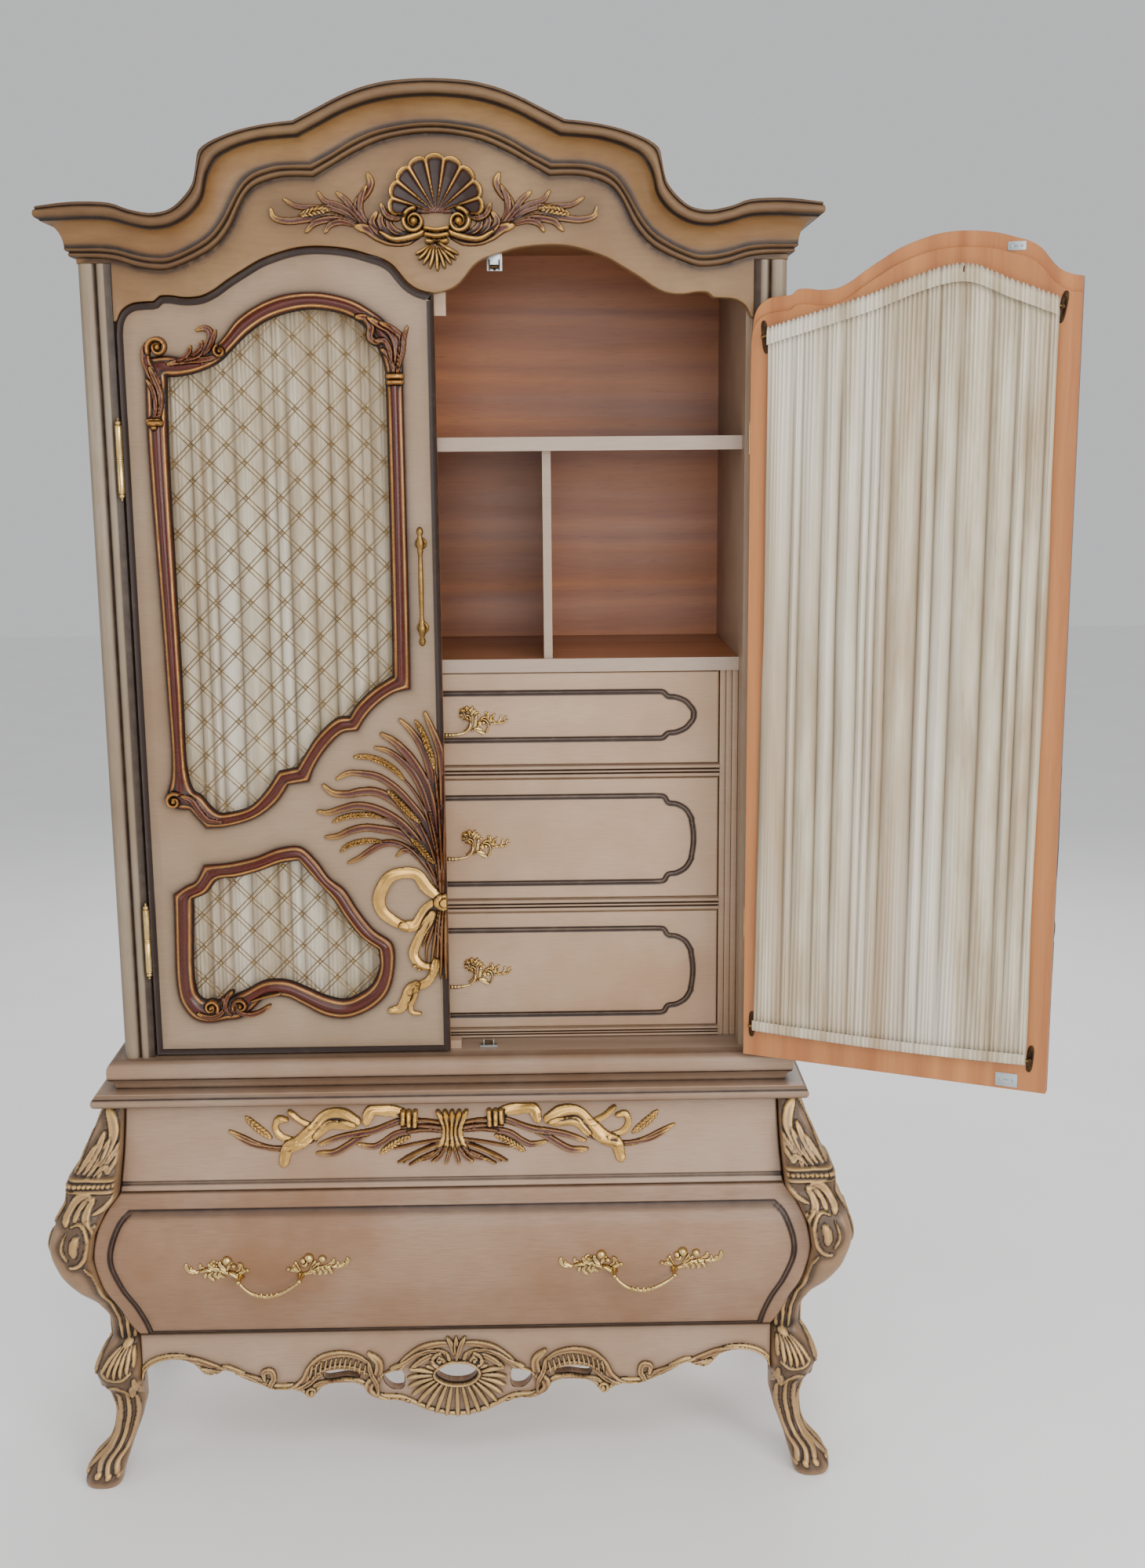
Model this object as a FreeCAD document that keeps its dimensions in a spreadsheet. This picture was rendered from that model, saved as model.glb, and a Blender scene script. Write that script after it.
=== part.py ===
import FreeCAD, Part

import math
import os
import re

V = FreeCAD.Vector
os.makedirs("parts", exist_ok=True)
doc = FreeCAD.newDocument("armoire")

# ---------------------------------------------------------------- sizes (mm)
sheet = doc.addObject("Spreadsheet::Sheet", "Sizes")
SIZES = [
    ("total_height", 2290), ("case_half_width", 549), ("case_back", 447),
    ("panel_thick", 10), ("upper_floor_top", 748), ("upper_floor_thick", 18),
    ("plinth_low", 698), ("upper_top", 2103), ("top_board_thick", 18),
    ("side_inner", 487), ("side_outer", 545), ("side_front", 24.5),
    ("door_front_layer", 15), ("door_back_layer", 8), ("door_edge", 494),
    ("meeting_gap", 1.5), ("hinge_x", 497), ("hinge_y", -6),
    ("right_door_open_deg", 155.7), ("frieze_thick", 24), ("frieze_low", 1900),
    ("shelf_front", 54), ("shelf_thick", 22), ("upper_shelf_top", 1765),
    ("middle_shelf_top", 1405), ("divider_x", 164), ("divider_thick", 14),
    ("bank_face", 75), ("bank_stile_in", 456), ("rail_proud", 4),
    ("drawer_face_thick", 16), ("inner_face_half", 455), ("inner_box_half", 428),
    ("inner_box_depth", 318), ("box_wall", 12), ("box_floor", 8),
    ("moulding_proud", 9), ("lattice_front", 4), ("lattice_thick", 3),
    ("curtain_front", 26), ("curtain_thick", 7),
    ("table_half_width", 598), ("table_front", -48), ("table_top", 698),
    ("table_thick", 24), ("base_box_half", 526), ("base_box_back", 400),
    ("guide_in", 529), ("guide_wide", 14), ("apron_front", -36),
    ("apron_thick", 22), ("base_floor_top", 262), ("base_floor_thick", 16),
    ("dust_top", 531.5), ("dust_thick", 12), ("bar_pull_y", -30),
    ("bar_pull_radius", 5), ("crest_proud", 12), ("apron_carving_proud", 7),
]
P = {}
for n, (alias, value) in enumerate(SIZES, start=1):
    sheet.set("A%d" % n, alias)
    sheet.set("B%d" % n, str(value))
    sheet.setAlias("B%d" % n, alias)
    P[alias] = float(value)
doc.recompute()

NODES = {}


def words(text):
    """A size expression in plain alias words becomes a cell expression."""
    return re.sub(r"\b([a-z]+(?:_[a-z]+)+)\b", r"Sizes.\1", str(text))


def keep(obj, label):
    obj.Label = label
    NODES[label] = obj
    return obj


def bound_box(name, x, y, z):
    """Part::Box from pairs of expressions (low, high)."""
    b = doc.addObject("Part::Box", name)
    for prop, base, (lo, hi) in (("Length", "x", x), ("Width", "y", y), ("Height", "z", z)):
        b.setExpression(prop, "(%s) - (%s)" % (words(hi), words(lo)))
        b.setExpression("Placement.Base." + base, "0 mm + 1 mm * (%s)" % words(lo))
    return b


def group(label, parts):
    c = doc.addObject("Part::Compound", label)
    c.Links = parts
    return keep(c, label)


def cut(name, base, tool):
    c = doc.addObject("Part::Cut", name)
    c.Base, c.Tool = base, tool
    return c


def fuse(name, parts):
    c = doc.addObject("Part::MultiFuse", name)
    c.Shapes = parts
    return c


def shape_of(label, shape, placement=None):
    f = doc.addObject("Part::Feature", label)
    f.Shape = shape
    if placement is not None:
        f.Placement = placement
    return f


PLANES = {"XY": "XY_Plane", "XZ": "XZ_Plane", "YZ": "YZ_Plane"}


def sketch_in(body, name, plane, loops):
    sk = body.newObject("Sketcher::SketchObject", name)
    origin = [o for o in body.Origin.OriginFeatures if o.Role == PLANES[plane]][0]
    sk.AttachmentSupport = [(origin, "")]
    sk.MapMode = "FlatFace"
    for loop in loops:
        pts = [V(float(a), float(b), 0) for a, b in loop]
        for a, b in zip(pts, pts[1:] + pts[:1]):
            sk.addGeometry(Part.LineSegment(a, b), False)
    return sk


def pad(name, plane, layers, base=(0, 0, 0), toward_back=True):
    """PartDesign body: each layer is (loops, thickness expression)."""
    body = doc.addObject("PartDesign::Body", name)
    for n, (loops, thick) in enumerate(layers):
        sk = sketch_in(body, "%s_sketch_%d" % (name, n), plane, loops)
        p = body.newObject("PartDesign::Pad", "%s_pad_%d" % (name, n))
        p.Profile = sk
        p.setExpression("Length", words(thick))
        p.Reversed = bool(toward_back) if plane == "XZ" else False
    body.Placement = FreeCAD.Placement(V(*base), FreeCAD.Rotation())
    return body


def mirror_x(loop):
    return [(-a, b) for a, b in reversed(loop)]


def signed(loop, side):
    """side -1 keeps the measured left half, +1 mirrors it to the right."""
    return list(loop) if side < 0 else mirror_x(loop)


def area(loop):
    return 0.5 * sum(a[0] * b[1] - b[0] * a[1] for a, b in zip(loop, loop[1:] + loop[:1]))


def grow(loop, d):
    """Offset a closed polygon outward by d with limited mitres."""
    s = 1.0 if area(loop) > 0 else -1.0
    out = []
    n = len(loop)
    for i in range(n):
        p, q, r = loop[i - 1], loop[i], loop[(i + 1) % n]
        a = (q[0] - p[0], q[1] - p[1])
        b = (r[0] - q[0], r[1] - q[1])
        la, lb = math.hypot(*a), math.hypot(*b)
        na = (a[1] / la * s, -a[0] / la * s)
        nb = (b[1] / lb * s, -b[0] / lb * s)
        m = (na[0] + nb[0], na[1] + nb[1])
        k = max(0.45, (m[0] ** 2 + m[1] ** 2) / 2.0)
        out.append((q[0] + d * m[0] / k, q[1] + d * m[1] / k))
    return out


def at(table, z):
    """Piecewise monotone interpolation of (z, value) rows sorted by z."""
    if z <= table[0][0]:
        return table[0][1]
    for (a, va), (b, vb) in zip(table, table[1:]):
        if z <= b:
            return va + (vb - va) * (z - a) / (b - a)
    return table[-1][1]


def ruled(sections):
    """Solid through closed polygons with equal point counts."""
    wires = [Part.makePolygon([V(*p) for p in s] + [V(*s[0])]) for s in sections]
    return Part.makeLoft(wires, True, True)


def tube(points, radius):
    """Round bar along straight runs, spheres at the turns."""
    pieces = []
    for a, b in zip(points, points[1:]):
        va, vb = V(*a), V(*b)
        pieces.append(Part.makeCylinder(radius, (vb - va).Length, va, vb - va))
    for p in points[1:-1]:
        pieces.append(Part.makeSphere(radius, V(*p)))
    s = pieces[0]
    if len(pieces) > 1:
        s = s.fuse(pieces[1:]).removeSplitter()
    return s


# ------------------------------------------------------------ measured curves
DOOR_TOP = [(-494, 1925), (-491, 1945), (-483, 1960), (-468, 1970), (-446, 1973),
            (-432, 1974), (-424, 1981), (-409, 1982), (-385, 1979), (-361, 1981),
            (-342, 1989), (-318, 2005), (-293, 2020), (-268, 2034), (-244, 2043),
            (-219, 2050), (-201, 2053), (-183, 2054), (-165, 2053.5), (-147, 2052),
            (-123, 2048), (-99, 2041), (-80, 2035), (-66, 2027), (-58, 2019),
            (-50, 2009), (-40, 1998), (-28, 1990), (-14, 1985), (-1.5, 1983)]
UP_OUT = [(-451, 1890), (-453, 1767), (-444, 1384), (-444, 1230), (-455, 1192),
          (-440, 1175), (-418, 1172), (-392, 1141), (-361, 1143), (-310, 1158),
          (-275, 1184), (-255, 1212), (-222, 1217), (-211, 1243), (-191, 1272),
          (-165, 1296), (-140, 1300), (-125, 1323), (-102, 1346), (-78, 1361),
          (-53, 1367), (-52, 1468), (-52, 1835), (-52, 1880), (-60, 1915),
          (-78, 1943), (-97, 1958), (-125, 1974), (-161, 1984), (-191, 1987),
          (-233, 1983), (-270, 1970), (-307, 1946), (-326, 1923), (-346, 1903),
          (-364, 1893), (-389, 1889), (-419, 1893)]
UP_IN = [(-419, 1862), (-422, 1766), (-420, 1384), (-418, 1230), (-409, 1203),
         (-398, 1196), (-384, 1178), (-370, 1166), (-355, 1166), (-319, 1176),
         (-290, 1205), (-270, 1234), (-240, 1240), (-227, 1260), (-205, 1292),
         (-171, 1321), (-152, 1323), (-140, 1342), (-113, 1367), (-90, 1382),
         (-80, 1388), (-79, 1468), (-78, 1836), (-79, 1871), (-91, 1907),
         (-108, 1934), (-138, 1953), (-186, 1962), (-222, 1958), (-259, 1946),
         (-290, 1926), (-315, 1903), (-334, 1885), (-365, 1870), (-402, 1862)]
LOW_OUT = [(-451, 1030), (-430, 1044), (-414, 1052), (-399, 1079), (-361, 1082),
           (-313, 1092), (-275, 1106), (-240, 1108), (-214, 1084), (-194, 1055),
           (-171, 1036), (-149, 1000), (-124, 966), (-94, 941), (-92, 900),
           (-104, 856), (-131, 829), (-173, 813), (-208, 817), (-247, 838),
           (-272, 851), (-307, 851), (-332, 829), (-352, 815), (-376, 812),
           (-403, 808), (-428, 815), (-444, 835), (-452, 861)]
LOW_IN = [(-420, 1022), (-398, 1032), (-378, 1054), (-347, 1058), (-309, 1068),
          (-273, 1081), (-244, 1085), (-226, 1062), (-206, 1038), (-189, 1017),
          (-169, 984), (-145, 952), (-117, 931), (-116, 901), (-128, 872),
          (-151, 854), (-175, 845), (-207, 852), (-239, 867), (-271, 880),
          (-306, 880), (-341, 863), (-369, 852), (-396, 846), (-412, 850),
          (-422, 864)]
LEG_OUT = [(0, 646), (8, 649), (20, 645), (42, 632), (64, 609), (88, 600),
           (111, 598), (148, 604), (174, 620), (197, 626), (230, 614), (257, 598),
           (286, 598), (324, 613), (361, 641), (406, 664), (453, 674), (497, 662),
           (528, 647), (552, 645), (577, 630), (624, 608), (675, 585)]
LEG_FREE = [(0, 582), (20, 577), (56, 566), (93, 552), (131, 542), (174, 541), (262, 542)]
DRAWER_X = [(265, 540), (284, 552), (325, 567), (374, 590), (424, 600), (465, 594),
            (503, 576), (526, 557)]
FRIEZE_X = [(527, 557), (600, 550.5), (668, 548)]
FACE_Y = [(262, -38), (284, -45), (325, -60), (370, -74), (424, -78), (465, -73),
          (503, -58), (527, -45), (560, -37), (600, -28), (640, -19), (668, -14)]


# the legs' inner edges keep this clearance to the drawer fronts
FRONT_GAP = 2.4
LEG_IN = LEG_FREE + [(z, x + FRONT_GAP) for z, x in DRAWER_X] + [(z, x + FRONT_GAP) for z, x in FRIEZE_X]
LEG_IN += [(675, 550.4)]


def leg_front(z):
    return -(at(LEG_OUT, z) - 560.0)


def side_x(z):
    return at(LEG_OUT, z) - 12.0


# crown stations: x,z of the top edge, nosing foot, cove foot and bead foot
CROWN = [
    ((561, 2115), (555, 2092), (535, 2053), (530, 2039)),
    ((530, 2117), (520, 2093), (510, 2053), (507, 2038)),
    ((483, 2115), (482, 2091), (482, 2050), (482, 2034)),
    ((456, 2106), (452, 2083), (452, 2042), (453, 2025)),
    ((424, 2100), (423, 2078), (424, 2038), (424, 2021)),
    ((400, 2103), (396, 2081), (400, 2040), (402, 2023)),
    ((375, 2119), (361, 2100), (345, 2067), (338, 2052)),
    ((358, 2140), (343, 2123), (322, 2092), (311, 2081)),
    ((352, 2160), (337, 2148), (307, 2117), (298, 2106)),
    ((349, 2177), (330, 2164), (297, 2134), (289, 2123)),
    ((345, 2190), (319, 2179), (285, 2150), (277, 2138)),
    ((330, 2201), (304, 2188), (272, 2160), (262, 2147)),
    ((301, 2213), (285, 2196), (254, 2167), (247, 2152)),
    ((268, 2222), (254, 2204), (232, 2172), (228, 2156)),
    ((233, 2228), (225, 2207), (207, 2173), (204, 2157)),
    ((204, 2231), (197, 2209), (183, 2173), (180, 2156)),
    ((169, 2248), (161, 2227), (153, 2188), (152, 2172)),
    ((134, 2265), (128, 2243), (120, 2207), (119, 2190)),
    ((99, 2278), (93, 2255), (86, 2221), (83, 2206)),
    ((63, 2286), (60, 2262), (54, 2228), (52, 2214)),
    ((30, 2289), (28, 2265), (25, 2232), (24, 2218)),
    ((0, 2290), (0, 2266), (0, 2233), (0, 2219)),
]
END_Z = (2111, 2091, 2053, 2039)


def crown_section(top, nose, cove, bead, corner=False, side=None):
    """Closed moulding section; corner gives the mitre at x = half width."""
    half = P["case_half_width"]

    def pt(xz, out):
        if corner:
            return (half + out * 48.0 / 52.0, -out, xz)
        return (xz[0], -out, xz[1])

    def mid(a, b, k):
        if corner:
            return a + (b - a) * k
        return (a[0] + (b[0] - a[0]) * k, a[1] + (b[1] - a[1]) * k)

    pts = [pt(bead, 0), pt(bead, 4), pt(mid(bead, cove, 0.3), 9), pt(mid(bead, cove, 0.7), 9),
           pt(cove, 13), pt(cove, 15)]
    for k in (0.2, 0.4, 0.6, 0.8):
        pts.append(pt(mid(cove, nose, math.sin(k * math.pi / 2) * 0.92), 15 + 27 * (1 - math.cos(k * math.pi / 2))))
    pts += [pt(mid(nose, top, -0.05), 44), pt(mid(nose, top, 0.02), 47), pt(mid(nose, top, 0.3), 50.5),
            pt(mid(nose, top, 0.62), 52), pt(mid(nose, top, 0.88), 50), pt(top, 44), pt(top, 0)]
    return pts


corner = crown_section(*END_Z, corner=True)
half_secs = [corner] + [crown_section(*c) for c in CROWN]
other = [[(-x, y, z) for x, y, z in s] for s in reversed(half_secs[:-1])]
crown_shape = ruled(half_secs + other)
back_end = [(x, P["case_back"], z) for x, y, z in corner]
right_return = ruled([corner, back_end])
left_return = right_return.mirror(V(0, 0, 0), V(1, 0, 0))
keep(shape_of("cornice", Part.makeCompound([crown_shape, right_return, left_return])), "cornice")

# ------------------------------------------------------------- frieze board
gap_line = grow([(-494, 1500)] + DOOR_TOP + [(-1.5, 1500)], 2.0)[1:-1]
gap_line = [(x, z) for x, z in gap_line if x > -495.5 and x < -2]
board = [(-548.5, 2031.5), (-496.5, 2031.5), (-496.5, gap_line[0][1])] + gap_line + [(0, 1985)]
top_line = [(-c[0][0], c[0][1] - 4) for c in CROWN]
top_line = [(-548.5, 2109)] + [p for p in top_line if p[0] > -545]
loop = board + [(-x, z) for x, z in reversed(board[:-1])]
loop += [(-x, z) for x, z in top_line[:-1]] + list(reversed(top_line))
keep(pad("frieze_board", "XZ", [([loop], "frieze_thick")]), "frieze_board")

# ------------------------------------------------------------- corner posts
post = [(497, 24.2), (497, 0.3), (506, 0.3), (508, -2.2), (513, -3.2), (517, -1.4), (521, 1.5),
        (523, 0.5), (526, -2.2), (533, -4), (540, -2.6), (545, 2), (548, 9), (549, 16), (549, 24.2)]
posts = [pad("corner_post_right", "XY", [([post], "upper_top - upper_floor_top - 72")], (0, 0, P["upper_floor_top"])),
         pad("corner_post_left", "XY", [([mirror_x(post)], "upper_top - upper_floor_top - 72")],
             (0, 0, P["upper_floor_top"]))]
group("corner_posts", posts)

# ------------------------------------------------------------- upper case
sides = []
for tag, lo, hi, olo, ohi in (("right", "side_inner", "side_outer", "side_outer - 12", "side_outer + 5"),
                              ("left", "-side_outer", "-side_inner", "-side_outer - 5", "-side_outer + 12")):
    plank = bound_box("upper_side_" + tag, (lo, hi), ("side_front", "case_back - panel_thick"),
                      ("upper_floor_top", "upper_top - top_board_thick"))
    field = bound_box("upper_field_" + tag, (olo, ohi), ("side_front + 60", "case_back - panel_thick - 60"),
                      ("upper_floor_top + 90", "upper_top - top_board_thick - 130"))
    sides.append(cut("upper_side_cut_" + tag, plank, field))
group("upper_sides", sides)
group("upper_back_panel", [bound_box("upper_back", ("-side_outer", "side_outer"),
      ("case_back - panel_thick", "case_back"), ("upper_floor_top", "upper_top - top_board_thick"))])
group("upper_top_board", [bound_box("upper_top_plank", ("-case_half_width + 0.5", "case_half_width - 0.5"),
      ("frieze_thick", "case_back"), ("upper_top - top_board_thick", "upper_top"))])
group("upper_floor_board", [bound_box("upper_floor", ("-case_half_width", "case_half_width"),
      ("0 * box_wall", "case_back"), ("upper_floor_top - upper_floor_thick", "upper_floor_top"))])
ring = bound_box("plinth_outer", ("-case_half_width", "case_half_width"), ("0 * box_wall", "case_back"),
                 ("plinth_low", "upper_floor_top - upper_floor_thick"))
hole = bound_box("plinth_inner", ("-case_half_width + 30", "case_half_width - 30"), ("30 + 0 * box_wall", "case_back - 30"),
                 ("plinth_low - 5", "upper_floor_top"))
keep(cut("plinth_frame", ring, hole), "plinth_frame")

# waist moulding: one run across the front and back along both sides
WAIST = [(0, 698), (13, 698), (13, 702), (14, 706), (17, 711), (21, 714), (24, 717), (25, 722), (25, 733),
         (23.5, 740), (20, 745), (14, 748), (0, 748)]


def three_sides(profile, half, front, back):
    """Moulding mitred round the front corners of a case."""
    def row(side, y_end):
        if y_end is None:
            return [(side * (half + o), front - o, z) for o, z in profile]
        return [(side * (half + o), y_end, z) for o, z in profile]
    return ruled([row(-1, back), row(-1, None), row(1, None), row(1, back)])


waist = three_sides(WAIST, P["case_half_width"], 0, P["case_back"])
keep(shape_of("waist_moulding", waist), "waist_moulding")

# shelves and dividers
group("upper_shelf", [bound_box("upper_shelf_plank", ("-side_inner + 0.3", "side_inner - 0.3"),
      ("shelf_front", "case_back - panel_thick"), ("upper_shelf_top - shelf_thick", "upper_shelf_top"))])
group("middle_shelf", [bound_box("middle_shelf_plank", ("-side_inner + 0.3", "side_inner - 0.3"),
      ("bank_face - 4", "case_back - panel_thick"), ("middle_shelf_top - shelf_thick", "middle_shelf_top"))])
group("shelf_dividers", [
    bound_box("divider_" + t, (a, b), ("shelf_front + 26", "case_back - panel_thick"),
              ("middle_shelf_top", "upper_shelf_top - shelf_thick"))
    for t, a, b in (("right", "divider_x", "divider_x + divider_thick"), ("left", "-divider_x - divider_thick", "-divider_x"))])

# bank frame
FACES = {"top": (1226.0, 1382.0), "middle": (995.0, 1202.0), "bottom": (766.0, 971.0)}
bank = []
for t, a, b in (("right", "bank_stile_in", "side_inner - 0.3"), ("left", "-side_inner + 0.3", "-bank_stile_in")):
    bank.append(bound_box("bank_stile_" + t, (a, b), ("bank_face", "bank_face + 20"),
                          ("upper_floor_top", "middle_shelf_top - shelf_thick")))
for t, lo, hi in (("low", 748, 765.3), ("mid", 971.7, 994.3), ("high", 1202.7, 1225.3)):
    bank.append(bound_box("bank_rail_" + t, ("-bank_stile_in", "bank_stile_in"),
                          ("bank_face - rail_proud", "bank_face + 20"), (lo, hi)))
group("drawer_bank_frame", bank)
runners = []
for t, (lo, hi) in FACES.items():
    for s, a, b in (("right", "inner_box_half - 12", "side_inner"), ("left", "-side_inner", "12 - inner_box_half")):
        runners.append(bound_box("runner_%s_%s" % (t, s), (a, b), ("bank_face + 20", "case_back - panel_thick"),
                                 (lo - 18, lo + 3.5)))

# ------------------------------------------------------------- inner drawers


def drawer_box(name, half, y0, y1, z0, z1):
    outer = bound_box(name + "_outer", ("-" + half, half), (y0, y1), (z0, z1))
    inner = bound_box(name + "_inner", ("box_wall - " + half, half + " - box_wall"),
                      ("%s + box_wall" % y0, "%s - box_wall" % y1), ("%s + box_floor" % z0, "%s + 10" % z1))
    return cut(name + "_cut", outer, inner)


PULL_LINE = {"top": 1290.0, "middle": 1079.0, "bottom": 855.0}
for t, (lo, hi) in FACES.items():
    face = bound_box("inner_face_" + t, ("-inner_face_half", "inner_face_half"),
                     ("bank_face", "bank_face + drawer_face_thick"), (lo, hi))
    soft = doc.addObject("Part::Chamfer", "inner_face_soft_" + t)
    soft.Base = face
    doc.recompute()
    rim = [k for k, e in enumerate(face.Shape.Edges, start=1)
           if all(abs(v.Point.y - P["bank_face"]) < 1e-6 for v in e.Vertexes)]
    soft.Edges = [(k, 1.5, 1.5) for k in rim]
    keep(soft, "inner_drawer_%s_front" % t)
    keep(drawer_box("inner_box_" + t, "inner_box_half", "(bank_face + drawer_face_thick)",
                    "(bank_face + drawer_face_thick + inner_box_depth)", lo + 4, hi - 32),
         "inner_drawer_%s_box" % t)
    zc = PULL_LINE[t]
    y = P["bank_face"]
    plate = [(28, 10), (38, 32), (52, 38), (60, 24), (72, 16), (100, 20), (100, 10), (78, 4), (66, -8), (44, -8)]
    bits = []
    for s in (-1, 1):
        ring_pts = [(s * a, zc + b) for a, b in plate]
        wire = Part.makePolygon([V(a, y - 8, b) for a, b in ring_pts + ring_pts[:1]])
        bits.append(Part.Face(wire).extrude(V(0, 7.9, 0)))
    bail = tube([(-44, y - 6, zc + 2), (-44, y - 20, zc + 1), (-28, y - 22, zc - 8), (28, y - 22, zc - 8),
                 (44, y - 20, zc + 1), (44, y - 6, zc + 2)], 3.2)
    pull = bits[0].fuse([bits[1], bail])
    keep(shape_of("inner_drawer_%s_pull" % t, pull), "inner_drawer_%s_pull" % t)

# ------------------------------------------------------------- stops and catches
group("door_stop_blocks", [
    bound_box("stop_high", (-16, 16), ("frieze_thick", "frieze_thick + 18"), (1952, 2012)),
    bound_box("stop_low", (-16, 16), ("frieze_thick", "frieze_thick + 16"), ("upper_floor_top", "upper_floor_top + 14"))])
catches = []
for s in (-1, 1):
    x = s * 93
    body = Part.makeBox(24, 14, 44, V(x - 12, 24, 2020))
    wheel = Part.makeCylinder(3.4, 12, V(x, 21, 2022), V(0, 0, 1))
    arm = Part.makeBox(5, 4, 8, V(x - 2.5, 21, 2024))
    catches.append(body.fuse([wheel, arm]))
    x = s * 62
    body = Part.makeBox(30, 16, 12, V(x - 15, 29, 748))
    wheel = Part.makeCylinder(3.2, 10, V(x - 5, 28.3, 755), V(1, 0, 0))
    catches.append(body.fuse(wheel))
keep(shape_of("roller_catches", Part.makeCompound(catches)), "roller_catches")

# ------------------------------------------------------------- doors
DOOR_BOTTOM = 751.5
door_full = [(-494, DOOR_BOTTOM)] + DOOR_TOP + [(-1.5, DOOR_BOTTOM)]
door_step = [(-494, DOOR_BOTTOM)] + [(x, z - 23) for x, z in DOOR_TOP] + [(-1.5, DOOR_BOTTOM)]
UP_HOLE = grow(UP_IN, 7)
LOW_HOLE = grow(LOW_IN, 7)


def inside(loop, x, z):
    hit = False
    for (ax, az), (bx, bz) in zip(loop, loop[1:] + loop[:1]):
        if (az > z) != (bz > z) and x < (bx - ax) * (z - az) / (bz - az) + ax:
            hit = not hit
    return hit


def prism(loop, y0, y1):
    wire = Part.makePolygon([V(a, y0, b) for a, b in loop + loop[:1]])
    return Part.Face(wire).extrude(V(0, y1 - y0, 0))


def lattice(hole_loop, side):
    """Rim and crossed twin-wire strips in one flat solid."""
    y0 = P["lattice_front"]
    y1 = y0 + P["lattice_thick"]
    rim_out = grow(hole_loop, -0.15)
    rim_in = grow(hole_loop, -6)
    window = prism(signed(rim_out, side), y0, y1)
    rim = window.cut(prism(signed(rim_in, side), y0 - 1, y1 + 1))
    xs = [p[0] for p in hole_loop]
    zs = [p[1] for p in hole_loop]
    cx, cz = 0.5 * (min(xs) + max(xs)), 0.5 * (min(zs) + max(zs))
    reach = 0.5 * math.hypot(max(xs) - min(xs), max(zs) - min(zs)) + 20
    pitch = 55.0 * math.sin(math.radians(45))
    strips = []
    count = int(reach / pitch) + 1
    for slope in (45.0, -45.0):
        for k in range(-count, count + 1):
            strip = Part.makeBox(2 * reach, P["lattice_thick"], 8.0, V(-reach, y0, k * pitch - 4.0))
            strip.rotate(V(0, y0, 0), V(0, 1, 0), slope)
            strip.translate(V(side * abs(cx), 0, cz))
            piece = strip.common(window)
            if piece.Volume > 200:
                strips += piece.Solids
    return rim.fuse(strips).removeSplitter()


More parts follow.
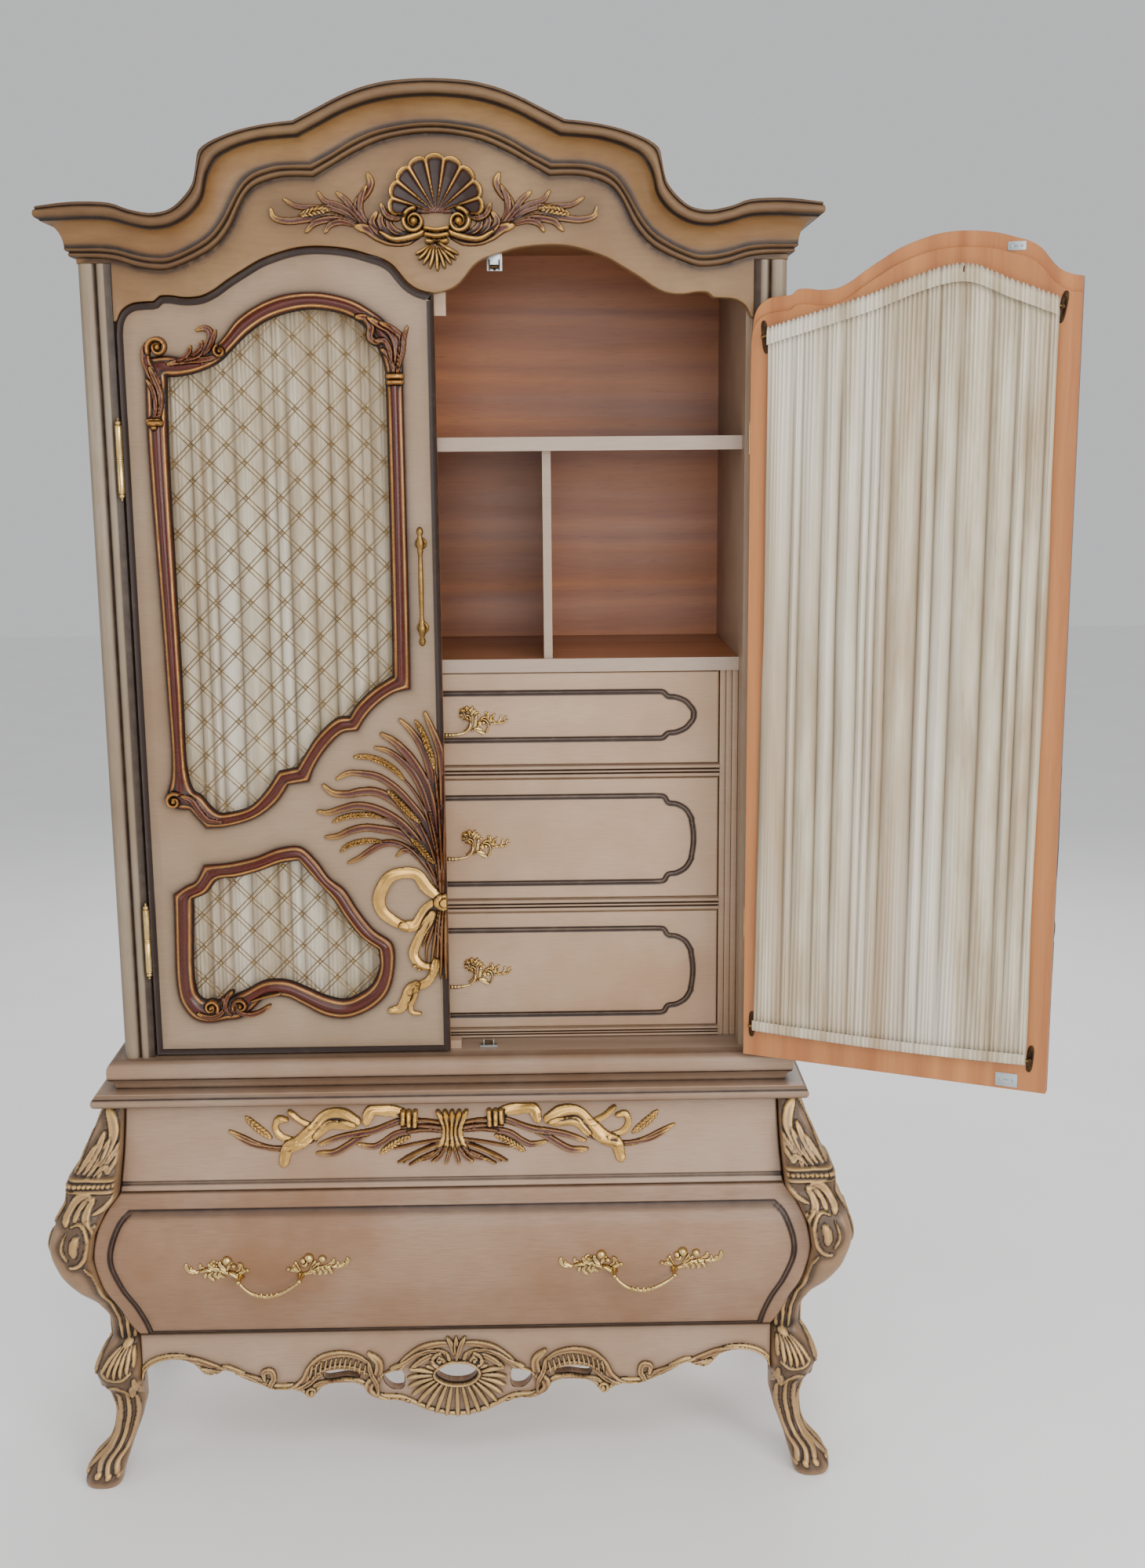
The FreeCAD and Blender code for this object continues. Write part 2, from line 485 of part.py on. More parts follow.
for side, tag in ((-1, "left"), (1, "right")):
    turn = FreeCAD.Placement()
    if side > 0:
        turn = FreeCAD.Placement(V(0, 0, 0), FreeCAD.Rotation(V(0, 0, 1), P["right_door_open_deg"]),
                                 V(P["hinge_x"], P["hinge_y"], 0))
    holes = [signed(UP_HOLE, side), signed(LOW_HOLE, side)]
    panel = pad(tag + "_door_panel", "XZ", [([signed(door_step, side)] + holes, "door_front_layer + door_back_layer"),
                                            ([signed(door_full, side)] + holes, "door_front_layer")])
    panel.Placement = turn
    keep(panel, tag + "_door_panel")
    rings = [pad(tag + "_ring_up", "XZ", [([signed(UP_OUT, side), signed(UP_IN, side)], "moulding_proud")], toward_back=False),
             pad(tag + "_ring_low", "XZ", [([signed(LOW_OUT, side), signed(LOW_IN, side)], "moulding_proud")], toward_back=False)]
    group(tag + "_grille_mouldings", rings).Placement = turn
    sheaf = [(-1.6, 1335), (-15, 1335), (-28, 1325), (-60, 1295), (-141, 1266), (-163, 1240), (-196, 1208),
             (-208, 1163), (-166, 1083), (-96, 1050), (-119, 1020), (-112, 975), (-92, 950), (-80, 900),
             (-98, 845), (-94, 827), (-60, 845), (-50, 827), (-36, 860), (-1.6, 873)]
    # the sheaf relief is scribed over the ends of both grille mouldings
    blank = pad(tag + "_sheaf_blank", "XZ", [([signed(sheaf, side)], "moulding_proud + 5")], toward_back=False)
    carved = cut(tag + "_sheaf_carved", blank, fuse(tag + "_sheaf_scribe", rings))
    carved.Placement = turn
    keep(carved, tag + "_wheat_sheaf")
    grille = Part.makeCompound([lattice(UP_HOLE, side), lattice(LOW_HOLE, side)])
    keep(shape_of(tag + "_lattice", grille, turn), tag + "_lattice")
    curtain = [(-462, 806), (-462, 1918), (-318, 1955), (-170, 1992), (-100, 1970), (-36, 1946), (-38, 805)]
    group(tag + "_curtain", [pad(tag + "_curtain_blank", "XZ", [([signed(curtain, side)], "curtain_thick")],
                                 (0, P["curtain_front"], 0))]).Placement = turn
    # rods through the curtain hems, with brackets and a centre hook
    rod_parts = []
    for x, z, h in ((-471, 1912, 46), (-27, 1940, 40), (-479, 806, 40), (-27, 806, 40)):
        plate = Part.makeBox(9, 1.6, h, V(side * abs(x) - 4.5, 23, z - h / 2.0))
        knob = Part.makeCylinder(3.2, 10.5, V(side * abs(x), 23, z), V(0, 1, 0))
        rod_parts.append(plate.fuse(knob))
    yk = 35.0
    bars = [tube([(side * 471, yk, 1912), (side * 170, yk, 1994), (side * 27, yk, 1940)], 1.6),
            tube([(side * 479, yk, 806), (side * 27, yk, 806)], 1.6)]
    keep(shape_of(tag + "_curtain_rods", Part.makeCompound(rod_parts + bars), turn), tag + "_curtain_rods")
    # bar pull
    xp, yp = side * 30.0, P["bar_pull_y"]
    bar = Part.makeCylinder(P["bar_pull_radius"], 182, V(xp, yp, 1442))
    pull_bits = []
    for z in (1466, 1600):
        pull_bits.append(Part.makeCylinder(4.5, abs(yp), V(xp, yp, z), V(0, 1, 0)))
        pull_bits.append(Part.makeSphere(8.0, V(xp, yp, z)))
        pull_bits.append(Part.makeCylinder(10, 3, V(xp, -3, z), V(0, 1, 0)))
    for z in (1442, 1624):
        pull_bits.append(Part.makeSphere(6.5, V(xp, yp, z)))
    keep(shape_of(tag + "_bar_pull", bar.fuse(pull_bits), turn), tag + "_bar_pull")
    # strike plates for the catches
    high = Part.makeBox(26, 1.2, 12.6, V(side * 97 - 13, 15, 2022.2))
    low = Part.makeBox(34, 1.2, 22, V(side * 62 - 17, 23, 756))
    keep(shape_of(tag + "_strike_plates", Part.makeCompound([high, low]), turn), tag + "_strike_plates")
    # lift-off barrel hinges: upper knuckle and leaf on the door
    hx, hy = side * P["hinge_x"], P["hinge_y"]
    leaves = []
    for low_z, high_z in ((1670, 1800), (886, 1018)):
        mid = 0.5 * (low_z + high_z)
        barrel = Part.makeCylinder(5.5, high_z - 12 - mid - 0.4, V(hx, hy, mid + 0.4))
        tip = Part.makeCone(5.5, 2.2, 12, V(hx, hy, high_z - 12))
        web = Part.makeBox(2.6, 5.5, high_z - 14 - mid - 0.4, V(hx - (2.9 if side > 0 else -0.3), hy, mid + 0.4))
        leaf = Part.makeBox(1.2, 26, high_z - 14 - mid - 0.4, V(side * 494 if side > 0 else -495.2, hy + 2, mid + 0.4))
        bore = Part.makeCylinder(2.56, 40, V(hx, hy, mid - 5))
        leaves.append(barrel.fuse([tip, web, leaf]).cut(bore))
    keep(shape_of(tag + "_hinge_leaves", Part.makeCompound(leaves), turn), tag + "_hinge_leaves")

fixed = []
for side in (-1, 1):
    hx, hy = side * P["hinge_x"], P["hinge_y"]
    for low_z, high_z in ((1670, 1800), (886, 1018)):
        mid = 0.5 * (low_z + high_z)
        barrel = Part.makeCylinder(5.5, mid - low_z - 12, V(hx, hy, low_z + 12))
        tip = Part.makeCone(2.2, 5.5, 12, V(hx, hy, low_z))
        pin = Part.makeCylinder(2.5, 30, V(hx, hy, mid))
        web = Part.makeBox(1.2, 26, mid - low_z - 14, V(495.8 if side > 0 else -497, hy + 2, low_z + 14))
        fixed.append(barrel.fuse([tip, pin, web]))
keep(shape_of("hinge_leaves_fixed", Part.makeCompound(fixed)), "hinge_leaves_fixed")

# ------------------------------------------------------------- shell crest
spray = [(0, 2023), (18, 2030), (30, 2050), (60, 2066), (84, 2074), (110, 2076), (150, 2082), (190, 2088),
         (225, 2092), (248, 2102), (244, 2112), (220, 2118), (180, 2118), (140, 2116), (104, 2124), (80, 2130),
         (76, 2152), (60, 2172), (36, 2188), (0, 2194)]
spray_loop = spray + [(-x, z) for x, z in reversed(spray[1:-1])]
fan = [(0, 2078), (40, 2086), (72, 2110), (78, 2126), (74, 2150), (58, 2170), (34, 2186), (0, 2192)]
fan_loop = fan + [(-x, z) for x, z in reversed(fan[1:-1])]
crest = pad("shell_crest", "XZ", [([spray_loop], "crest_proud"), ([fan_loop], "crest_proud + 12")], toward_back=False)
keep(crest, "shell_crest")

# ------------------------------------------------------------- base case
slab = bound_box("table_slab", ("-table_half_width", "table_half_width"), ("table_front", "case_back"),
                 ("table_top - table_thick", "table_top"))
doc.recompute()
nose = doc.addObject("Part::Fillet", "base_top_board")
nose.Base = slab
edges = []
for k, e in enumerate(slab.Shape.Edges, start=1):
    c = e.CenterOfMass
    if abs(c.y - P["case_back"]) < 1:
        continue
    if abs(c.z - P["table_top"]) < 1e-6:
        edges.append((k, 11.0, 11.0))
    elif abs(c.z - P["table_top"] + P["table_thick"]) < 1e-6:
        edges.append((k, 7.0, 7.0))
nose.Edges = edges
keep(nose, "base_top_board")

Z_SIDE = [262, 286, 305, 324, 342, 361, 384, 406, 430, 453, 475, 497, 512, 528, 552, 577, 600, 624, 650, 674]
sides = []
for s in (-1, 1):
    secs = []
    for z in Z_SIDE:
        a, b = s * (side_x(z) - 20), s * side_x(z)
        secs.append([(a, 31, z), (b, 31, z), (b, 397, z), (a, 397, z)])
    sides.append(ruled(secs))
keep(shape_of("base_sides", Part.makeCompound(sides)), "base_sides")

Z_LEG = [0, 8, 20, 42, 64, 88, 111, 131, 148, 174, 197, 215, 230, 257, 265, 284, 304, 325, 350, 374, 398, 424, 445,
         455, 465, 484, 503, 526, 527, 552, 577, 600, 624, 645, 668, 674]


def leg_section(z, s):
    xo, xi = at(LEG_OUT, z), at(LEG_IN, z)
    yo = leg_front(z)
    yi = min(30.0, 30.0 if z >= 174 else -(xi - 560.0) + 10)
    if z < 262:
        k = (262 - z) / 262.0
        yi = 30.0 * (1 - k) + (-(xi - 560.0) + 2) * k
        if z < 131:
            yi = -(xi - 560.0) + 4 + 8 * (z / 131.0)
    w = min(xo - xi, yi - yo)
    c = 0.30 * w
    pts = [(xi, yo + 0.12 * w), (xi + 0.12 * w, yo), (xo - c, yo), (xo - 0.38 * c, yo + 0.12 * c),
           (xo - 0.12 * c, yo + 0.38 * c), (xo, yo + c), (xo, yi), (xi, yi)]
    return [(s * x, y, z) for x, y in pts]


legs = [ruled([leg_section(z, s) for z in Z_LEG]) for s in (-1, 1)]
keep(shape_of("front_legs", Part.makeCompound(legs)), "front_legs")
backs = []
for s in (-1, 1):
    secs = []
    for z in Z_LEG:
        xo, xi = at(LEG_OUT, z) - 4, max(541.0, at(LEG_IN, z) - 4 if z < 200 else 541.0)
        secs.append([(s * xi, 398, z), (s * xo, 398, z), (s * xo, 447, z), (s * xi, 447, z)])
    backs.append(ruled(secs))
keep(shape_of("back_legs", Part.makeCompound(backs)), "back_legs")

APRON_LOW = [(-540, 176), (-534, 197), (-518, 211), (-491, 218), (-458, 213), (-445, 200), (-432, 187),
             (-412, 190), (-398, 196), (-353, 174), (-313, 159), (-279, 158), (-266, 148), (-251, 143),
             (-230, 162), (-192, 170), (-165, 163), (-152, 147), (-132, 137), (-99, 134), (-79, 125),
             (-52, 112), (-19, 103), (0, 101)]
H1 = [(-231, 187), (-204, 193), (-171, 187), (-168, 176), (-192, 177), (-229, 174)]
H2 = [(-127, 182), (-95, 188), (-94, 154), (-112, 152), (-127, 167)]
OVAL = [(-37, 180), (-17, 197), (20, 197), (35, 182), (20, 166), (-17, 165)]
apron = APRON_LOW + [(-x, z) for x, z in reversed(APRON_LOW[:-1])] + [(540, 261.5), (-540, 261.5)]
holes = [H1, H2, mirror_x(H1), mirror_x(H2), OVAL]
rail = pad("apron_rail", "XZ", [([apron] + holes, "apron_thick")], (0, P["apron_front"], 0))
orn = [(-540, 176), (-531, 207), (-510, 221), (-470, 228), (-417, 220), (-378, 203), (-338, 193), (-318, 203),
       (-310, 180), (-278, 187), (-251, 213), (-230, 232), (-196, 236), (-163, 222), (-147, 230), (-134, 206),
       (-103, 213), (-69, 236), (-36, 248), (0, 251)]
orn_loop = APRON_LOW + [(-x, z) for x, z in reversed(APRON_LOW[:-1])] + [(-x, z) for x, z in orn[:-1]] + list(reversed(orn[1:]))
orn_clean = []
for p in orn_loop:
    if not orn_clean or (abs(p[0] - orn_clean[-1][0]) + abs(p[1] - orn_clean[-1][1])) > 0.5:
        orn_clean.append(p)
relief = pad("apron_carving", "XZ", [([orn_clean] + holes, "apron_carving_proud")], (0, P["apron_front"], 0),
             toward_back=False)
keep(fuse("front_apron", [rail, relief]), "front_apron")

SIDE_LOW = [(31, 178), (50, 205), (90, 214), (140, 196), (180, 178), (214, 168), (248, 178), (288, 196), (338, 214),
            (378, 205), (397, 178)]
side_parts = []
for s in (-1, 1):
    wire = [V(s * 566, y, z) for y, z in SIDE_LOW] + [V(s * 566, 397, 262), V(s * 566, 31, 262)]
    face = Part.Face(Part.makePolygon(wire + wire[:1]))
    side_parts.append(face.extrude(V(s * 20, 0, 0)))
keep(shape_of("side_aprons", Part.makeCompound(side_parts)), "side_aprons")

group("base_back_panel", [bound_box("base_back", (-540.7, 540.7), ("case_back - panel_thick", "case_back"),
      ("base_floor_top", "table_top - table_thick"))])
floor_loop = [(-539.5, -13.5), (539.5, -13.5), (539.5, 30.5), (565.5, 30.5), (565.5, 397.5), (540.5, 397.5), (540.5, 437),
              (-540.5, 437), (-540.5, 397.5), (-565.5, 397.5), (-565.5, 30.5), (-539.5, 30.5)]
keep(pad("base_bottom_board", "XY", [([floor_loop], "base_floor_thick")],
         (0, 0, P["base_floor_top"] - P["base_floor_thick"])), "base_bottom_board")
dust_loop = [(-556, 12), (556, 12), (556, 30.5), (612, 30.5), (612, 397), (540.5, 397), (540.5, 437),
             (-540.5, 437), (-540.5, 397), (-612, 397), (-612, 30.5), (-556, 30.5)]
keep(pad("base_dust_panel", "XY", [([dust_loop], "dust_thick")], (0, 0, P["dust_top"] - P["dust_thick"])), "base_dust_panel")
guides = []
for t, zlo, zhi in (("low", "base_floor_top", "base_floor_top + 34"), ("high", "dust_top", "dust_top + 30")):
    for s, a, b in (("right", "guide_in", "guide_in + guide_wide"), ("left", "-guide_in - guide_wide", "-guide_in")):
        guides.append(bound_box("guide_%s_%s" % (t, s), (a, b), (36, 396), (zlo, zhi)))
group("drawer_runners", runners + guides)

# ------------------------------------------------------------- base drawers


def shaped_front(xs, z_list, back):
    secs = []
    for z in z_list:
        x, y = at(xs, z), at(FACE_Y, z)
        secs.append([(-x, y, z), (x, y, z), (x, back, z), (-x, back, z)])
    return ruled(secs)


Z_LOW = [265, 284, 304, 325, 350, 374, 398, 424, 445, 465, 484, 503, 526]
Z_FRZ = [527.6, 545, 560, 580, 600, 620, 640, 655, 668, 672.5]
low_front = shaped_front(DRAWER_X, Z_LOW, -20)
frieze_front = shaped_front(FRIEZE_X, Z_FRZ, 6)
keep(shape_of("lower_drawer_front", low_front), "lower_drawer_front")
keep(shape_of("frieze_drawer_front", frieze_front), "frieze_drawer_front")
keep(drawer_box("lower_box", "base_box_half", "-20", "base_box_back", 267, 500), "lower_drawer_box")
keep(drawer_box("frieze_box", "base_box_half", "6", "base_box_back", 536, 652), "frieze_drawer_box")


def on_face(loop, proud, zs):
    """Relief lying on the shaped face: rows of (z, x low, x high)."""
    secs = []
    for z, a, b in loop:
        y = at(FACE_Y, z)
        secs.append([(a, y - proud, z), (b, y - proud, z), (b, y + 4, z), (a, y + 4, z)])
    return ruled(secs)


carve = [on_face([(575, -38, 40), (600, -40, 42), (640, -48, 50), (664, -30, 34)], 7, None)]
for s in (-1, 1):
    rows = [(576, 150, 250), (600, 60, 330), (625, 52, 372), (650, 90, 368), (664, 180, 320)]
    rows = [(z, min(s * a, s * b), max(s * a, s * b)) for z, a, b in rows]
    carve.append(on_face(rows, 5.5, None))
keep(shape_of("frieze_drawer_carving", Part.makeCompound([c.cut(frieze_front) for c in carve])), "frieze_drawer_carving")

pulls = []
for s in (-1, 1):
    cx = s * 313.0
    bits = []
    for k in (-1, 1):
        x0, x1 = cx + k * 62, cx + k * 138
        rows = [(360, min(cx + k * 66, cx + k * 96), max(cx + k * 66, cx + k * 96)),
                (386, min(cx + k * 60, cx + k * 118), max(cx + k * 60, cx + k * 118)),
                (404, min(x0, x1), max(x0, x1)),
                (424, min(cx + k * 74, cx + k * 112), max(cx + k * 74, cx + k * 112))]
        secs = []
        for z, a, b in rows:
            y = at(FACE_Y, z)
            secs.append([(a, y - 7, z), (b, y - 7, z), (b, y + 4, z), (a, y + 4, z)])
        bits.append(ruled(secs))
    y = at(FACE_Y, 404)
    bail = tube([(cx - 84, y - 4, 402), (cx - 84, y - 24, 400), (cx - 60, y - 30, 378), (cx - 30, y - 31, 366),
                 (cx + 30, y - 31, 366), (cx + 60, y - 30, 378), (cx + 84, y - 24, 400), (cx + 84, y - 4, 402)], 4.2)
    pulls.append(bail.fuse(bits).cut(low_front))
keep(shape_of("lower_drawer_pulls", Part.makeCompound(pulls)), "lower_drawer_pulls")

# ------------------------------------------------------------- check and write
doc.recompute()
bad = [o.Name for o in doc.Objects if "Invalid" in o.State or "Error" in o.State]
if bad:
    raise SystemExit("failed features: " + ", ".join(bad))
for label, obj in sorted(NODES.items()):
    s = obj.Shape
    if s.isNull() or not s.isValid() or s.Volume <= 0:
        raise SystemExit("bad shape: " + label)
    if not s.Solids:
        raise SystemExit("no solid: " + label)
for label, obj in sorted(NODES.items()):
    obj.Label = label
    obj.Shape.exportStep(os.path.join("parts", label + ".step"))
    b = obj.Shape.BoundBox
    print("%-28s %2d solids  x %7.1f %7.1f  y %7.1f %7.1f  z %7.1f %7.1f" % (
        label, len(obj.Shape.Solids), b.XMin, b.XMax, b.YMin, b.YMax, b.ZMin, b.ZMax))
print(len(NODES), "nodes")
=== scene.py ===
import math

import bmesh
import bpy
import numpy as np
from mathutils import Matrix, Vector, geometry


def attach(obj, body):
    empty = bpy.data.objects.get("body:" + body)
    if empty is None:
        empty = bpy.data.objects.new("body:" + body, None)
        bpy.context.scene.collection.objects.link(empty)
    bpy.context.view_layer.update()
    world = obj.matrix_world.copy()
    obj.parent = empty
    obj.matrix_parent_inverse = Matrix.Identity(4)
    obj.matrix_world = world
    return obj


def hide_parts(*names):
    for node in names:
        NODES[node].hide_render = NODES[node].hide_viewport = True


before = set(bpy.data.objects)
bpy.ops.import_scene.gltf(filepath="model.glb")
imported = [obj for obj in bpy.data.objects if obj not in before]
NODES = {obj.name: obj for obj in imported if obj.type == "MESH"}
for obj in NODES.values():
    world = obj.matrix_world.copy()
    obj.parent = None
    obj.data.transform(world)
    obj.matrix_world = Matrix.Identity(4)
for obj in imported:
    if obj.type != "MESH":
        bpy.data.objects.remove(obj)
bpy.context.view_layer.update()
MM = 0.001
rng = np.random.default_rng(7)

# The open door stands turned about its hinge line.
TURN, HX, HY = math.radians(155.7), 497.0, -6.0
OPEN = (Matrix.Translation((HX * MM, HY * MM, 0)) @ Matrix.Rotation(TURN, 4, "Z")
        @ Matrix.Translation((-HX * MM, -HY * MM, 0)))


# ------------------------------------------------------------------ camera
def camera():
    yaw, pitch, roll = math.radians(-1.09), math.radians(-11.0), math.radians(0.48)
    m = Matrix.Rotation(yaw, 3, "Z") @ Matrix.Rotation(pitch, 3, "X") @ Matrix.Rotation(roll, 3, "Y")
    right, forward, up = m.col[0], m.col[1], m.col[2]
    world = Matrix.Identity(4)
    for r in range(3):
        world[r][0], world[r][1], world[r][2] = right[r], up[r], -forward[r]
    world.translation = Vector((0.155, -2.770, 1.746))
    data = bpy.data.cameras.new("photo_camera")
    data.lens, data.sensor_width, data.sensor_fit = 39.6, 36.0, "AUTO"
    data.clip_end = 60
    cam = bpy.data.objects.new("photo_camera", data)
    cam.matrix_world = world
    bpy.context.scene.collection.objects.link(cam)
    bpy.context.scene.camera = cam


camera()


# ------------------------------------------------------------------ tables (mm)
DOOR_TOP = [(-494, 1925), (-491, 1945), (-483, 1960), (-468, 1970), (-446, 1973),
            (-432, 1974), (-424, 1981), (-409, 1982), (-385, 1979), (-361, 1981),
            (-342, 1989), (-318, 2005), (-293, 2020), (-268, 2034), (-244, 2043),
            (-219, 2050), (-201, 2053), (-183, 2054), (-165, 2053.5), (-147, 2052),
            (-123, 2048), (-99, 2041), (-80, 2035), (-66, 2027), (-58, 2019),
            (-50, 2009), (-40, 1998), (-28, 1990), (-14, 1985), (-1.5, 1983)]
UP_OUT = [(-451, 1890), (-453, 1767), (-444, 1384), (-444, 1230), (-455, 1192),
          (-440, 1175), (-418, 1172), (-392, 1141), (-361, 1143), (-310, 1158),
          (-275, 1184), (-255, 1212), (-222, 1217), (-211, 1243), (-191, 1272),
          (-165, 1296), (-140, 1300), (-125, 1323), (-102, 1346), (-78, 1361),
          (-53, 1367), (-52, 1468), (-52, 1835), (-52, 1880), (-60, 1915),
          (-78, 1943), (-97, 1958), (-125, 1974), (-161, 1984), (-191, 1987),
          (-233, 1983), (-270, 1970), (-307, 1946), (-326, 1923), (-346, 1903),
          (-364, 1893), (-389, 1889), (-419, 1893)]
UP_IN = [(-419, 1862), (-422, 1766), (-420, 1384), (-418, 1230), (-409, 1203),
         (-398, 1196), (-384, 1178), (-370, 1166), (-355, 1166), (-319, 1176),
         (-290, 1205), (-270, 1234), (-240, 1240), (-227, 1260), (-205, 1292),
         (-171, 1321), (-152, 1323), (-140, 1342), (-113, 1367), (-90, 1382),
         (-80, 1388), (-79, 1468), (-78, 1836), (-79, 1871), (-91, 1907),
         (-108, 1934), (-138, 1953), (-186, 1962), (-222, 1958), (-259, 1946),
         (-290, 1926), (-315, 1903), (-334, 1885), (-365, 1870), (-402, 1862)]
LOW_OUT = [(-451, 1030), (-430, 1044), (-414, 1052), (-399, 1079), (-361, 1082),
           (-313, 1092), (-275, 1106), (-240, 1108), (-214, 1084), (-194, 1055),
           (-171, 1036), (-149, 1000), (-124, 966), (-94, 941), (-92, 900),
           (-104, 856), (-131, 829), (-173, 813), (-208, 817), (-247, 838),
           (-272, 851), (-307, 851), (-332, 829), (-352, 815), (-376, 812),
           (-403, 808), (-428, 815), (-444, 835), (-452, 861)]
LOW_IN = [(-420, 1022), (-398, 1032), (-378, 1054), (-347, 1058), (-309, 1068),
          (-273, 1081), (-244, 1085), (-226, 1062), (-206, 1038), (-189, 1017),
          (-169, 984), (-145, 952), (-117, 931), (-116, 901), (-128, 872),
          (-151, 854), (-175, 845), (-207, 852), (-239, 867), (-271, 880),
          (-306, 880), (-341, 863), (-369, 852), (-396, 846), (-412, 850),
          (-422, 864)]
LEG_OUT = [(0, 646), (8, 649), (20, 645), (42, 632), (64, 609), (88, 600),
           (111, 598), (148, 604), (174, 620), (197, 626), (230, 614), (257, 598),
           (286, 598), (324, 613), (361, 641), (406, 664), (453, 674), (497, 662),
           (528, 647), (552, 645), (577, 630), (624, 608), (675, 585)]
LEG_FREE = [(0, 582), (20, 577), (56, 566), (93, 552), (131, 542), (174, 541), (262, 542)]
DRAWER_X = [(265, 540), (284, 552), (325, 567), (374, 590), (424, 600), (465, 594),
            (503, 576), (526, 557)]
FRIEZE_X = [(527, 557), (600, 550.5), (668, 548)]
LEG_IN = (LEG_FREE + [(z, x + 2.4) for z, x in DRAWER_X] + [(z, x + 2.4) for z, x in FRIEZE_X] + [(675, 550.4)])
FACE_Y = [(262, -38), (284, -45), (325, -60), (370, -74), (424, -78), (465, -73),
          (503, -58), (527, -45), (560, -37), (600, -28), (640, -19), (668, -14), (674, -13)]
# crown stations: top edge, nosing foot, cove foot, bead foot
CROWN = [
    ((561, 2115), (555, 2092), (535, 2053), (530, 2039)),
    ((530, 2117), (520, 2093), (510, 2053), (507, 2038)),
    ((483, 2115), (482, 2091), (482, 2050), (482, 2034)),
    ((456, 2106), (452, 2083), (452, 2042), (453, 2025)),
    ((424, 2100), (423, 2078), (424, 2038), (424, 2021)),
    ((400, 2103), (396, 2081), (400, 2040), (402, 2023)),
    ((375, 2119), (361, 2100), (345, 2067), (338, 2052)),
    ((358, 2140), (343, 2123), (322, 2092), (311, 2081)),
    ((352, 2160), (337, 2148), (307, 2117), (298, 2106)),
    ((349, 2177), (330, 2164), (297, 2134), (289, 2123)),
    ((345, 2190), (319, 2179), (285, 2150), (277, 2138)),
    ((330, 2201), (304, 2188), (272, 2160), (262, 2147)),
    ((301, 2213), (285, 2196), (254, 2167), (247, 2152)),
    ((268, 2222), (254, 2204), (232, 2172), (228, 2156)),
    ((233, 2228), (225, 2207), (207, 2173), (204, 2157)),
    ((204, 2231), (197, 2209), (183, 2173), (180, 2156)),
    ((169, 2248), (161, 2227), (153, 2188), (152, 2172)),
    ((134, 2265), (128, 2243), (120, 2207), (119, 2190)),
    ((99, 2278), (93, 2255), (86, 2221), (83, 2206)),
    ((63, 2286), (60, 2262), (54, 2228), (52, 2214)),
    ((30, 2289), (28, 2265), (25, 2232), (24, 2218)),
    ((0, 2290), (0, 2266), (0, 2233), (0, 2219)),
]
KINK = 15
END_Z = (2111, 2091, 2053, 2039)
APRON_LOW = [(-540, 176), (-534, 197), (-518, 211), (-491, 218), (-458, 213), (-445, 200), (-432, 187),
             (-412, 190), (-398, 196), (-353, 174), (-313, 159), (-279, 158), (-266, 148), (-251, 143),
             (-230, 162), (-192, 170), (-165, 163), (-152, 147), (-132, 137), (-99, 134), (-79, 125),
             (-52, 112), (-19, 103), (0, 101)]
HOLE_A = [(-231, 187), (-204, 193), (-171, 187), (-168, 176), (-192, 177), (-229, 174)]
HOLE_B = [(-127, 182), (-95, 188), (-94, 154), (-112, 152), (-127, 167)]
HOLE_C = [(-37, 180), (-17, 197), (20, 197), (35, 182), (20, 166), (-17, 165)]
SIDE_LOW = [(31, 178), (50, 205), (90, 214), (140, 196), (180, 178), (214, 168), (248, 178), (288, 196), (338, 214),
            (378, 205), (397, 178)]


# ------------------------------------------------------------------ geometry helpers
def at(table, z):
    t = np.array(table, float)
    return np.interp(z, t[:, 0], t[:, 1])


def smooth_at(table, z):
    """The table read through a monotone cubic, so lofts have no flats."""
    t = np.array(table, float)
    x, y = t[:, 0], t[:, 1]
    h = np.diff(x)
    d = np.diff(y) / h
    m = np.zeros(len(x))
    m[0], m[-1] = d[0], d[-1]
    for i in range(1, len(x) - 1):
        if d[i - 1] * d[i] > 0:
            w1, w2 = 2 * h[i] + h[i - 1], h[i] + 2 * h[i - 1]
            m[i] = (w1 + w2) / (w1 / d[i - 1] + w2 / d[i])
    z = np.clip(np.asarray(z, float), x[0], x[-1])
    i = np.clip(np.searchsorted(x, z) - 1, 0, len(h) - 1)
    s = (z - x[i]) / h[i]
    return ((1 + 2 * s) * (1 - s) ** 2 * y[i] + s * (1 - s) ** 2 * h[i] * m[i]
            + s * s * (3 - 2 * s) * y[i + 1] + s * s * (s - 1) * h[i] * m[i + 1])


def area(loop):
    a = np.array(loop, float)
    b = np.roll(a, -1, 0)
    return 0.5 * float((a[:, 0] * b[:, 1] - b[:, 0] * a[:, 1]).sum())


def grow(loop, d):
    """Closed polygon moved outward by d."""
    s = 1.0 if area(loop) > 0 else -1.0
    a = np.array(loop, float)
    e0 = a - np.roll(a, 1, 0)
    e1 = np.roll(a, -1, 0) - a
    n0 = np.stack([e0[:, 1], -e0[:, 0]], 1) / np.maximum(np.linalg.norm(e0, axis=1), 1e-9)[:, None] * s
    n1 = np.stack([e1[:, 1], -e1[:, 0]], 1) / np.maximum(np.linalg.norm(e1, axis=1), 1e-9)[:, None] * s
    m = n0 + n1
    k = np.maximum(0.45, (m ** 2).sum(1) / 2.0)
    return a + d * m / k[:, None]


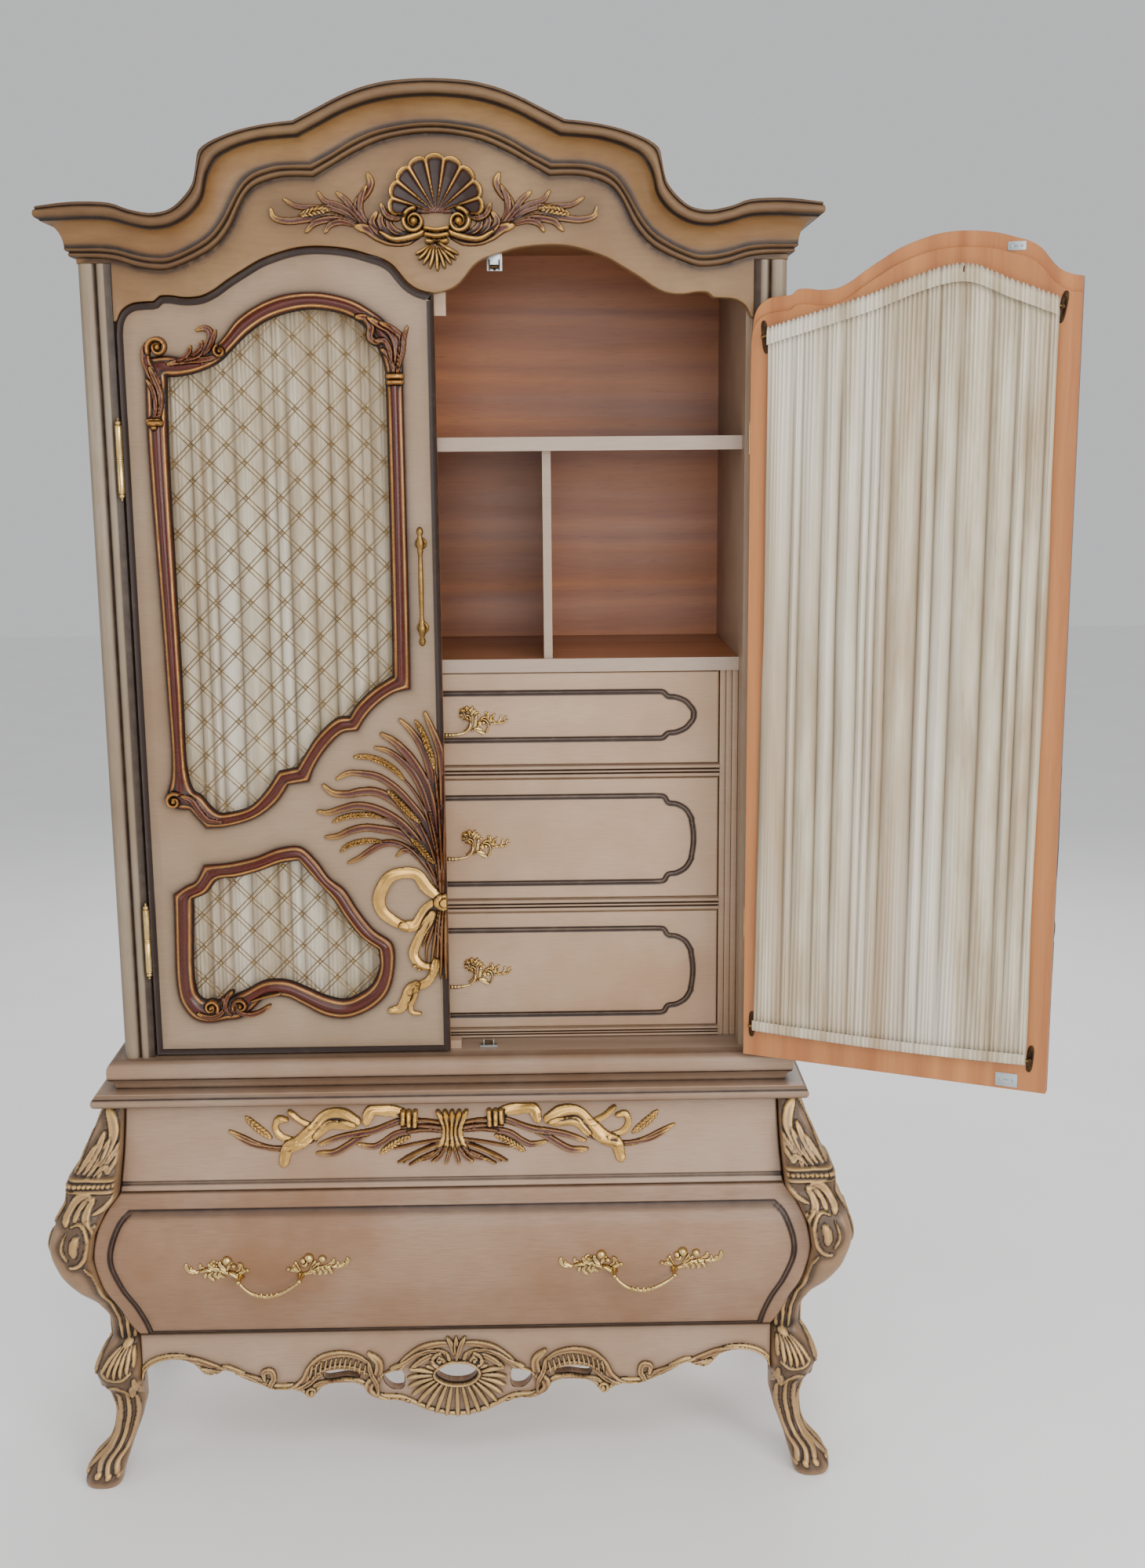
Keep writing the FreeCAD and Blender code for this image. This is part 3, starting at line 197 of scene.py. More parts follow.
def spline(points, step=4.0, closed=False):
    """Centripetal Catmull-Rom through points (any dimension), sampled about every step."""
    p = np.array(points, float)
    if closed:
        q = np.vstack([p[-1], p, p[0], p[1]])
        n = len(p)
    else:
        q = np.vstack([2 * p[0] - p[1], p, 2 * p[-1] - p[-2]])
        n = len(p) - 1
    out = []
    for i in range(n):
        p0, p1, p2, p3 = q[i:i + 4]
        t0 = 0.0
        t1 = t0 + max(1e-6, np.linalg.norm(p1 - p0) ** 0.5)
        t2 = t1 + max(1e-6, np.linalg.norm(p2 - p1) ** 0.5)
        t3 = t2 + max(1e-6, np.linalg.norm(p3 - p2) ** 0.5)
        c = max(2, int(math.ceil(np.linalg.norm(p2 - p1) / step)))
        t = np.linspace(t1, t2, c, endpoint=False)[:, None]
        a1 = (t1 - t) / (t1 - t0) * p0 + (t - t0) / (t1 - t0) * p1
        a2 = (t2 - t) / (t2 - t1) * p1 + (t - t1) / (t2 - t1) * p2
        a3 = (t3 - t) / (t3 - t2) * p2 + (t - t2) / (t3 - t2) * p3
        b1 = (t2 - t) / (t2 - t0) * a1 + (t - t0) / (t2 - t0) * a2
        b2 = (t3 - t) / (t3 - t1) * a2 + (t - t1) / (t3 - t1) * a3
        out.append((t2 - t) / (t2 - t1) * b1 + (t - t1) / (t2 - t1) * b2)
    out = np.vstack(out)
    return out if closed else np.vstack([out, p[-1]])


def soft_loop(loop, step=4.0, sharp=50.0):
    """Closed loop with its gentle turns smoothed and its sharp corners kept."""
    p = np.array(loop, float)
    a = p - np.roll(p, 1, 0)
    b = np.roll(p, -1, 0) - p
    turn = np.degrees(np.abs(np.arctan2(a[:, 0] * b[:, 1] - a[:, 1] * b[:, 0], (a * b).sum(1))))
    hard = [i for i in range(len(p)) if turn[i] > sharp]
    if not hard:
        return spline(p, step, closed=True)
    out = []
    for i, j in zip(hard, hard[1:] + [hard[0] + len(p)]):
        run = np.array([p[k % len(p)] for k in range(i, j + 1)])
        if len(run) == 2:
            c = max(2, int(np.linalg.norm(run[1] - run[0]) / step))
            s = np.linspace(run[0], run[1], c)
        else:
            s = spline(run, step)
        out.append(s[:-1])
    return np.vstack(out)


def inside(loop, x, z):
    """Even-odd test of many points."""
    a = np.array(loop, float)
    b = np.roll(a, -1, 0)
    x, z = np.asarray(x, float), np.asarray(z, float)
    hit = np.zeros(x.shape, bool)
    for (ax, az), (bx, bz) in zip(a, b):
        if az == bz:
            continue
        c = (az > z) != (bz > z)
        hit ^= c & (x < (bx - ax) * (z - az) / (bz - az) + ax)
    return hit


def distance(line, x, z, closed=True):
    """Distance of many points to a polyline."""
    a = np.array(line, float)
    b = np.roll(a, -1, 0) if closed else a[1:]
    a = a if closed else a[:-1]
    x, z = np.asarray(x, float), np.asarray(z, float)
    best = np.full(x.shape, 1e9)
    for (ax, az), (bx, bz) in zip(a, b):
        dx, dz = bx - ax, bz - az
        l2 = dx * dx + dz * dz
        if l2 < 1e-12:
            continue
        t = np.clip(((x - ax) * dx + (z - az) * dz) / l2, 0, 1)
        best = np.minimum(best, (x - ax - t * dx) ** 2 + (z - az - t * dz) ** 2)
    return np.sqrt(best)


def smooth01(a, b, v):
    t = np.clip((np.asarray(v, float) - a) / (b - a), 0, 1)
    return t * t * (3 - 2 * t)


class Acc:
    """Collects surfaces, in mm, with their attributes."""

    def __init__(self):
        self.p, self.f, self.m, self.n = [], [], [], 0
        self.a = {}

    def add(self, points, faces, mat=0, **attrs):
        points = np.asarray(points, float).reshape(-1, 3)
        k = len(points)
        for key in attrs:
            if key not in self.a:
                self.a[key] = [np.zeros(self.n)] if self.n else []
        for key, parts in self.a.items():
            v = attrs.get(key, 0.0)
            parts.append(np.full(k, float(v)) if np.isscalar(v) else np.asarray(v, float).reshape(-1))
        self.p.append(points)
        if isinstance(faces, np.ndarray):
            faces = (faces + self.n).tolist()
        else:
            faces = [[i + self.n for i in f] for f in faces]
        self.f.extend(faces)
        self.m.extend([mat] * len(faces))
        self.n += k
        return self

    def grid(self, g, mat=0, wrap=False, wrap_v=False, **attrs):
        """g is (rows, columns, 3)."""
        g = np.asarray(g, float)
        r, c = g.shape[:2]
        i = np.arange(r if wrap_v else r - 1)[:, None]
        j = np.arange(c if wrap else c - 1)[None, :]
        i2, j2 = (i + 1) % r, (j + 1) % c
        f = np.stack([i * c + j + 0 * j, i * c + j2, i2 * c + j2, i2 * c + j + 0 * j2], -1).reshape(-1, 4)
        flat = {}
        for key, v in attrs.items():
            flat[key] = v if np.isscalar(v) else np.broadcast_to(v, (r, c)).reshape(-1)
        return self.add(g.reshape(-1, 3), f, mat, **flat)

    def tube(self, path, radius, sides=8, mat=0, caps=True, flat=None, **attrs):
        """Round bar along a path; radius may vary along it."""
        p = np.asarray(path, float)
        rr = np.full(len(p), float(radius)) if np.isscalar(radius) else np.asarray(radius, float)
        t = np.gradient(p, axis=0)
        t /= np.maximum(np.linalg.norm(t, axis=1), 1e-9)[:, None]
        up = np.array([0, 1.0, 0]) if abs(t[0, 1]) < 0.9 else np.array([0, 0, 1.0])
        n = np.cross(t[0], up)
        n /= np.linalg.norm(n)
        rows = []
        for k in range(len(p)):
            n = n - t[k] * n.dot(t[k])
            n /= max(1e-9, np.linalg.norm(n))
            b = np.cross(t[k], n)
            a = np.linspace(0, 2 * math.pi, sides, endpoint=False)[:, None]
            rows.append(p[k] + rr[k] * (np.cos(a) * n + np.sin(a) * b * (flat or 1.0)))
        g = np.array(rows)
        start = self.n
        self.grid(g, mat, wrap=True, **attrs)
        if caps:
            c = sides
            self.f.append([start + i for i in range(c)][::-1])
            self.f.append([start + (len(p) - 1) * c + i for i in range(c)])
            self.m += [mat, mat]
        return self

    def lathe(self, origin, axis, rows, sides=20, mat=0, **attrs):
        """Turned shape: rows of (along, radius) about axis through origin."""
        o, ax = np.array(origin, float), np.array(axis, float)
        ax /= np.linalg.norm(ax)
        u = np.cross(ax, [0, 0, 1.0] if abs(ax[2]) < 0.9 else [1.0, 0, 0])
        u /= np.linalg.norm(u)
        v = np.cross(ax, u)
        a = np.linspace(0, 2 * math.pi, sides, endpoint=False)[:, None]
        g = np.array([o + ax * s + r * (np.cos(a) * u + np.sin(a) * v) for s, r in rows])
        start = self.n
        self.grid(g, mat, wrap=True, **attrs)
        self.f.append([start + i for i in range(sides)][::-1])
        self.f.append([start + (len(rows) - 1) * sides + i for i in range(sides)])
        self.m += [mat, mat]
        return self

    def slab(self, x, y, z, r=1.0, mat=0, **attrs):
        """Block with softened edges."""
        lo = np.array([x[0], y[0], z[0]], float)
        hi = np.array([x[1], y[1], z[1]], float)
        r = min(r, *(0.45 * (hi - lo)))
        bm = bmesh.new()
        bmesh.ops.create_cube(bm, size=1.0)
        for v in bm.verts:
            v.co = Vector([lo[i] if v.co[i] < 0 else hi[i] for i in range(3)])
        bmesh.ops.bevel(bm, geom=list(bm.edges), offset=r, segments=2, profile=0.6, affect="EDGES")
        bm.verts.index_update()
        self.add([v.co[:] for v in bm.verts], [[v.index for v in f.verts] for f in bm.faces], mat, **attrs)
        bm.free()
        return self


def make(name, acc, mats, body, side=0, replaces=(), angle=38.0, tidy=True, flip=False):
    """Turns collected surfaces into a piece. side 1 is the open door's mirror image."""
    p = np.vstack(acc.p) * MM
    faces = acc.f
    if side > 0:
        p = p * np.array([-1.0, 1.0, 1.0])
    if (side > 0) != flip:
        faces = [f[::-1] for f in faces]
    me = bpy.data.meshes.new(name)
    me.from_pydata(p.tolist(), [], faces)
    for key, parts in acc.a.items():
        attr = me.attributes.new(key, "FLOAT", "POINT")
        attr.data.foreach_set("value", np.concatenate(parts).astype(np.float32))
    me.polygons.foreach_set("material_index", np.array(acc.m, np.int32))
    me.polygons.foreach_set("use_smooth", np.ones(len(me.polygons), bool))
    for m in (mats if isinstance(mats, (list, tuple)) else [mats]):
        me.materials.append(m)
    if tidy:
        bm = bmesh.new()
        bm.from_mesh(me)
        bmesh.ops.remove_doubles(bm, verts=bm.verts, dist=0.00002)
        bmesh.ops.recalc_face_normals(bm, faces=bm.faces)
        bm.to_mesh(me)
        bm.free()
    me.validate()
    me.update()
    me.set_sharp_from_angle(angle=math.radians(angle))
    ob = bpy.data.objects.new(name, me)
    bpy.context.scene.collection.objects.link(ob)
    if side > 0:
        ob.matrix_world = OPEN
    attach(ob, body)
    if replaces:
        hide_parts(*replaces)
    return ob


def triangles(loops, extra):
    """Triangles inside an even-odd set of loops, with extra points carried in the mesh."""
    pts, edges = [], []
    for loop in loops:
        k = len(pts)
        pts += [tuple(q) for q in loop]
        edges += [(k + i, k + (i + 1) % len(loop)) for i in range(len(loop))]
    pts += [tuple(q) for q in extra]
    v, _, f, _, _, _ = geometry.delaunay_2d_cdt([Vector(q) for q in pts], edges, [], 0, 1e-4)
    v = np.array([q[:] for q in v])
    f = np.array([t for t in f if len(t) == 3])
    c = v[f].mean(1)
    keep = np.zeros(len(f), bool)
    for loop in loops:
        keep ^= inside(loop, c[:, 0], c[:, 1])
    return v, f[keep]


def fill_points(loops, step, near=()):
    """Hex grid inside loops, kept clear of their edges."""
    a = np.vstack([np.array(q, float) for q in loops])
    lo, hi = a.min(0), a.max(0)
    xs = np.arange(lo[0], hi[0], step)
    zs = np.arange(lo[1], hi[1], step * 0.87)
    gx, gz = np.meshgrid(xs, zs)
    gx[1::2] += step / 2
    x, z = gx.ravel(), gz.ravel()
    ok = np.zeros(len(x), bool)
    d = np.full(len(x), 1e9)
    for loop in loops:
        ok ^= inside(loop, x, z)
        d = np.minimum(d, distance(loop, x, z))
    ok &= d > step * 0.55
    pts = [np.stack([x[ok], z[ok]], 1)]
    return np.vstack(pts)


def plate(acc, outline, holes, y_front, y_back, y_of=None, edge=1.6, step=12.0, glaze=None, mat=0, mat_edge=None,
          mat_back=None, back=True, extra_loops=()):
    """Board with softened front arris: outline and holes in (x, z), in mm."""
    mat_edge = mat if mat_edge is None else mat_edge
    mat_back = mat if mat_back is None else mat_back
    y_of = y_of or (lambda x, z: np.full(np.shape(x), float(y_front)))
    glaze = glaze or (lambda x, z: np.zeros(np.shape(x)))
    outs = [np.array(outline, float)] + [np.array(h, float) for h in holes]
    ins = [grow(outs[0], -edge)] + [grow(h, edge) for h in outs[1:]]
    extra = fill_points(ins, step)
    for e in extra_loops:
        e = np.array(e, float)
        ok = inside(ins[0], e[:, 0], e[:, 1])
        for h in ins[1:]:
            ok &= ~inside(h, e[:, 0], e[:, 1])
        extra = np.vstack([extra, e[ok]])
    v, f = triangles(ins, extra)
    acc.add(np.stack([v[:, 0], y_of(v[:, 0], v[:, 1]), v[:, 1]], 1), f, mat, glaze=glaze(v[:, 0], v[:, 1]))
    for o, i in zip(outs, ins):
        rows, gl = [], []
        for t, dep in ((0.0, 0.0), (0.35, 0.12), (0.72, 0.42), (0.93, 0.78), (1.0, 1.15)):
            q = i + (o - i) * t
            rows.append(np.stack([q[:, 0], y_of(i[:, 0], i[:, 1]) + dep * edge, q[:, 1]], 1))
            gl.append(glaze(q[:, 0], q[:, 1]))
        rows.append(np.stack([o[:, 0], np.full(len(o), float(y_back)), o[:, 1]], 1))
        gl.append(gl[-1])
        acc.grid(np.array(rows), mat_edge, wrap=True, glaze=np.array(gl))
    if back:
        v, f = triangles(outs, np.zeros((0, 2)))
        acc.add(np.stack([v[:, 0], np.full(len(v), float(y_back)), v[:, 1]], 1), f[:, ::-1], mat_back, glaze=0.0)
    return acc


# ------------------------------------------------------------------ materials
def srgb(r, g, b):
    def lin(v):
        v /= 255.0
        return v / 12.92 if v <= 0.04045 else ((v + 0.055) / 1.055) ** 2.4
    return (lin(r), lin(g), lin(b), 1.0)


class Mat:
    def __init__(self, name):
        self.m = bpy.data.materials.new(name)
        self.m.use_nodes = True
        self.t = self.m.node_tree
        self.t.nodes.clear()
        self.out = self.t.nodes.new("ShaderNodeOutputMaterial")
        self.b = self.t.nodes.new("ShaderNodeBsdfPrincipled")
        self.t.links.new(self.b.outputs[0], self.out.inputs[0])
        self.coord = self.t.nodes.new("ShaderNodeTexCoord").outputs["Object"]

    def put(self, socket, v):
        if hasattr(v, "is_output") or isinstance(v, bpy.types.NodeSocket):
            self.t.links.new(v, socket)
        elif isinstance(v, (tuple, list)) and len(v) == 3 and socket.type == "RGBA":
            socket.default_value = (*v, 1.0)
        else:
            socket.default_value = v

    def set(self, **kw):
        for k, v in kw.items():
            self.put(self.b.inputs[k.replace("_", " ")], v)
        return self

    def attr(self, name):
        n = self.t.nodes.new("ShaderNodeAttribute")
        n.attribute_name = name
        return n.outputs["Fac"]

    def math(self, op, a, b=0.0, clamp=False):
        n = self.t.nodes.new("ShaderNodeMath")
        n.operation, n.use_clamp = op, clamp
        self.put(n.inputs[0], a)
        self.put(n.inputs[1], b)
        return n.outputs[0]

    def stretch(self, s, vec=None):
        n = self.t.nodes.new("ShaderNodeVectorMath")
        n.operation = "MULTIPLY"
        self.put(n.inputs[0], vec or self.coord)
        n.inputs[1].default_value = s
        return n.outputs[0]

    def noise(self, scale, detail=3.0, rough=0.55, vec=None, distort=0.0):
        n = self.t.nodes.new("ShaderNodeTexNoise")
        self.put(n.inputs["Vector"], vec or self.coord)
        n.inputs["Scale"].default_value = scale
        n.inputs["Detail"].default_value = detail
        n.inputs["Roughness"].default_value = rough
        n.inputs["Distortion"].default_value = distort
        return n.outputs["Fac"]

    def wave(self, scale, vec, distort=2.0, detail=2.0, kind="BANDS", direction="X", dscale=1.0):
        n = self.t.nodes.new("ShaderNodeTexWave")
        n.wave_type = kind
        if kind == "BANDS":
            n.bands_direction = direction
        self.put(n.inputs["Vector"], vec)
        n.inputs["Scale"].default_value = scale
        n.inputs["Distortion"].default_value = distort
        n.inputs["Detail"].default_value = detail
        n.inputs["Detail Scale"].default_value = dscale
        return n.outputs["Fac"]

    def remap(self, v, a, b, c=0.0, d=1.0):
        n = self.t.nodes.new("ShaderNodeMapRange")
        self.put(n.inputs["Value"], v)
        for k, x in (("From Min", a), ("From Max", b), ("To Min", c), ("To Max", d)):
            n.inputs[k].default_value = x
        return n.outputs[0]

    def mix(self, f, a, b, blend="MIX"):
        n = self.t.nodes.new("ShaderNodeMix")
        n.data_type, n.blend_type = "RGBA", blend
        self.put(n.inputs[0], f)
        self.put(n.inputs[6], a)
        self.put(n.inputs[7], b)
        return n.outputs[2]

    def ramp(self, f, stops):
        n = self.t.nodes.new("ShaderNodeValToRGB")
        e = n.color_ramp.elements
        while len(e) < len(stops):
            e.new(0.5)
        for el, (p, c) in zip(e, stops):
            el.position, el.color = p, c
        self.put(n.inputs[0], f)
        return n.outputs[0]

    def axis(self, k):
        n = self.t.nodes.new("ShaderNodeSeparateXYZ")
        self.t.links.new(self.coord, n.inputs[0])
        return n.outputs[k]

    def bump(self, height, strength, dist=0.001, normal=None):
        n = self.t.nodes.new("ShaderNodeBump")
        n.inputs["Strength"].default_value = strength
        n.inputs["Distance"].default_value = dist
        self.put(n.inputs["Height"], height)
        if normal is not None:
            self.put(n.inputs["Normal"], normal)
        return n.outputs[0]


GLAZE_AND_SHADE = srgb(32, 13, 3)


def paint(name, base, warm, grain=(1.0, 1.0, 14.0), glaze=GLAZE_AND_SHADE, streak=0.35, rough=0.38, coat=0.10, attrs=True):
    """Brushed, antiqued paint: warm clouds, fine brush streaks, brown glaze with painted shade where the piece says so.
    """
    m = Mat(name)
    cloud = m.noise(3.1, 4, 0.6)
    cloud = m.remap(cloud, 0.38, 0.66)
    col = m.mix(cloud, base, warm)
    brush = m.noise(26, 5, 0.65, m.stretch(grain))
    b2 = m.remap(brush, 0.35, 0.7, 0.0, streak)
    col = m.mix(b2, col, tuple(0.72 * x for x in warm[:3]) + (1.0,))
    fine = m.noise(190, 2, 0.5, m.stretch(grain))
    col = m.mix(m.remap(fine, 0.3, 0.75, 0.0, 0.10), col, tuple(min(1, 1.25 * x) for x in base[:3]) + (1.0,))
    if attrs:
        # darkening to brown where the piece asks: real glaze, and painted shade under mouldings, in gaps and round
        # carvings
        g = m.attr("glaze")
        patch = m.noise(38, 3, 0.6)
        g2 = m.math("MULTIPLY", g, m.remap(patch, 0.2, 0.75, 0.92, 1.12), clamp=True)
        col = m.mix(g2, col, glaze)
        rr = m.math("ADD", m.remap(cloud, 0, 1, rough, rough + 0.08), m.math("MULTIPLY", g2, 0.08))
    else:
        rr = m.remap(cloud, 0, 1, rough, rough + 0.08)
    speck = m.noise(420, 2, 0.5)
    m.set(Base_Color=col, Roughness=rr, Coat_Weight=coat, Coat_Roughness=0.18, Specular_IOR_Level=0.28)
    h = m.math("ADD", m.math("MULTIPLY", brush, 0.6), m.math("MULTIPLY", speck, 0.25))
    m.set(Normal=m.bump(h, 0.22, 0.0006))
    return m.m


def carved(name, body, gold, umber_and_shade, metal=0.85, rough=0.30):
    """Carving: lacquer in the body, rubbed gold on what stands up, umber glaze with painted shade in the hollows."""
    m = Mat(name)
    g, c = m.attr("gild"), m.attr("cav")
    patch = m.noise(60, 4, 0.65)
    wear = m.remap(patch, 0.30, 0.72, -0.16, 0.14)
    g = m.math("ADD", g, m.math("MULTIPLY", wear, m.remap(g, 0.02, 0.3)), clamp=True)
    tone = m.noise(24, 3, 0.55)
    gcol = m.mix(m.remap(tone, 0.35, 0.7), gold, tuple(0.62 * x for x in gold[:3]) + (1.0,))
    bcol = m.mix(m.remap(tone, 0.3, 0.7), body, tuple(1.35 * x for x in body[:3]) + (1.0,))
    col = m.mix(g, bcol, gcol)
    # darkening of the hollows: umber glaze together with painted shade
    cc = m.math("MULTIPLY", m.math("POWER", c, 0.75), m.remap(patch, 0.2, 0.7, 1.0, 1.25), clamp=True)
    col = m.mix(cc, col, umber_and_shade)
    met = m.math("MULTIPLY", m.math("MULTIPLY", g, metal), m.math("SUBTRACT", 1.0, m.math("MULTIPLY", cc, 0.85)), clamp=True)
    rr = m.math("ADD", m.remap(patch, 0.3, 0.7, rough - 0.06, rough + 0.12), m.math("MULTIPLY", cc, 0.25))
    m.set(Base_Color=col, Metallic=met, Roughness=rr, Coat_Weight=0.12, Coat_Roughness=0.12, Specular_IOR_Level=0.35)
    leaf = m.noise(300, 3, 0.6)
    m.set(Normal=m.bump(m.math("ADD", m.math("MULTIPLY", leaf, 0.5), patch), 0.25, 0.0005))
    return m.m


def wood(name, light, dark, along="x", rough=0.42, fine=1.0, coat=0.12, flecks=True, front=None, front_col=None):
    """Straight-grained wood with darker figure, grain along one axis."""
    m = Mat(name)
    k = {"x": (0.06, 1.0, 1.0), "y": (1.0, 0.06, 1.0), "z": (1.0, 1.0, 0.05)}[along]
    vec = m.stretch(k)
    fibre = m.noise(210 * fine, 4, 0.7, vec)
    figure = m.noise(14, 3, 0.6, vec, 0.6)
    bands = m.wave(5.5, vec, 9.0, 3.0, direction={"x": "Z", "y": "Z", "z": "X"}[along], dscale=1.6)
    f = m.math("ADD", m.math("MULTIPLY", figure, 0.62), m.math("MULTIPLY", bands, 0.20))
    f = m.math("ADD", f, m.math("MULTIPLY", fibre, 0.34))
    col = m.ramp(f, [(0.32, dark), (0.55, tuple((a + b) / 2 for a, b in zip(light, dark))), (0.82, light)])
    if flecks:
        pore = m.noise(520 * fine, 2, 0.5, vec)
        col = m.mix(m.remap(pore, 0.62, 0.75, 0.0, 0.45), col, tuple(0.45 * x for x in dark[:3]) + (1.0,))
    rr = m.remap(figure, 0.3, 0.7, rough - 0.06, rough + 0.08)
    if front is not None:
        edge = m.math("LESS_THAN", m.axis(1), front)
        brushed = m.noise(30, 4, 0.6, m.stretch((1, 1, 9)))
        pcol = m.mix(m.remap(brushed, 0.35, 0.7, 0, 0.5), front_col, tuple(0.78 * x for x in front_col[:3]) + (1.0,))
        col = m.mix(edge, col, pcol)
    m.set(Base_Color=col, Roughness=rr, Coat_Weight=coat, Coat_Roughness=0.22)
    m.set(Normal=m.bump(m.math("ADD", fibre, m.math("MULTIPLY", figure, 0.5)), 0.25, 0.0005))
    return m.m


def metal(name, col, dark, rough=0.25, spots=0.35, metallic=1.0):
    m = Mat(name)
    a = m.noise(55, 4, 0.6)
    b = m.noise(420, 3, 0.6)
    g = m.remap(a, 0.42, 0.75, 0.0, spots)
    c = m.mix(g, col, dark)
    # dark in the hollows: patina together with painted shade
    c = m.mix(m.math("MULTIPLY", m.attr("cav"), 1.0, clamp=True), c, dark)
    m.set(Base_Color=c, Metallic=metallic, Roughness=m.math("ADD", m.remap(a, 0.3, 0.7, rough - 0.05, rough + 0.12), m.math("MULTIPLY", b, 0.06)))
    m.set(Normal=m.bump(m.math("ADD", a, m.math("MULTIPLY", b, 0.3)), 0.15, 0.0004))
    return m.m


def cloth(name, col, shade):
    """Fine plain-woven sheer: thread bump both ways, slubs, a soft sheen, painted highlight streaks and painted shade
    in the fold valleys.
    """
    m = Mat(name)
    warp = m.noise(900, 2, 0.5, m.stretch((1.0, 1.0, 0.05)))
    weft = m.noise(900, 2, 0.5, m.stretch((0.05, 0.3, 1.0)))
    slub = m.noise(40, 4, 0.6, m.stretch((1.0, 1.0, 0.12)))
    c = m.mix(m.remap(slub, 0.35, 0.7), col, shade)
    veil = m.noise(7.5, 3, 0.55, m.stretch((1.0, 1.0, 0.10)), 0.4)
    c = m.mix(m.remap(veil, 0.46, 0.66, 0.0, 0.75), c, srgb(168, 142, 112))
    # painted highlight: pale streaks lighten the cloth
    highlight_streaks = m.noise(11.0, 2, 0.5, m.stretch((1.0, 1.0, 0.07)))
    c = m.mix(m.remap(highlight_streaks, 0.52, 0.72, 0.0, 0.7), c, srgb(226, 222, 208))
    c = m.mix(m.remap(warp, 0.35, 0.7, 0.0, 0.10), c, tuple(0.8 * x for x in shade[:3]) + (1.0,))
    # painted shade in the fold valleys
    c = m.mix(m.math("MULTIPLY", m.attr("fold"), 0.95, clamp=True), c, tuple(a * b for a, b in zip((0.34, 0.29, 0.23), shade[:3])) + (1.0,))
    m.set(Base_Color=c, Roughness=0.82, Sheen_Weight=0.35, Sheen_Roughness=0.45, Specular_IOR_Level=0.25)
    h = m.math("ADD", warp, weft)
    m.set(Normal=m.bump(h, 0.35, 0.0004))
    return m.m


DOOR_C, DOOR_W = srgb(150, 128, 106), srgb(136, 110, 84)
CROWN_C, CROWN_W = srgb(140, 106, 66), srgb(112, 76, 42)
BASE_C, BASE_W = srgb(158, 134, 114), srgb(142, 110, 84)
M = {
    "door": paint("door_paint", DOOR_C, DOOR_W),
    "crown": paint("crown_paint", CROWN_C, CROWN_W, grain=(1, 1, 5), glaze=srgb(26, 12, 5)),
    "frieze": paint("frieze_paint", srgb(136, 106, 70), srgb(112, 80, 48), grain=(1, 1, 5)),
    "base": paint("base_paint", BASE_C, BASE_W, grain=(1.0, 1.0, 16.0)),
    "pink": paint("drawer_paint", srgb(148, 120, 98), srgb(128, 92, 64), grain=(1.0, 1.0, 16.0), streak=0.45),
    "inner": paint("inner_paint", srgb(170, 144, 120), srgb(154, 122, 94), grain=(1.0, 1.0, 16.0)),
    "stile": paint("stile_paint", srgb(146, 132, 112), srgb(132, 112, 90), grain=(9.0, 9.0, 1.0)),
    "case": paint("case_paint", srgb(156, 134, 114), srgb(142, 116, 92), grain=(9.0, 9.0, 1.0), attrs=False),
    "ring": carved("ring_lacquer", srgb(62, 14, 2), srgb(184, 132, 68), srgb(26, 8, 2), metal=0.7, rough=0.24),
    "carve": carved("carved_gilt", srgb(62, 17, 4), srgb(208, 162, 88), srgb(36, 14, 6), metal=0.75, rough=0.27),
    "silver": carved("apron_gilt", srgb(98, 66, 42), srgb(190, 156, 104), srgb(24, 11, 4), metal=0.5, rough=0.36),
    "leg": carved("leg_gilt", srgb(124, 96, 70), srgb(200, 160, 100), srgb(30, 14, 5), metal=0.5, rough=0.36),
    "inside": wood("inside_wood", srgb(178, 110, 62), srgb(128, 66, 30), "x", rough=0.42, coat=0.03),
    "shelfwood": wood("shelf_wood", srgb(156, 98, 60), srgb(106, 58, 30), "x", front=0.0765, front_col=srgb(156, 134, 116)),
    "backwood": wood("door_back_wood", srgb(176, 114, 62), srgb(140, 80, 36), "z", rough=0.5, flecks=False),
    "boxwood": wood("drawer_box_wood", srgb(198, 166, 122), srgb(158, 120, 78), "y", rough=0.6),
    "basewood": wood("frame_wood", srgb(170, 126, 84), srgb(122, 82, 48), "x", rough=0.6),
    "brass": metal("bright_brass", srgb(212, 182, 122), srgb(84, 58, 28), 0.20, 0.4),
    "aged": metal("aged_brass", srgb(150, 116, 66), srgb(58, 38, 20), 0.34, 0.7),
    "bronze": metal("dark_bronze", srgb(70, 48, 28), srgb(30, 20, 12), 0.4, 0.6, 0.8),
    "zinc": metal("zinc_plate", srgb(178, 184, 188), srgb(120, 124, 128), 0.38, 0.5),
    "cloth": cloth("ivory_sheer", srgb(206, 196, 174), srgb(166, 148, 120)),
    "wire": metal("lattice_brass", srgb(156, 130, 88), srgb(88, 66, 38), 0.34, 0.45),
    "sideleg": paint("back_leg_paint", srgb(150, 128, 108), srgb(134, 108, 84), grain=(9.0, 9.0, 1.0)),
}


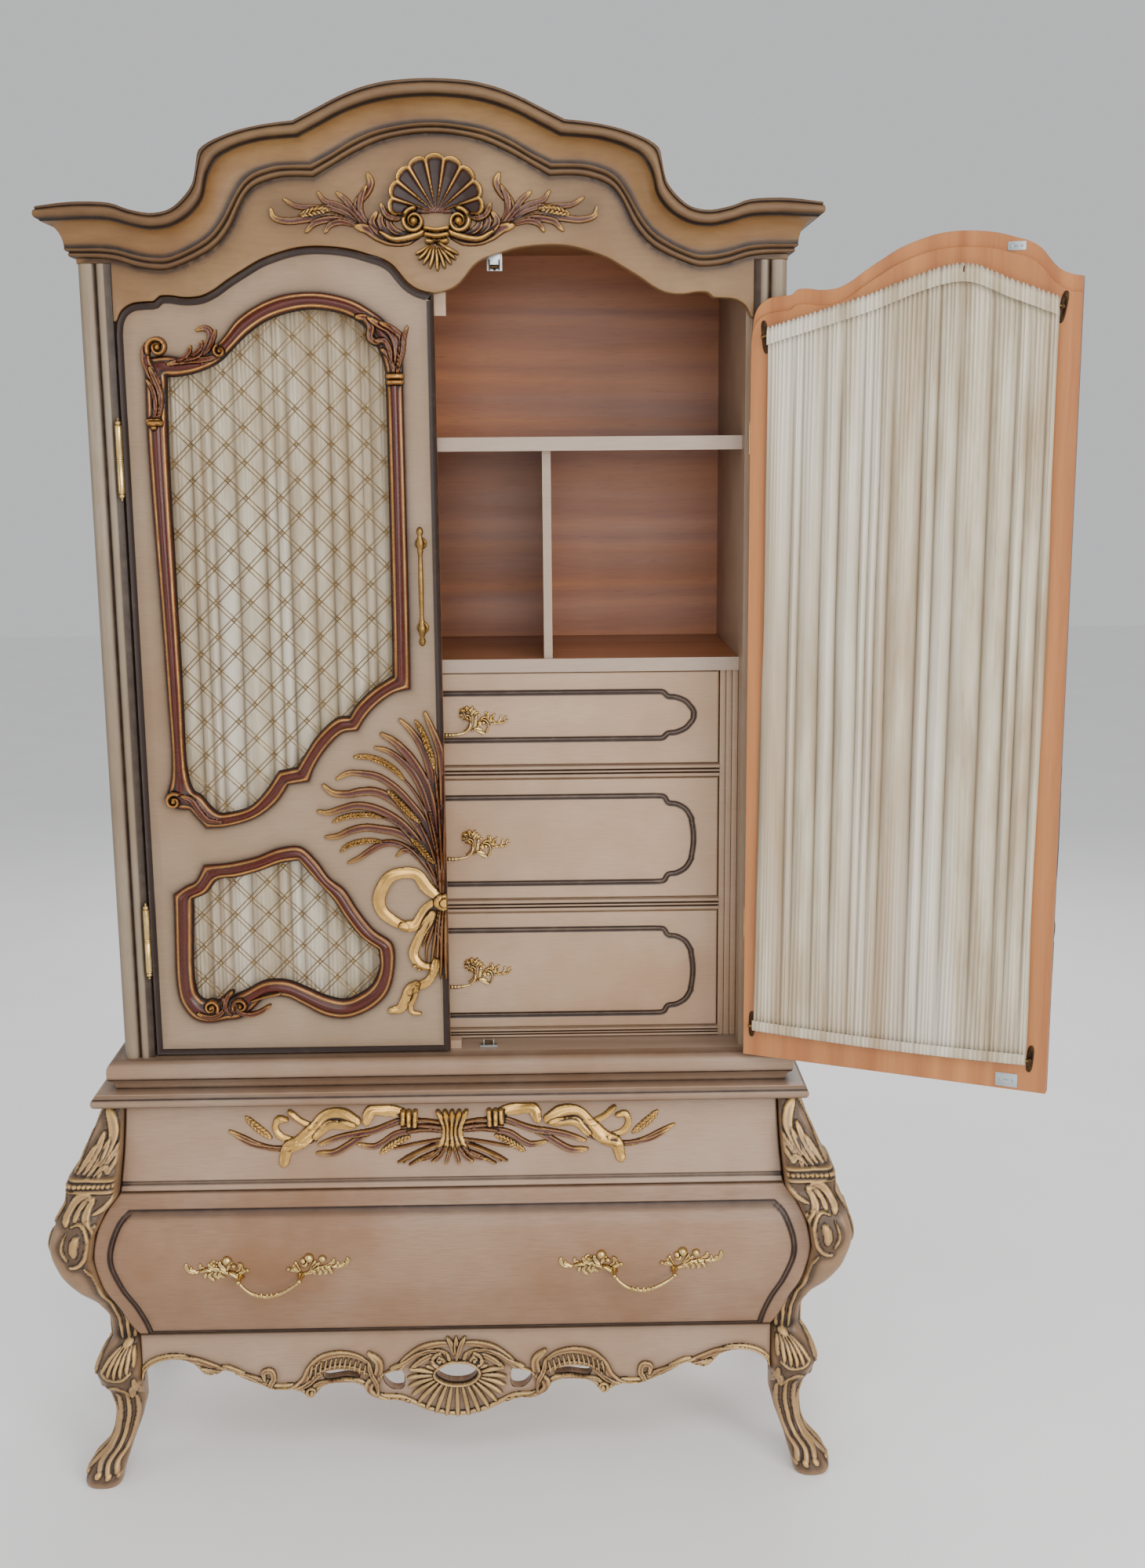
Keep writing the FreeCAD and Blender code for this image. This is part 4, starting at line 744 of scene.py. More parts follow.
# ------------------------------------------------------------------ relief engine
class Relief:
    """A carved field over (x, z), in mm: height, gilding, and where hollows lie."""

    def __init__(self, x0, x1, z0, z1, step=1.3):
        self.step = step
        self.leaf_gild = 0.10
        self.rim = 0.85
        self.x = np.arange(x0, x1 + step, step)
        self.z = np.arange(z0, z1 + step, step)
        self.X, self.Z = np.meshgrid(self.x, self.z)
        self.H = np.full(self.X.shape, -6.0)
        self.G = np.zeros(self.X.shape)
        self.R = np.zeros(self.X.shape)

    def window(self, lo, hi, pad):
        i0 = max(0, int((lo[1] - pad - self.z[0]) / self.step))
        i1 = min(len(self.z), int((hi[1] + pad - self.z[0]) / self.step) + 2)
        j0 = max(0, int((lo[0] - pad - self.x[0]) / self.step))
        j1 = min(len(self.x), int((hi[0] + pad - self.x[0]) / self.step) + 2)
        return slice(i0, i1), slice(j0, j1)

    def lay(self, w, h, g, d, lift=0.35, trench=0.62):
        """Puts a shape on what is there: h inside, d the distance outside its edge (0 inside)."""
        H, G = self.H[w], self.G[w]
        inside_it = d <= 0
        near = d < 1.6
        under = np.maximum(H, 0)
        H = np.where(near & (H > 0), H * np.where(inside_it, trench, 1 - (1 - trench) * (1 - d / 1.6)), H)
        cand = np.where(inside_it, h + lift * under, -1.5 * d)
        take = cand > H
        self.H[w] = np.where(take, cand, H)
        self.G[w] = np.where(take & (cand > -2.5), g, G)

    def stroke(self, kind, width, height, gild, pts, taper=None, lift=0.35):
        p = np.array(pts, float)
        if kind == "knob":
            w = self.window(p.min(0), p.max(0), width)
            dx, dz = self.X[w] - p[0, 0], self.Z[w] - p[0, 1]
            r = np.hypot(dx, dz)
            u = r / (width / 2)
            h = height * np.sqrt(np.clip(1 - u * u, 0, 1)) * 0.85 + 0.15 * height
            self.lay(w, np.where(u < 1, h, 0), np.full(r.shape, float(gild)), np.maximum(r - width / 2, 0), lift)
            return
        s = spline(p, max(0.9, self.step * 0.8)) if len(p) > 2 else np.linspace(p[0], p[-1], max(3, int(np.linalg.norm(p[-1] - p[0]))))
        seg = np.linalg.norm(np.diff(s, axis=0), axis=1)
        arc = np.concatenate([[0], np.cumsum(seg)])
        L = arc[-1]
        t = arc / L
        tan = np.gradient(s, axis=0)
        tan /= np.maximum(np.linalg.norm(tan, axis=1), 1e-9)[:, None]
        w = self.window(s.min(0), s.max(0), width)
        X, Z = self.X[w], self.Z[w]
        best = np.full(X.shape, 1e9)
        k = np.zeros(X.shape, int)
        reach = (width or 4) / 2 + 5.0
        for c0 in range(0, len(s), 8):
            q = s[c0:c0 + 9]
            i0 = max(0, int((q[:, 1].min() - reach - Z[0, 0]) / self.step))
            i1 = int((q[:, 1].max() + reach - Z[0, 0]) / self.step) + 2
            j0 = max(0, int((q[:, 0].min() - reach - X[0, 0]) / self.step))
            j1 = int((q[:, 0].max() + reach - X[0, 0]) / self.step) + 2
            if i1 <= i0 or j1 <= j0:
                continue
            xs, zs = X[i0:i1, j0:j1], Z[i0:i1, j0:j1]
            d2 = (xs[..., None] - q[:, 0]) ** 2 + (zs[..., None] - q[:, 1]) ** 2
            arg = d2.argmin(-1)
            dm = np.take_along_axis(d2, arg[..., None], -1)[..., 0]
            b = best[i0:i1, j0:j1]
            m = dm < b
            b[m] = dm[m]
            k[i0:i1, j0:j1][m] = (c0 + arg)[m]
        dx, dz = X - s[k, 0], Z - s[k, 1]
        side = -dx * tan[k, 1] + dz * tan[k, 0]
        dist = np.sqrt(best)
        tt = t[k]
        if kind in ("leaf", "fan"):
            # first point is the tip: thin there, widest at 60 percent, easing to the root
            hw = np.interp(t, [0, 0.06, 0.22, 0.55, 0.85, 1], [0.42, 0.72, 0.95, 1.0, 0.72, 0.45]) * width / 2
            hh = np.interp(t, [0, 0.08, 0.3, 0.7, 1], [0.95, 1.0, 0.85, 0.85, 0.75]) * height
        elif kind == "ear":
            hw = np.interp(t, [0, 0.1, 0.45, 0.85, 1], [0.35, 0.78, 1.0, 0.85, 0.45]) * width / 2
            hh = np.interp(t, [0, 0.1, 0.5, 1], [0.6, 0.85, 1.0, 0.8]) * height
        elif kind == "ribbon":
            hw = np.interp(t, [0, 0.12, 0.35, 0.6, 0.85, 1], [0.72, 1.0, 0.86, 1.0, 0.88, 0.7]) * width / 2
            hh = (0.78 + 0.22 * np.cos(t * L / 17.0)) * height
        elif kind == "bar":
            hw = np.full(len(t), width / 2.0)
            hh = np.full(len(t), float(height))
        else:
            hw = np.interp(t, [0, 0.15, 0.8, 1], [0.6, 0.9, 1.0, 0.9]) * width / 2
            hh = np.full(len(t), float(height))
        if taper is not None:
            hw = hw * np.interp(t, [0, 1], taper)
        hwk, hhk = hw[k], hh[k]
        u = np.clip(side / hwk, -1, 1) if kind != "none" else 0
        r = dist / hwk
        round_ = np.sqrt(np.clip(1 - r * r, 0, 1))
        g = np.full(X.shape, float(gild))
        if kind == "leaf":
            vein = np.exp(-(u / 0.16) ** 2)
            rib = 0.10 * np.cos(u * 9.0)
            h = hhk * (0.30 + 0.70 * round_ ** 0.8 - 0.30 * vein + rib * round_)
            body = self.leaf_gild * gild
            g = np.clip(body + self.rim * gild ** 0.6 * np.exp(-((np.abs(u) - 0.66) / 0.16) ** 2)
                        + 0.9 * gild ** 0.5 * smooth01(0.18, 0.0, tt) - 0.25 * vein, 0, 1)
        elif kind == "fan":
            h = hhk * (0.35 + 0.65 * round_)
            g = np.clip(gild * 0.35 + gild * 0.9 * np.exp(-(u / 0.38) ** 2), 0, 1)
        elif kind == "ear":
            pitch = max(4.2, width * 0.52)
            ph = arc[k] / pitch - 0.75 * np.abs(u) + 0.5 * (u > 0)
            grain = 0.5 + 0.5 * np.cos(2 * math.pi * ph)
            mid = np.exp(-(u / 0.13) ** 2)
            h = hhk * (0.25 + 0.75 * round_) * (0.50 + 0.50 * grain ** 0.7) * (1 - 0.35 * mid)
            g = np.clip(0.25 + 1.1 * grain - 0.5 * mid, 0, 1) * gild
        elif kind == "stem":
            h = hhk * (0.25 + 0.75 * round_)
            g = np.clip(gild ** 1.5 * (0.25 + 0.95 * np.exp(-(u / 0.5) ** 2)), 0, 1)
        elif kind == "ribbon":
            fl = 0.5 + 0.5 * np.cos(u * math.pi * 1.5 + 0.8 * np.sin(arc[k] / 15.0))
            h = hhk * (0.50 + 0.35 * round_ ** 0.6 + 0.20 * fl)
            g = np.full(X.shape, float(gild))
        else:
            h = hhk * (0.25 + 0.75 * round_)
        self.lay(w, np.where(r < 1, h, 0), g, np.maximum(dist - hwk, 0), lift)

    def strokes(self, rows, sx=1.0, dx=0.0, dz=0.0, hk=1.0, wk=1.0):
        for kind, width, height, gild, pts in rows:
            if kind == "volute":
                continue
            self.stroke(kind, width * (wk if kind != "knob" else 1.0), height * hk, gild, [(sx * a + dx, b + dz) for a, b in pts])

    def spiral(self, cx, cz, r0, r1, turns, a0, width, height, gild, hand=1, lift=0.35):
        """Scroll: from radius r0 at angle a0 (degrees) winding in to r1, with an eye."""
        a = np.linspace(0, turns * 2 * math.pi, int(24 * turns) + 6)
        r = r0 + (r1 - r0) * (a / a[-1]) ** 0.8
        ang = math.radians(a0) + hand * a
        pts = np.stack([cx + r * np.cos(ang), cz + r * np.sin(ang)], 1)
        self.stroke("stem", width, height, gild, pts[::-1], taper=(0.7, 1.0), lift=lift)
        self.stroke("knob", width * 1.05, height * 1.25, gild, [(cx, cz)])

    def band(self, outer, inner, knots, x_pad=8):
        """Moulding between two loops: knots are (t, height, gild), t from outer edge 0 to inner 1."""
        o, i = np.array(outer, float), np.array(inner, float)
        w = self.window(o.min(0), o.max(0), x_pad)
        X, Z = self.X[w], self.Z[w]
        do, di = distance(o, X, Z), distance(i, X, Z)
        ino, ini = inside(o, X, Z), inside(i, X, Z)
        ring = ino & ~ini
        t = np.clip(do / np.maximum(do + di, 1e-6), 0, 1)
        k = np.array(knots, float)
        h = np.interp(t, k[:, 0], k[:, 1])
        g = np.interp(t, k[:, 0], k[:, 2])
        out = np.where(ino, di, do)
        self.H[w] = np.maximum(self.H[w], np.where(ring, h, -2.2 * out))
        self.G[w] = np.where(ring, g, np.where(out < 2, np.where(ino, k[-1, 2], k[0, 2]), self.G[w]))

    def blur(self, a, n):
        for _ in range(2):
            c = np.cumsum(np.pad(a, ((n + 1, n), (0, 0)), mode="edge"), 0)
            a = (c[2 * n + 1:] - c[:-2 * n - 1]) / (2 * n + 1)
            c = np.cumsum(np.pad(a, ((0, 0), (n + 1, n)), mode="edge"), 1)
            a = (c[:, 2 * n + 1:] - c[:, :-2 * n - 1]) / (2 * n + 1)
        return a

    def finish(self, floor=-1.2, cav_scale=1.3, crest=0.30, edge_cav=0.55, base_level=0.0):
        """Cavity and crest gilding, and the cells kept above the floor."""
        H = self.H
        base = np.maximum(H, base_level)
        mean = self.blur(base, 3)
        wide = self.blur(base, 6)
        d = mean - base
        # C darkens the hollows (umber glaze with painted shade) and, through edge_cav, the foot of the relief where it
        # meets the ground (painted shade)
        self.C = np.clip((d + 0.5 * (wide - base)) / cav_scale, 0, 1)
        self.C = np.clip(self.C + edge_cav * smooth01(1.8, 0.0, H) * (H > -2.5), 0, 1)
        self.G = np.clip(self.G + crest * np.clip((base - mean) / 0.9, 0, 1) * (self.G > 0.02), 0, 1)
        self.keep = H > floor

    def emit(self, acc, place, floor=-1.2, mat=0, hmin=None):
        """Adds kept cells; rim vertices slide along the slope to the floor contour."""
        H = self.H
        st = self.step
        gz, gx = np.gradient(H, st)
        X, Z, Y = self.X.copy(), self.Z.copy(), H.copy()
        ok = H > floor
        cell = ok[:-1, :-1] | ok[1:, :-1] | ok[:-1, 1:] | ok[1:, 1:]
        n2 = gx ** 2 + gz ** 2
        low = ~ok
        mv = np.where(low & (n2 > 1e-6), (floor - H) / np.maximum(n2, 1e-6), 0)
        sx, sz = np.clip(mv * gx, -st, st), np.clip(mv * gz, -st, st)
        X += np.where(low, sx, 0)
        Z += np.where(low, sz, 0)
        Y = np.where(low, floor, H)
        used = np.zeros(H.shape, bool)
        used[:-1, :-1] |= cell
        used[1:, :-1] |= cell
        used[:-1, 1:] |= cell
        used[1:, 1:] |= cell
        idx = np.full(H.shape, -1)
        idx[used] = np.arange(used.sum())
        i, j = np.nonzero(cell)
        f = np.stack([idx[i, j], idx[i, j + 1], idx[i + 1, j + 1], idx[i + 1, j]], 1)
        pts = place(X[used], Z[used], Y[used])
        acc.add(pts, f, mat, gild=self.G[used], cav=self.C[used])
        return acc


def flat_at(y0):
    return lambda x, z, h: np.stack([x, y0 - h, z], 1)


def on_front(x, z, h):
    return np.stack([x, smooth_at(FACE_Y, z) - h, z], 1)


# ------------------------------------------------------------------ carving lines (mm)
SHEAF = [
    ('leaf', 11, 7, 0.25, [(-30,1328),(-23,1309),(-14,1287),(-7,1262),(-4,1229),(-4,1185),(-7,1111),(-10,1037)]),
    ('leaf', 10, 6, 0.25, [(-71,1317),(-56,1302),(-40,1278),(-28,1247),(-21,1211),(-16,1163),(-12,1089)]),
    ('leaf', 13, 7, 0.15, [(-101,1294),(-81,1281),(-60,1259),(-42,1231),(-30,1204),(-21,1167),(-14,1111),(-11,1052)]),
    ('leaf', 9, 6, 0.2, [(-112,1272),(-92,1266),(-71,1250),(-50,1224),(-36,1193),(-26,1156),(-17,1104)]),
    ('leaf', 10, 6, 0.25, [(-176,1221),(-158,1230),(-133,1229),(-108,1223),(-83,1206),(-59,1180),(-37,1149),(-23,1108),(-15,1056)]),
    ('leaf', 12, 7, 0.3, [(-198,1210),(-184,1198),(-162,1195),(-137,1199),(-116,1199),(-94,1190),(-70,1171),(-47,1141),(-28,1100),(-16,1048)]),
    ('leaf', 11, 7, 0.25, [(-208,1167),(-192,1165),(-170,1171),(-145,1176),(-120,1172),(-95,1161),(-74,1146),(-50,1119),(-29,1082),(-15,1041)]),
    ('leaf', 11, 7, 0.25, [(-197,1124),(-179,1125),(-157,1134),(-132,1139),(-107,1136),(-82,1131),(-60,1119),(-41,1097),(-24,1063),(-15,1037)]),
    ('leaf', 9, 6, 0.25, [(-162,1080),(-144,1088),(-126,1100),(-107,1110),(-86,1112),(-64,1103),(-43,1084),(-24,1056),(-15,1033)]),
    ('leaf', 8, 5, 0.25, [(-82,1091),(-72,1099),(-57,1099),(-39,1088),(-26,1067),(-15,1037)]),
    ('stem', 4, 6, 0.3, [(-68,1221),(-48,1193),(-31,1156),(-18,1097)]),
    ('stem', 4, 6, 0.3, [(-108,1157),(-85,1147),(-57,1119),(-32,1082),(-16,1041)]),
    ('stem', 4, 6, 0.3, [(-109,1116),(-86,1116),(-61,1104),(-36,1075),(-15,1035)]),
    ('stem', 4, 7, 0.3, [(-17,1236),(-14,1203),(-11,1148),(-10,1074),(-10,1029)]),
    ('stem', 4, 7, 0.3, [(-45,1149),(-30,1115),(-18,1074),(-13,1033)]),
    ('stem', 4, 8, 0.3, [(0,1258),(-1,1185),(-4,1111),(-8,1029)]),
    ('stem', 4, 8, 0.3, [(-12,1185),(-10,1133),(-9,1082),(-10,1029)]),
    ('stem', 4, 8, 0.3, [(-27,1163),(-17,1115),(-13,1067),(-12,1029)]),
    ('ear', 11, 9, 1.0, [(-46,1315),(-36,1298),(-28,1276),(-21,1255),(-17,1236)]),
    ('ear', 11, 9, 1.0, [(-147,1257),(-128,1257),(-110,1252),(-93,1243),(-77,1230),(-68,1219)]),
    ('ear', 11, 9, 1.0, [(-94,1201),(-84,1190),(-70,1174),(-56,1159),(-44,1148)]),
    ('ear', 10, 9, 1.0, [(-185,1149),(-167,1157),(-145,1160),(-124,1160),(-107,1156)]),
    ('ear', 10, 9, 1.0, [(-174,1099),(-162,1109),(-143,1115),(-125,1117),(-108,1116)]),
    ('ear', 11, 10, 1.0, [(-57,1119),(-46,1109),(-36,1095),(-22,1079)]),
    ('fan', 5, 7, 0.45, [(-20,996),(-27,966),(-37,932),(-38,909)]),
    ('fan', 5, 8, 0.45, [(-16,996),(-21,962),(-27,924),(-31,890)]),
    ('fan', 5, 9, 0.45, [(-13,996),(-16,962),(-19,924),(-23,884)]),
    ('fan', 5, 9, 0.45, [(-8,996),(-11,962),(-13,920),(-15,880)]),
    ('fan', 5, 9, 0.45, [(-4,995),(-5,958),(-6,916),(-6,880)]),
    ('fan', 4, 7, 0.45, [(-22,996),(-31,969),(-41,943),(-44,936)]),
    ('ribbon', 21, 8, 1.0, [(-17,1022),(-34,1037),(-51,1059),(-73,1062),(-95,1055),(-108,1036),(-114,1016),(-109,997),(-91,981),(-72,971)]),
    ('ribbon', 19, 9, 1.0, [(-75,972),(-57,972),(-46,985),(-35,1000),(-16,1014)]),
    ('ribbon', 16, 9, 1.0, [(-26,992),(-39,970),(-53,943),(-59,922),(-49,906),(-32,900)]),
    ('ribbon', 15, 10, 1.0, [(-22,911),(-26,893),(-37,875),(-54,866),(-66,858)]),
    ('ribbon', 17, 9, 1.0, [(-56,871),(-69,860),(-76,841),(-83,829),(-98,825)]),
    ('ribbon', 9, 8, 1.0, [(-56,867),(-59,848),(-66,833),(-64,822),(-51,819)]),
    ('knob', 7, 7, 1.0, [(-58,902)]),
    ('knob', 7, 7, 1.0, [(-50,896)]),
    ('knob', 30, 10, 0.9, [(-9,1011)]),
    ('knob', 17, 13, 0.9, [(-5,1011)]),
]
SHELL = [
    ('leaf', 11, 7, 0.5, [(-97,2160),(-93,2148),(-100,2134),(-112,2120),(-114,2104),(-106,2088),(-86,2074)]),
    ('leaf', 8, 6, 0.5, [(-101,2142),(-109,2124),(-109,2104),(-99,2088)]),
    ('leaf', 8, 6, 0.5, [(-145,2133),(-131,2121),(-121,2107),(-110,2093),(-93,2078)]),
    ('leaf', 7, 6, 0.4, [(-174,2134),(-164,2121),(-143,2115),(-126,2104),(-110,2088)]),
    ('leaf', 7, 6, 0.4, [(-226,2124),(-208,2114),(-184,2112),(-160,2111),(-137,2104),(-117,2091)]),
    ('leaf', 9, 6, 0.5, [(-247,2110),(-243,2098),(-223,2092),(-199,2094),(-175,2097),(-151,2098),(-127,2091),(-110,2081)]),
    ('ear', 10, 8, 1.0, [(-203,2101),(-188,2104),(-174,2107),(-159,2108)]),
    ('leaf', 8, 6, 0.4, [(-194,2076),(-182,2088),(-165,2093),(-144,2094),(-120,2088)]),
    ('leaf', 7, 6, 0.4, [(-165,2075),(-158,2085),(-141,2090),(-120,2085)]),
    ('leaf', 13, 8, 0.7, [(-117,2083),(-100,2079),(-83,2069),(-62,2062),(-42,2061),(-24,2067)]),
    ('leaf', 9, 8, 0.6, [(-85,2104),(-93,2091),(-86,2078),(-69,2068),(-49,2064)]),
    ('leaf', 9, 8, 0.6, [(-75,2105),(-80,2091),(-72,2077),(-55,2069),(-38,2067)]),
    ('leaf', 9, 8, 0.6, [(-61,2104),(-67,2089),(-59,2077),(-42,2071),(-28,2071)]),
]
RING = [
    ('volute', 0, 0, 0, [(-430,1904)]),
    ('leaf', 16, 10, 0.7, [(-422,1913),(-437,1914),(-448,1903),(-449,1885),(-443,1869),(-435,1853),(-434,1826),(-437,1804),(-441,1788)]),
    ('leaf', 9, 10, 0.7, [(-443,1875),(-437,1859),(-429,1836),(-429,1817),(-433,1800)]),
    ('leaf', 8, 9, 0.6, [(-449,1856),(-441,1843),(-437,1823),(-439,1804),(-447,1795)]),
    ('leaf', 10, 9, 0.6, [(-415,1880),(-399,1883),(-382,1885),(-362,1886),(-345,1889),(-329,1896)]),
    ('leaf', 11, 9, 0.7, [(-368,1931),(-358,1934),(-349,1930),(-349,1915),(-358,1902),(-372,1891),(-389,1886)]),
    ('leaf', 8, 9, 0.7, [(-339,1930),(-344,1917),(-350,1904),(-359,1894)]),
    ('leaf', 8, 9, 0.7, [(-379,1907),(-382,1898),(-389,1891),(-399,1885)]),
    ('leaf', 8, 9, 0.7, [(-361,1914),(-366,1902),(-377,1893)]),
    ('knob', 10, 10, 1.0, [(-333,1899)]),
    ('leaf', 12, 11, 0.7, [(-121,1949),(-107,1947),(-99,1934),(-101,1918),(-92,1911),(-82,1913)]),
    ('leaf', 12, 11, 0.7, [(-102,1947),(-88,1938),(-71,1928),(-62,1912),(-60,1892),(-62,1869)]),
    ('leaf', 10, 11, 0.7, [(-84,1940),(-66,1931),(-53,1918),(-53,1895),(-58,1873),(-60,1863)]),
    ('leaf', 8, 10, 0.7, [(-43,1934),(-48,1918),(-51,1895),(-57,1873)]),
    ('leaf', 8, 10, 0.7, [(-84,1900),(-74,1892),(-68,1879),(-65,1863)]),
    ('leaf', 9, 10, 0.7, [(-92,1913),(-78,1912),(-71,1899),(-68,1882)]),
    ('bar', 9, 10, 1.0, [(-74,1859),(-54,1859)]),
    ('bar', 8, 11, 1.0, [(-74,1850),(-54,1850)]),
    ('bar', 9, 10, 1.0, [(-450,1793),(-434,1793)]),
    ('knob', 11, 10, 1.0, [(-442,1785)]),
]
FRZ = [
    ('leaf', 7, 6, 0.5, [(-374,625),(-351,614),(-326,602),(-296,595),(-260,600),(-229,607)]),
    ('leaf', 6, 5, 0.5, [(-364,617),(-337,603),(-306,597),(-276,595)]),
    ('ear', 10, 7, 1.0, [(-346,647),(-335,636),(-320,624),(-305,613)]),
    ('ribbon', 9, 8, 1.0, [(-279,642),(-292,643),(-297,629),(-288,615),(-265,608)]),
    ('ribbon', 8, 8, 1.0, [(-273,655),(-258,642),(-238,632),(-223,633)]),
    ('ribbon', 18, 10, 1.0, [(-162,638),(-187,649),(-212,647),(-231,628),(-255,607),(-276,596),(-283,573)]),
    ('ribbon', 12, 9, 1.0, [(-167,632),(-187,633),(-208,632),(-229,614)]),
    ('leaf', 9, 7, 0.35, [(-227,587),(-199,587),(-173,600),(-147,616),(-116,627),(-85,634)]),
    ('leaf', 8, 7, 0.35, [(-224,601),(-193,611),(-162,617),(-132,622),(-85,639),(-55,639)]),
    ('leaf', 8, 6, 0.3, [(-158,600),(-132,596),(-117,602),(-96,615),(-55,622),(-14,619)]),
    ('ribbon', 15, 9, 1.0, [(-144,638),(-136,655),(-115,655),(-90,652),(-75,644)]),
    ('bar', 7, 10, 1.0, [(-82,653),(-83,634)]),
    ('bar', 7, 10, 1.0, [(-73,652),(-73,632)]),
    ('bar', 7, 10, 1.0, [(-62,652),(-63,631)]),
    ('stem', 5, 7, 0.6, [(-57,639),(-34,636),(2,629)]),
    ('ear', 9, 7, 1.0, [(-121,585),(-107,594),(-90,604),(-73,611)]),
    ('stem', 4, 7, 0.5, [(-97,593),(-55,601),(-4,608)]),
    ('stem', 5, 8, 0.9, [(-81,570),(-56,587),(-25,600),(1,608)]),
    ('stem', 5, 8, 0.9, [(-91,570),(-66,583),(-35,595),(1,602)]),
    ('stem', 5, 7, 0.8, [(-72,566),(-46,579),(-20,589),(6,598)]),
    ('stem', 5, 7, 0.35, [(-75,620),(-45,624),(1,618)]),
    ('stem', 5, 7, 0.35, [(-85,627),(-45,629),(1,623)]),
]
APR = [
    ('leaf', 9, 7, 0.45, [(-540,183),(-535,197),(-516,210),(-488,217),(-453,216),(-423,205),(-389,191),(-354,182),(-324,173)]),
    ('leaf', 8, 6, 0.4, [(-451,201),(-442,185),(-430,178),(-419,192)]),
    ('leaf', 7, 7, 0.6, [(-439,200),(-404,191),(-364,181),(-329,162),(-289,152)]),
    ('knob', 9, 8, 1.0, [(-534,177)]),
    ('leaf', 8, 8, 0.7, [(-331,176),(-333,190),(-320,192),(-316,178),(-323,162),(-304,154)]),
    ('leaf', 11, 8, 0.6, [(-314,158),(-289,156),(-265,172),(-252,196),(-231,215),(-200,222),(-170,216),(-155,206)]),
    ('leaf', 8, 7, 0.5, [(-289,154),(-258,166),(-237,185),(-211,196),(-181,195),(-156,183)]),
    ('knob', 11, 9, 1.0, [(-250,142)]),
    ('leaf', 6, 7, 0.6, [(-253,155),(-243,166),(-222,171),(-192,172),(-162,164)]),
    ('leaf', 13, 9, 0.8, [(-151,222),(-135,205),(-139,178),(-152,164),(-152,150),(-127,133),(-102,131),(-86,131)]),
    ('leaf', 7, 8, 0.6, [(-152,206),(-148,183),(-140,167),(-137,144)]),
    ('leaf', 11, 8, 0.7, [(-131,179),(-105,191),(-84,212),(-59,230),(-33,237),(-3,238)]),
    ('leaf', 7, 8, 0.8, [(-115,194),(-90,204),(-69,218),(-38,225),(-18,219),(-14,203)]),
    ('leaf', 8, 9, 0.8, [(-80,193),(-59,209),(-44,216),(-29,213),(-29,199),(-42,197),(-45,206)]),
]


# ------------------------------------------------------------------ crown
def crown_rails():
    flat = [np.array(c, float).reshape(-1) for c in CROWN]
    right = spline(np.array(flat[:KINK + 1]), 22.0)
    arch = [f for f in flat[KINK:]] + [f * np.array([-1, 1] * 4) for f in flat[KINK:-1][::-1]]
    middle = spline(np.array(arch), 22.0)
    left = right[::-1] * np.array([-1, 1] * 4)
    return np.vstack([right[:-1], middle, left[1:]])


def crown_profile():
    p = [(0, 0.0, 0.0, .9), (0, .02, 3.4, .85), (0, .09, 6.6, .7), (0, .20, 8.8, .55), (0, .34, 9.6, .5), (0, .45, 9.2, .6),
         (0, .53, 8.0, .95), (0, .58, 8.0, 1.), (0, .63, 9.8, .85), (0, .72, 12.4, .6), (0, .84, 14.2, .5), (0, .94, 14.4, .6),
         (0, 1.0, 13.6, .95), (1, .03, 13.8, .95)]
    for k in np.linspace(0.06, 1, 15):
        f = k * math.pi / 2
        # painted shade: the cove darkens at its foot and at its top under the nosing
        p.append((1, math.sin(f) * .95, 14 + 28.5 * (1 - math.cos(f)), .10 + .75 * math.exp(-(k - .06) / .07) + .7 * math.exp(-(1 - k) / .05)))
    p += [(1, .985, 43.5, 1.), (2, .03, 45.0, 1.), (2, .08, 47.6, .85), (2, .16, 50.0, .62), (2, .27, 51.5, .5), (2, .42, 52.0, .42),
          (2, .57, 51.5, .45), (2, .67, 50.2, .6), (2, .73, 48.4, .95), (2, .77, 47.8, 1.), (2, .81, 48.6, .8), (2, .88, 48.9, .6),
          (2, .95, 47.8, .55), (2, .99, 45.4, .6), (2, 1.0, 42.5, .5), (2, 1.0, 20, .35), (2, 1.0, -25.0, .3), (2, .75, -25.5, .3)]
    return p


rails = crown_rails()
prof = crown_profile()
rows, gl = [], []


def corner_row(y_end=None):
    r = []
    for a, k, out, g in prof:
        z = END_Z[3 - a] + (END_Z[max(0, 2 - a)] - END_Z[3 - a]) * (k if a < 3 else 0)
        x = 549 + out * 48 / 52.0
        r.append((x, -out if y_end is None else y_end, z))
    return r


cols = [corner_row(447.0), corner_row(300.0), corner_row(150.0), corner_row(30.0), corner_row(0.0)][:4]
cols.append(corner_row())
order = [3, 2, 1, 0]
for s in rails:
    col = []
    for a, k, out, g in prof:
        p0 = s[2 * (3 - a):2 * (3 - a) + 2]
        p1 = s[2 * (2 - a):2 * (2 - a) + 2]
        q = p0 + (p1 - p0) * k
        col.append((q[0], -out, q[1]))
    cols.append(col)
for c in [corner_row()] + [corner_row(v) for v in (30.0, 150.0, 300.0, 447.0)]:
    cols.append([(-x, y, z) for x, y, z in c])
G = np.array(cols)
gl = np.array([q[3] for q in prof])[None, :] + 0 * G[:, :, 0]
acc = Acc().grid(G, 0, glaze=gl)
acc.f.append(list(range(len(prof)))[::-1])
acc.f.append([(len(cols) - 1) * len(prof) + i for i in range(len(prof))])
acc.m += [0, 0]
make("crown_cornice", acc, M["crown"], "case", replaces=["cornice"], angle=50)

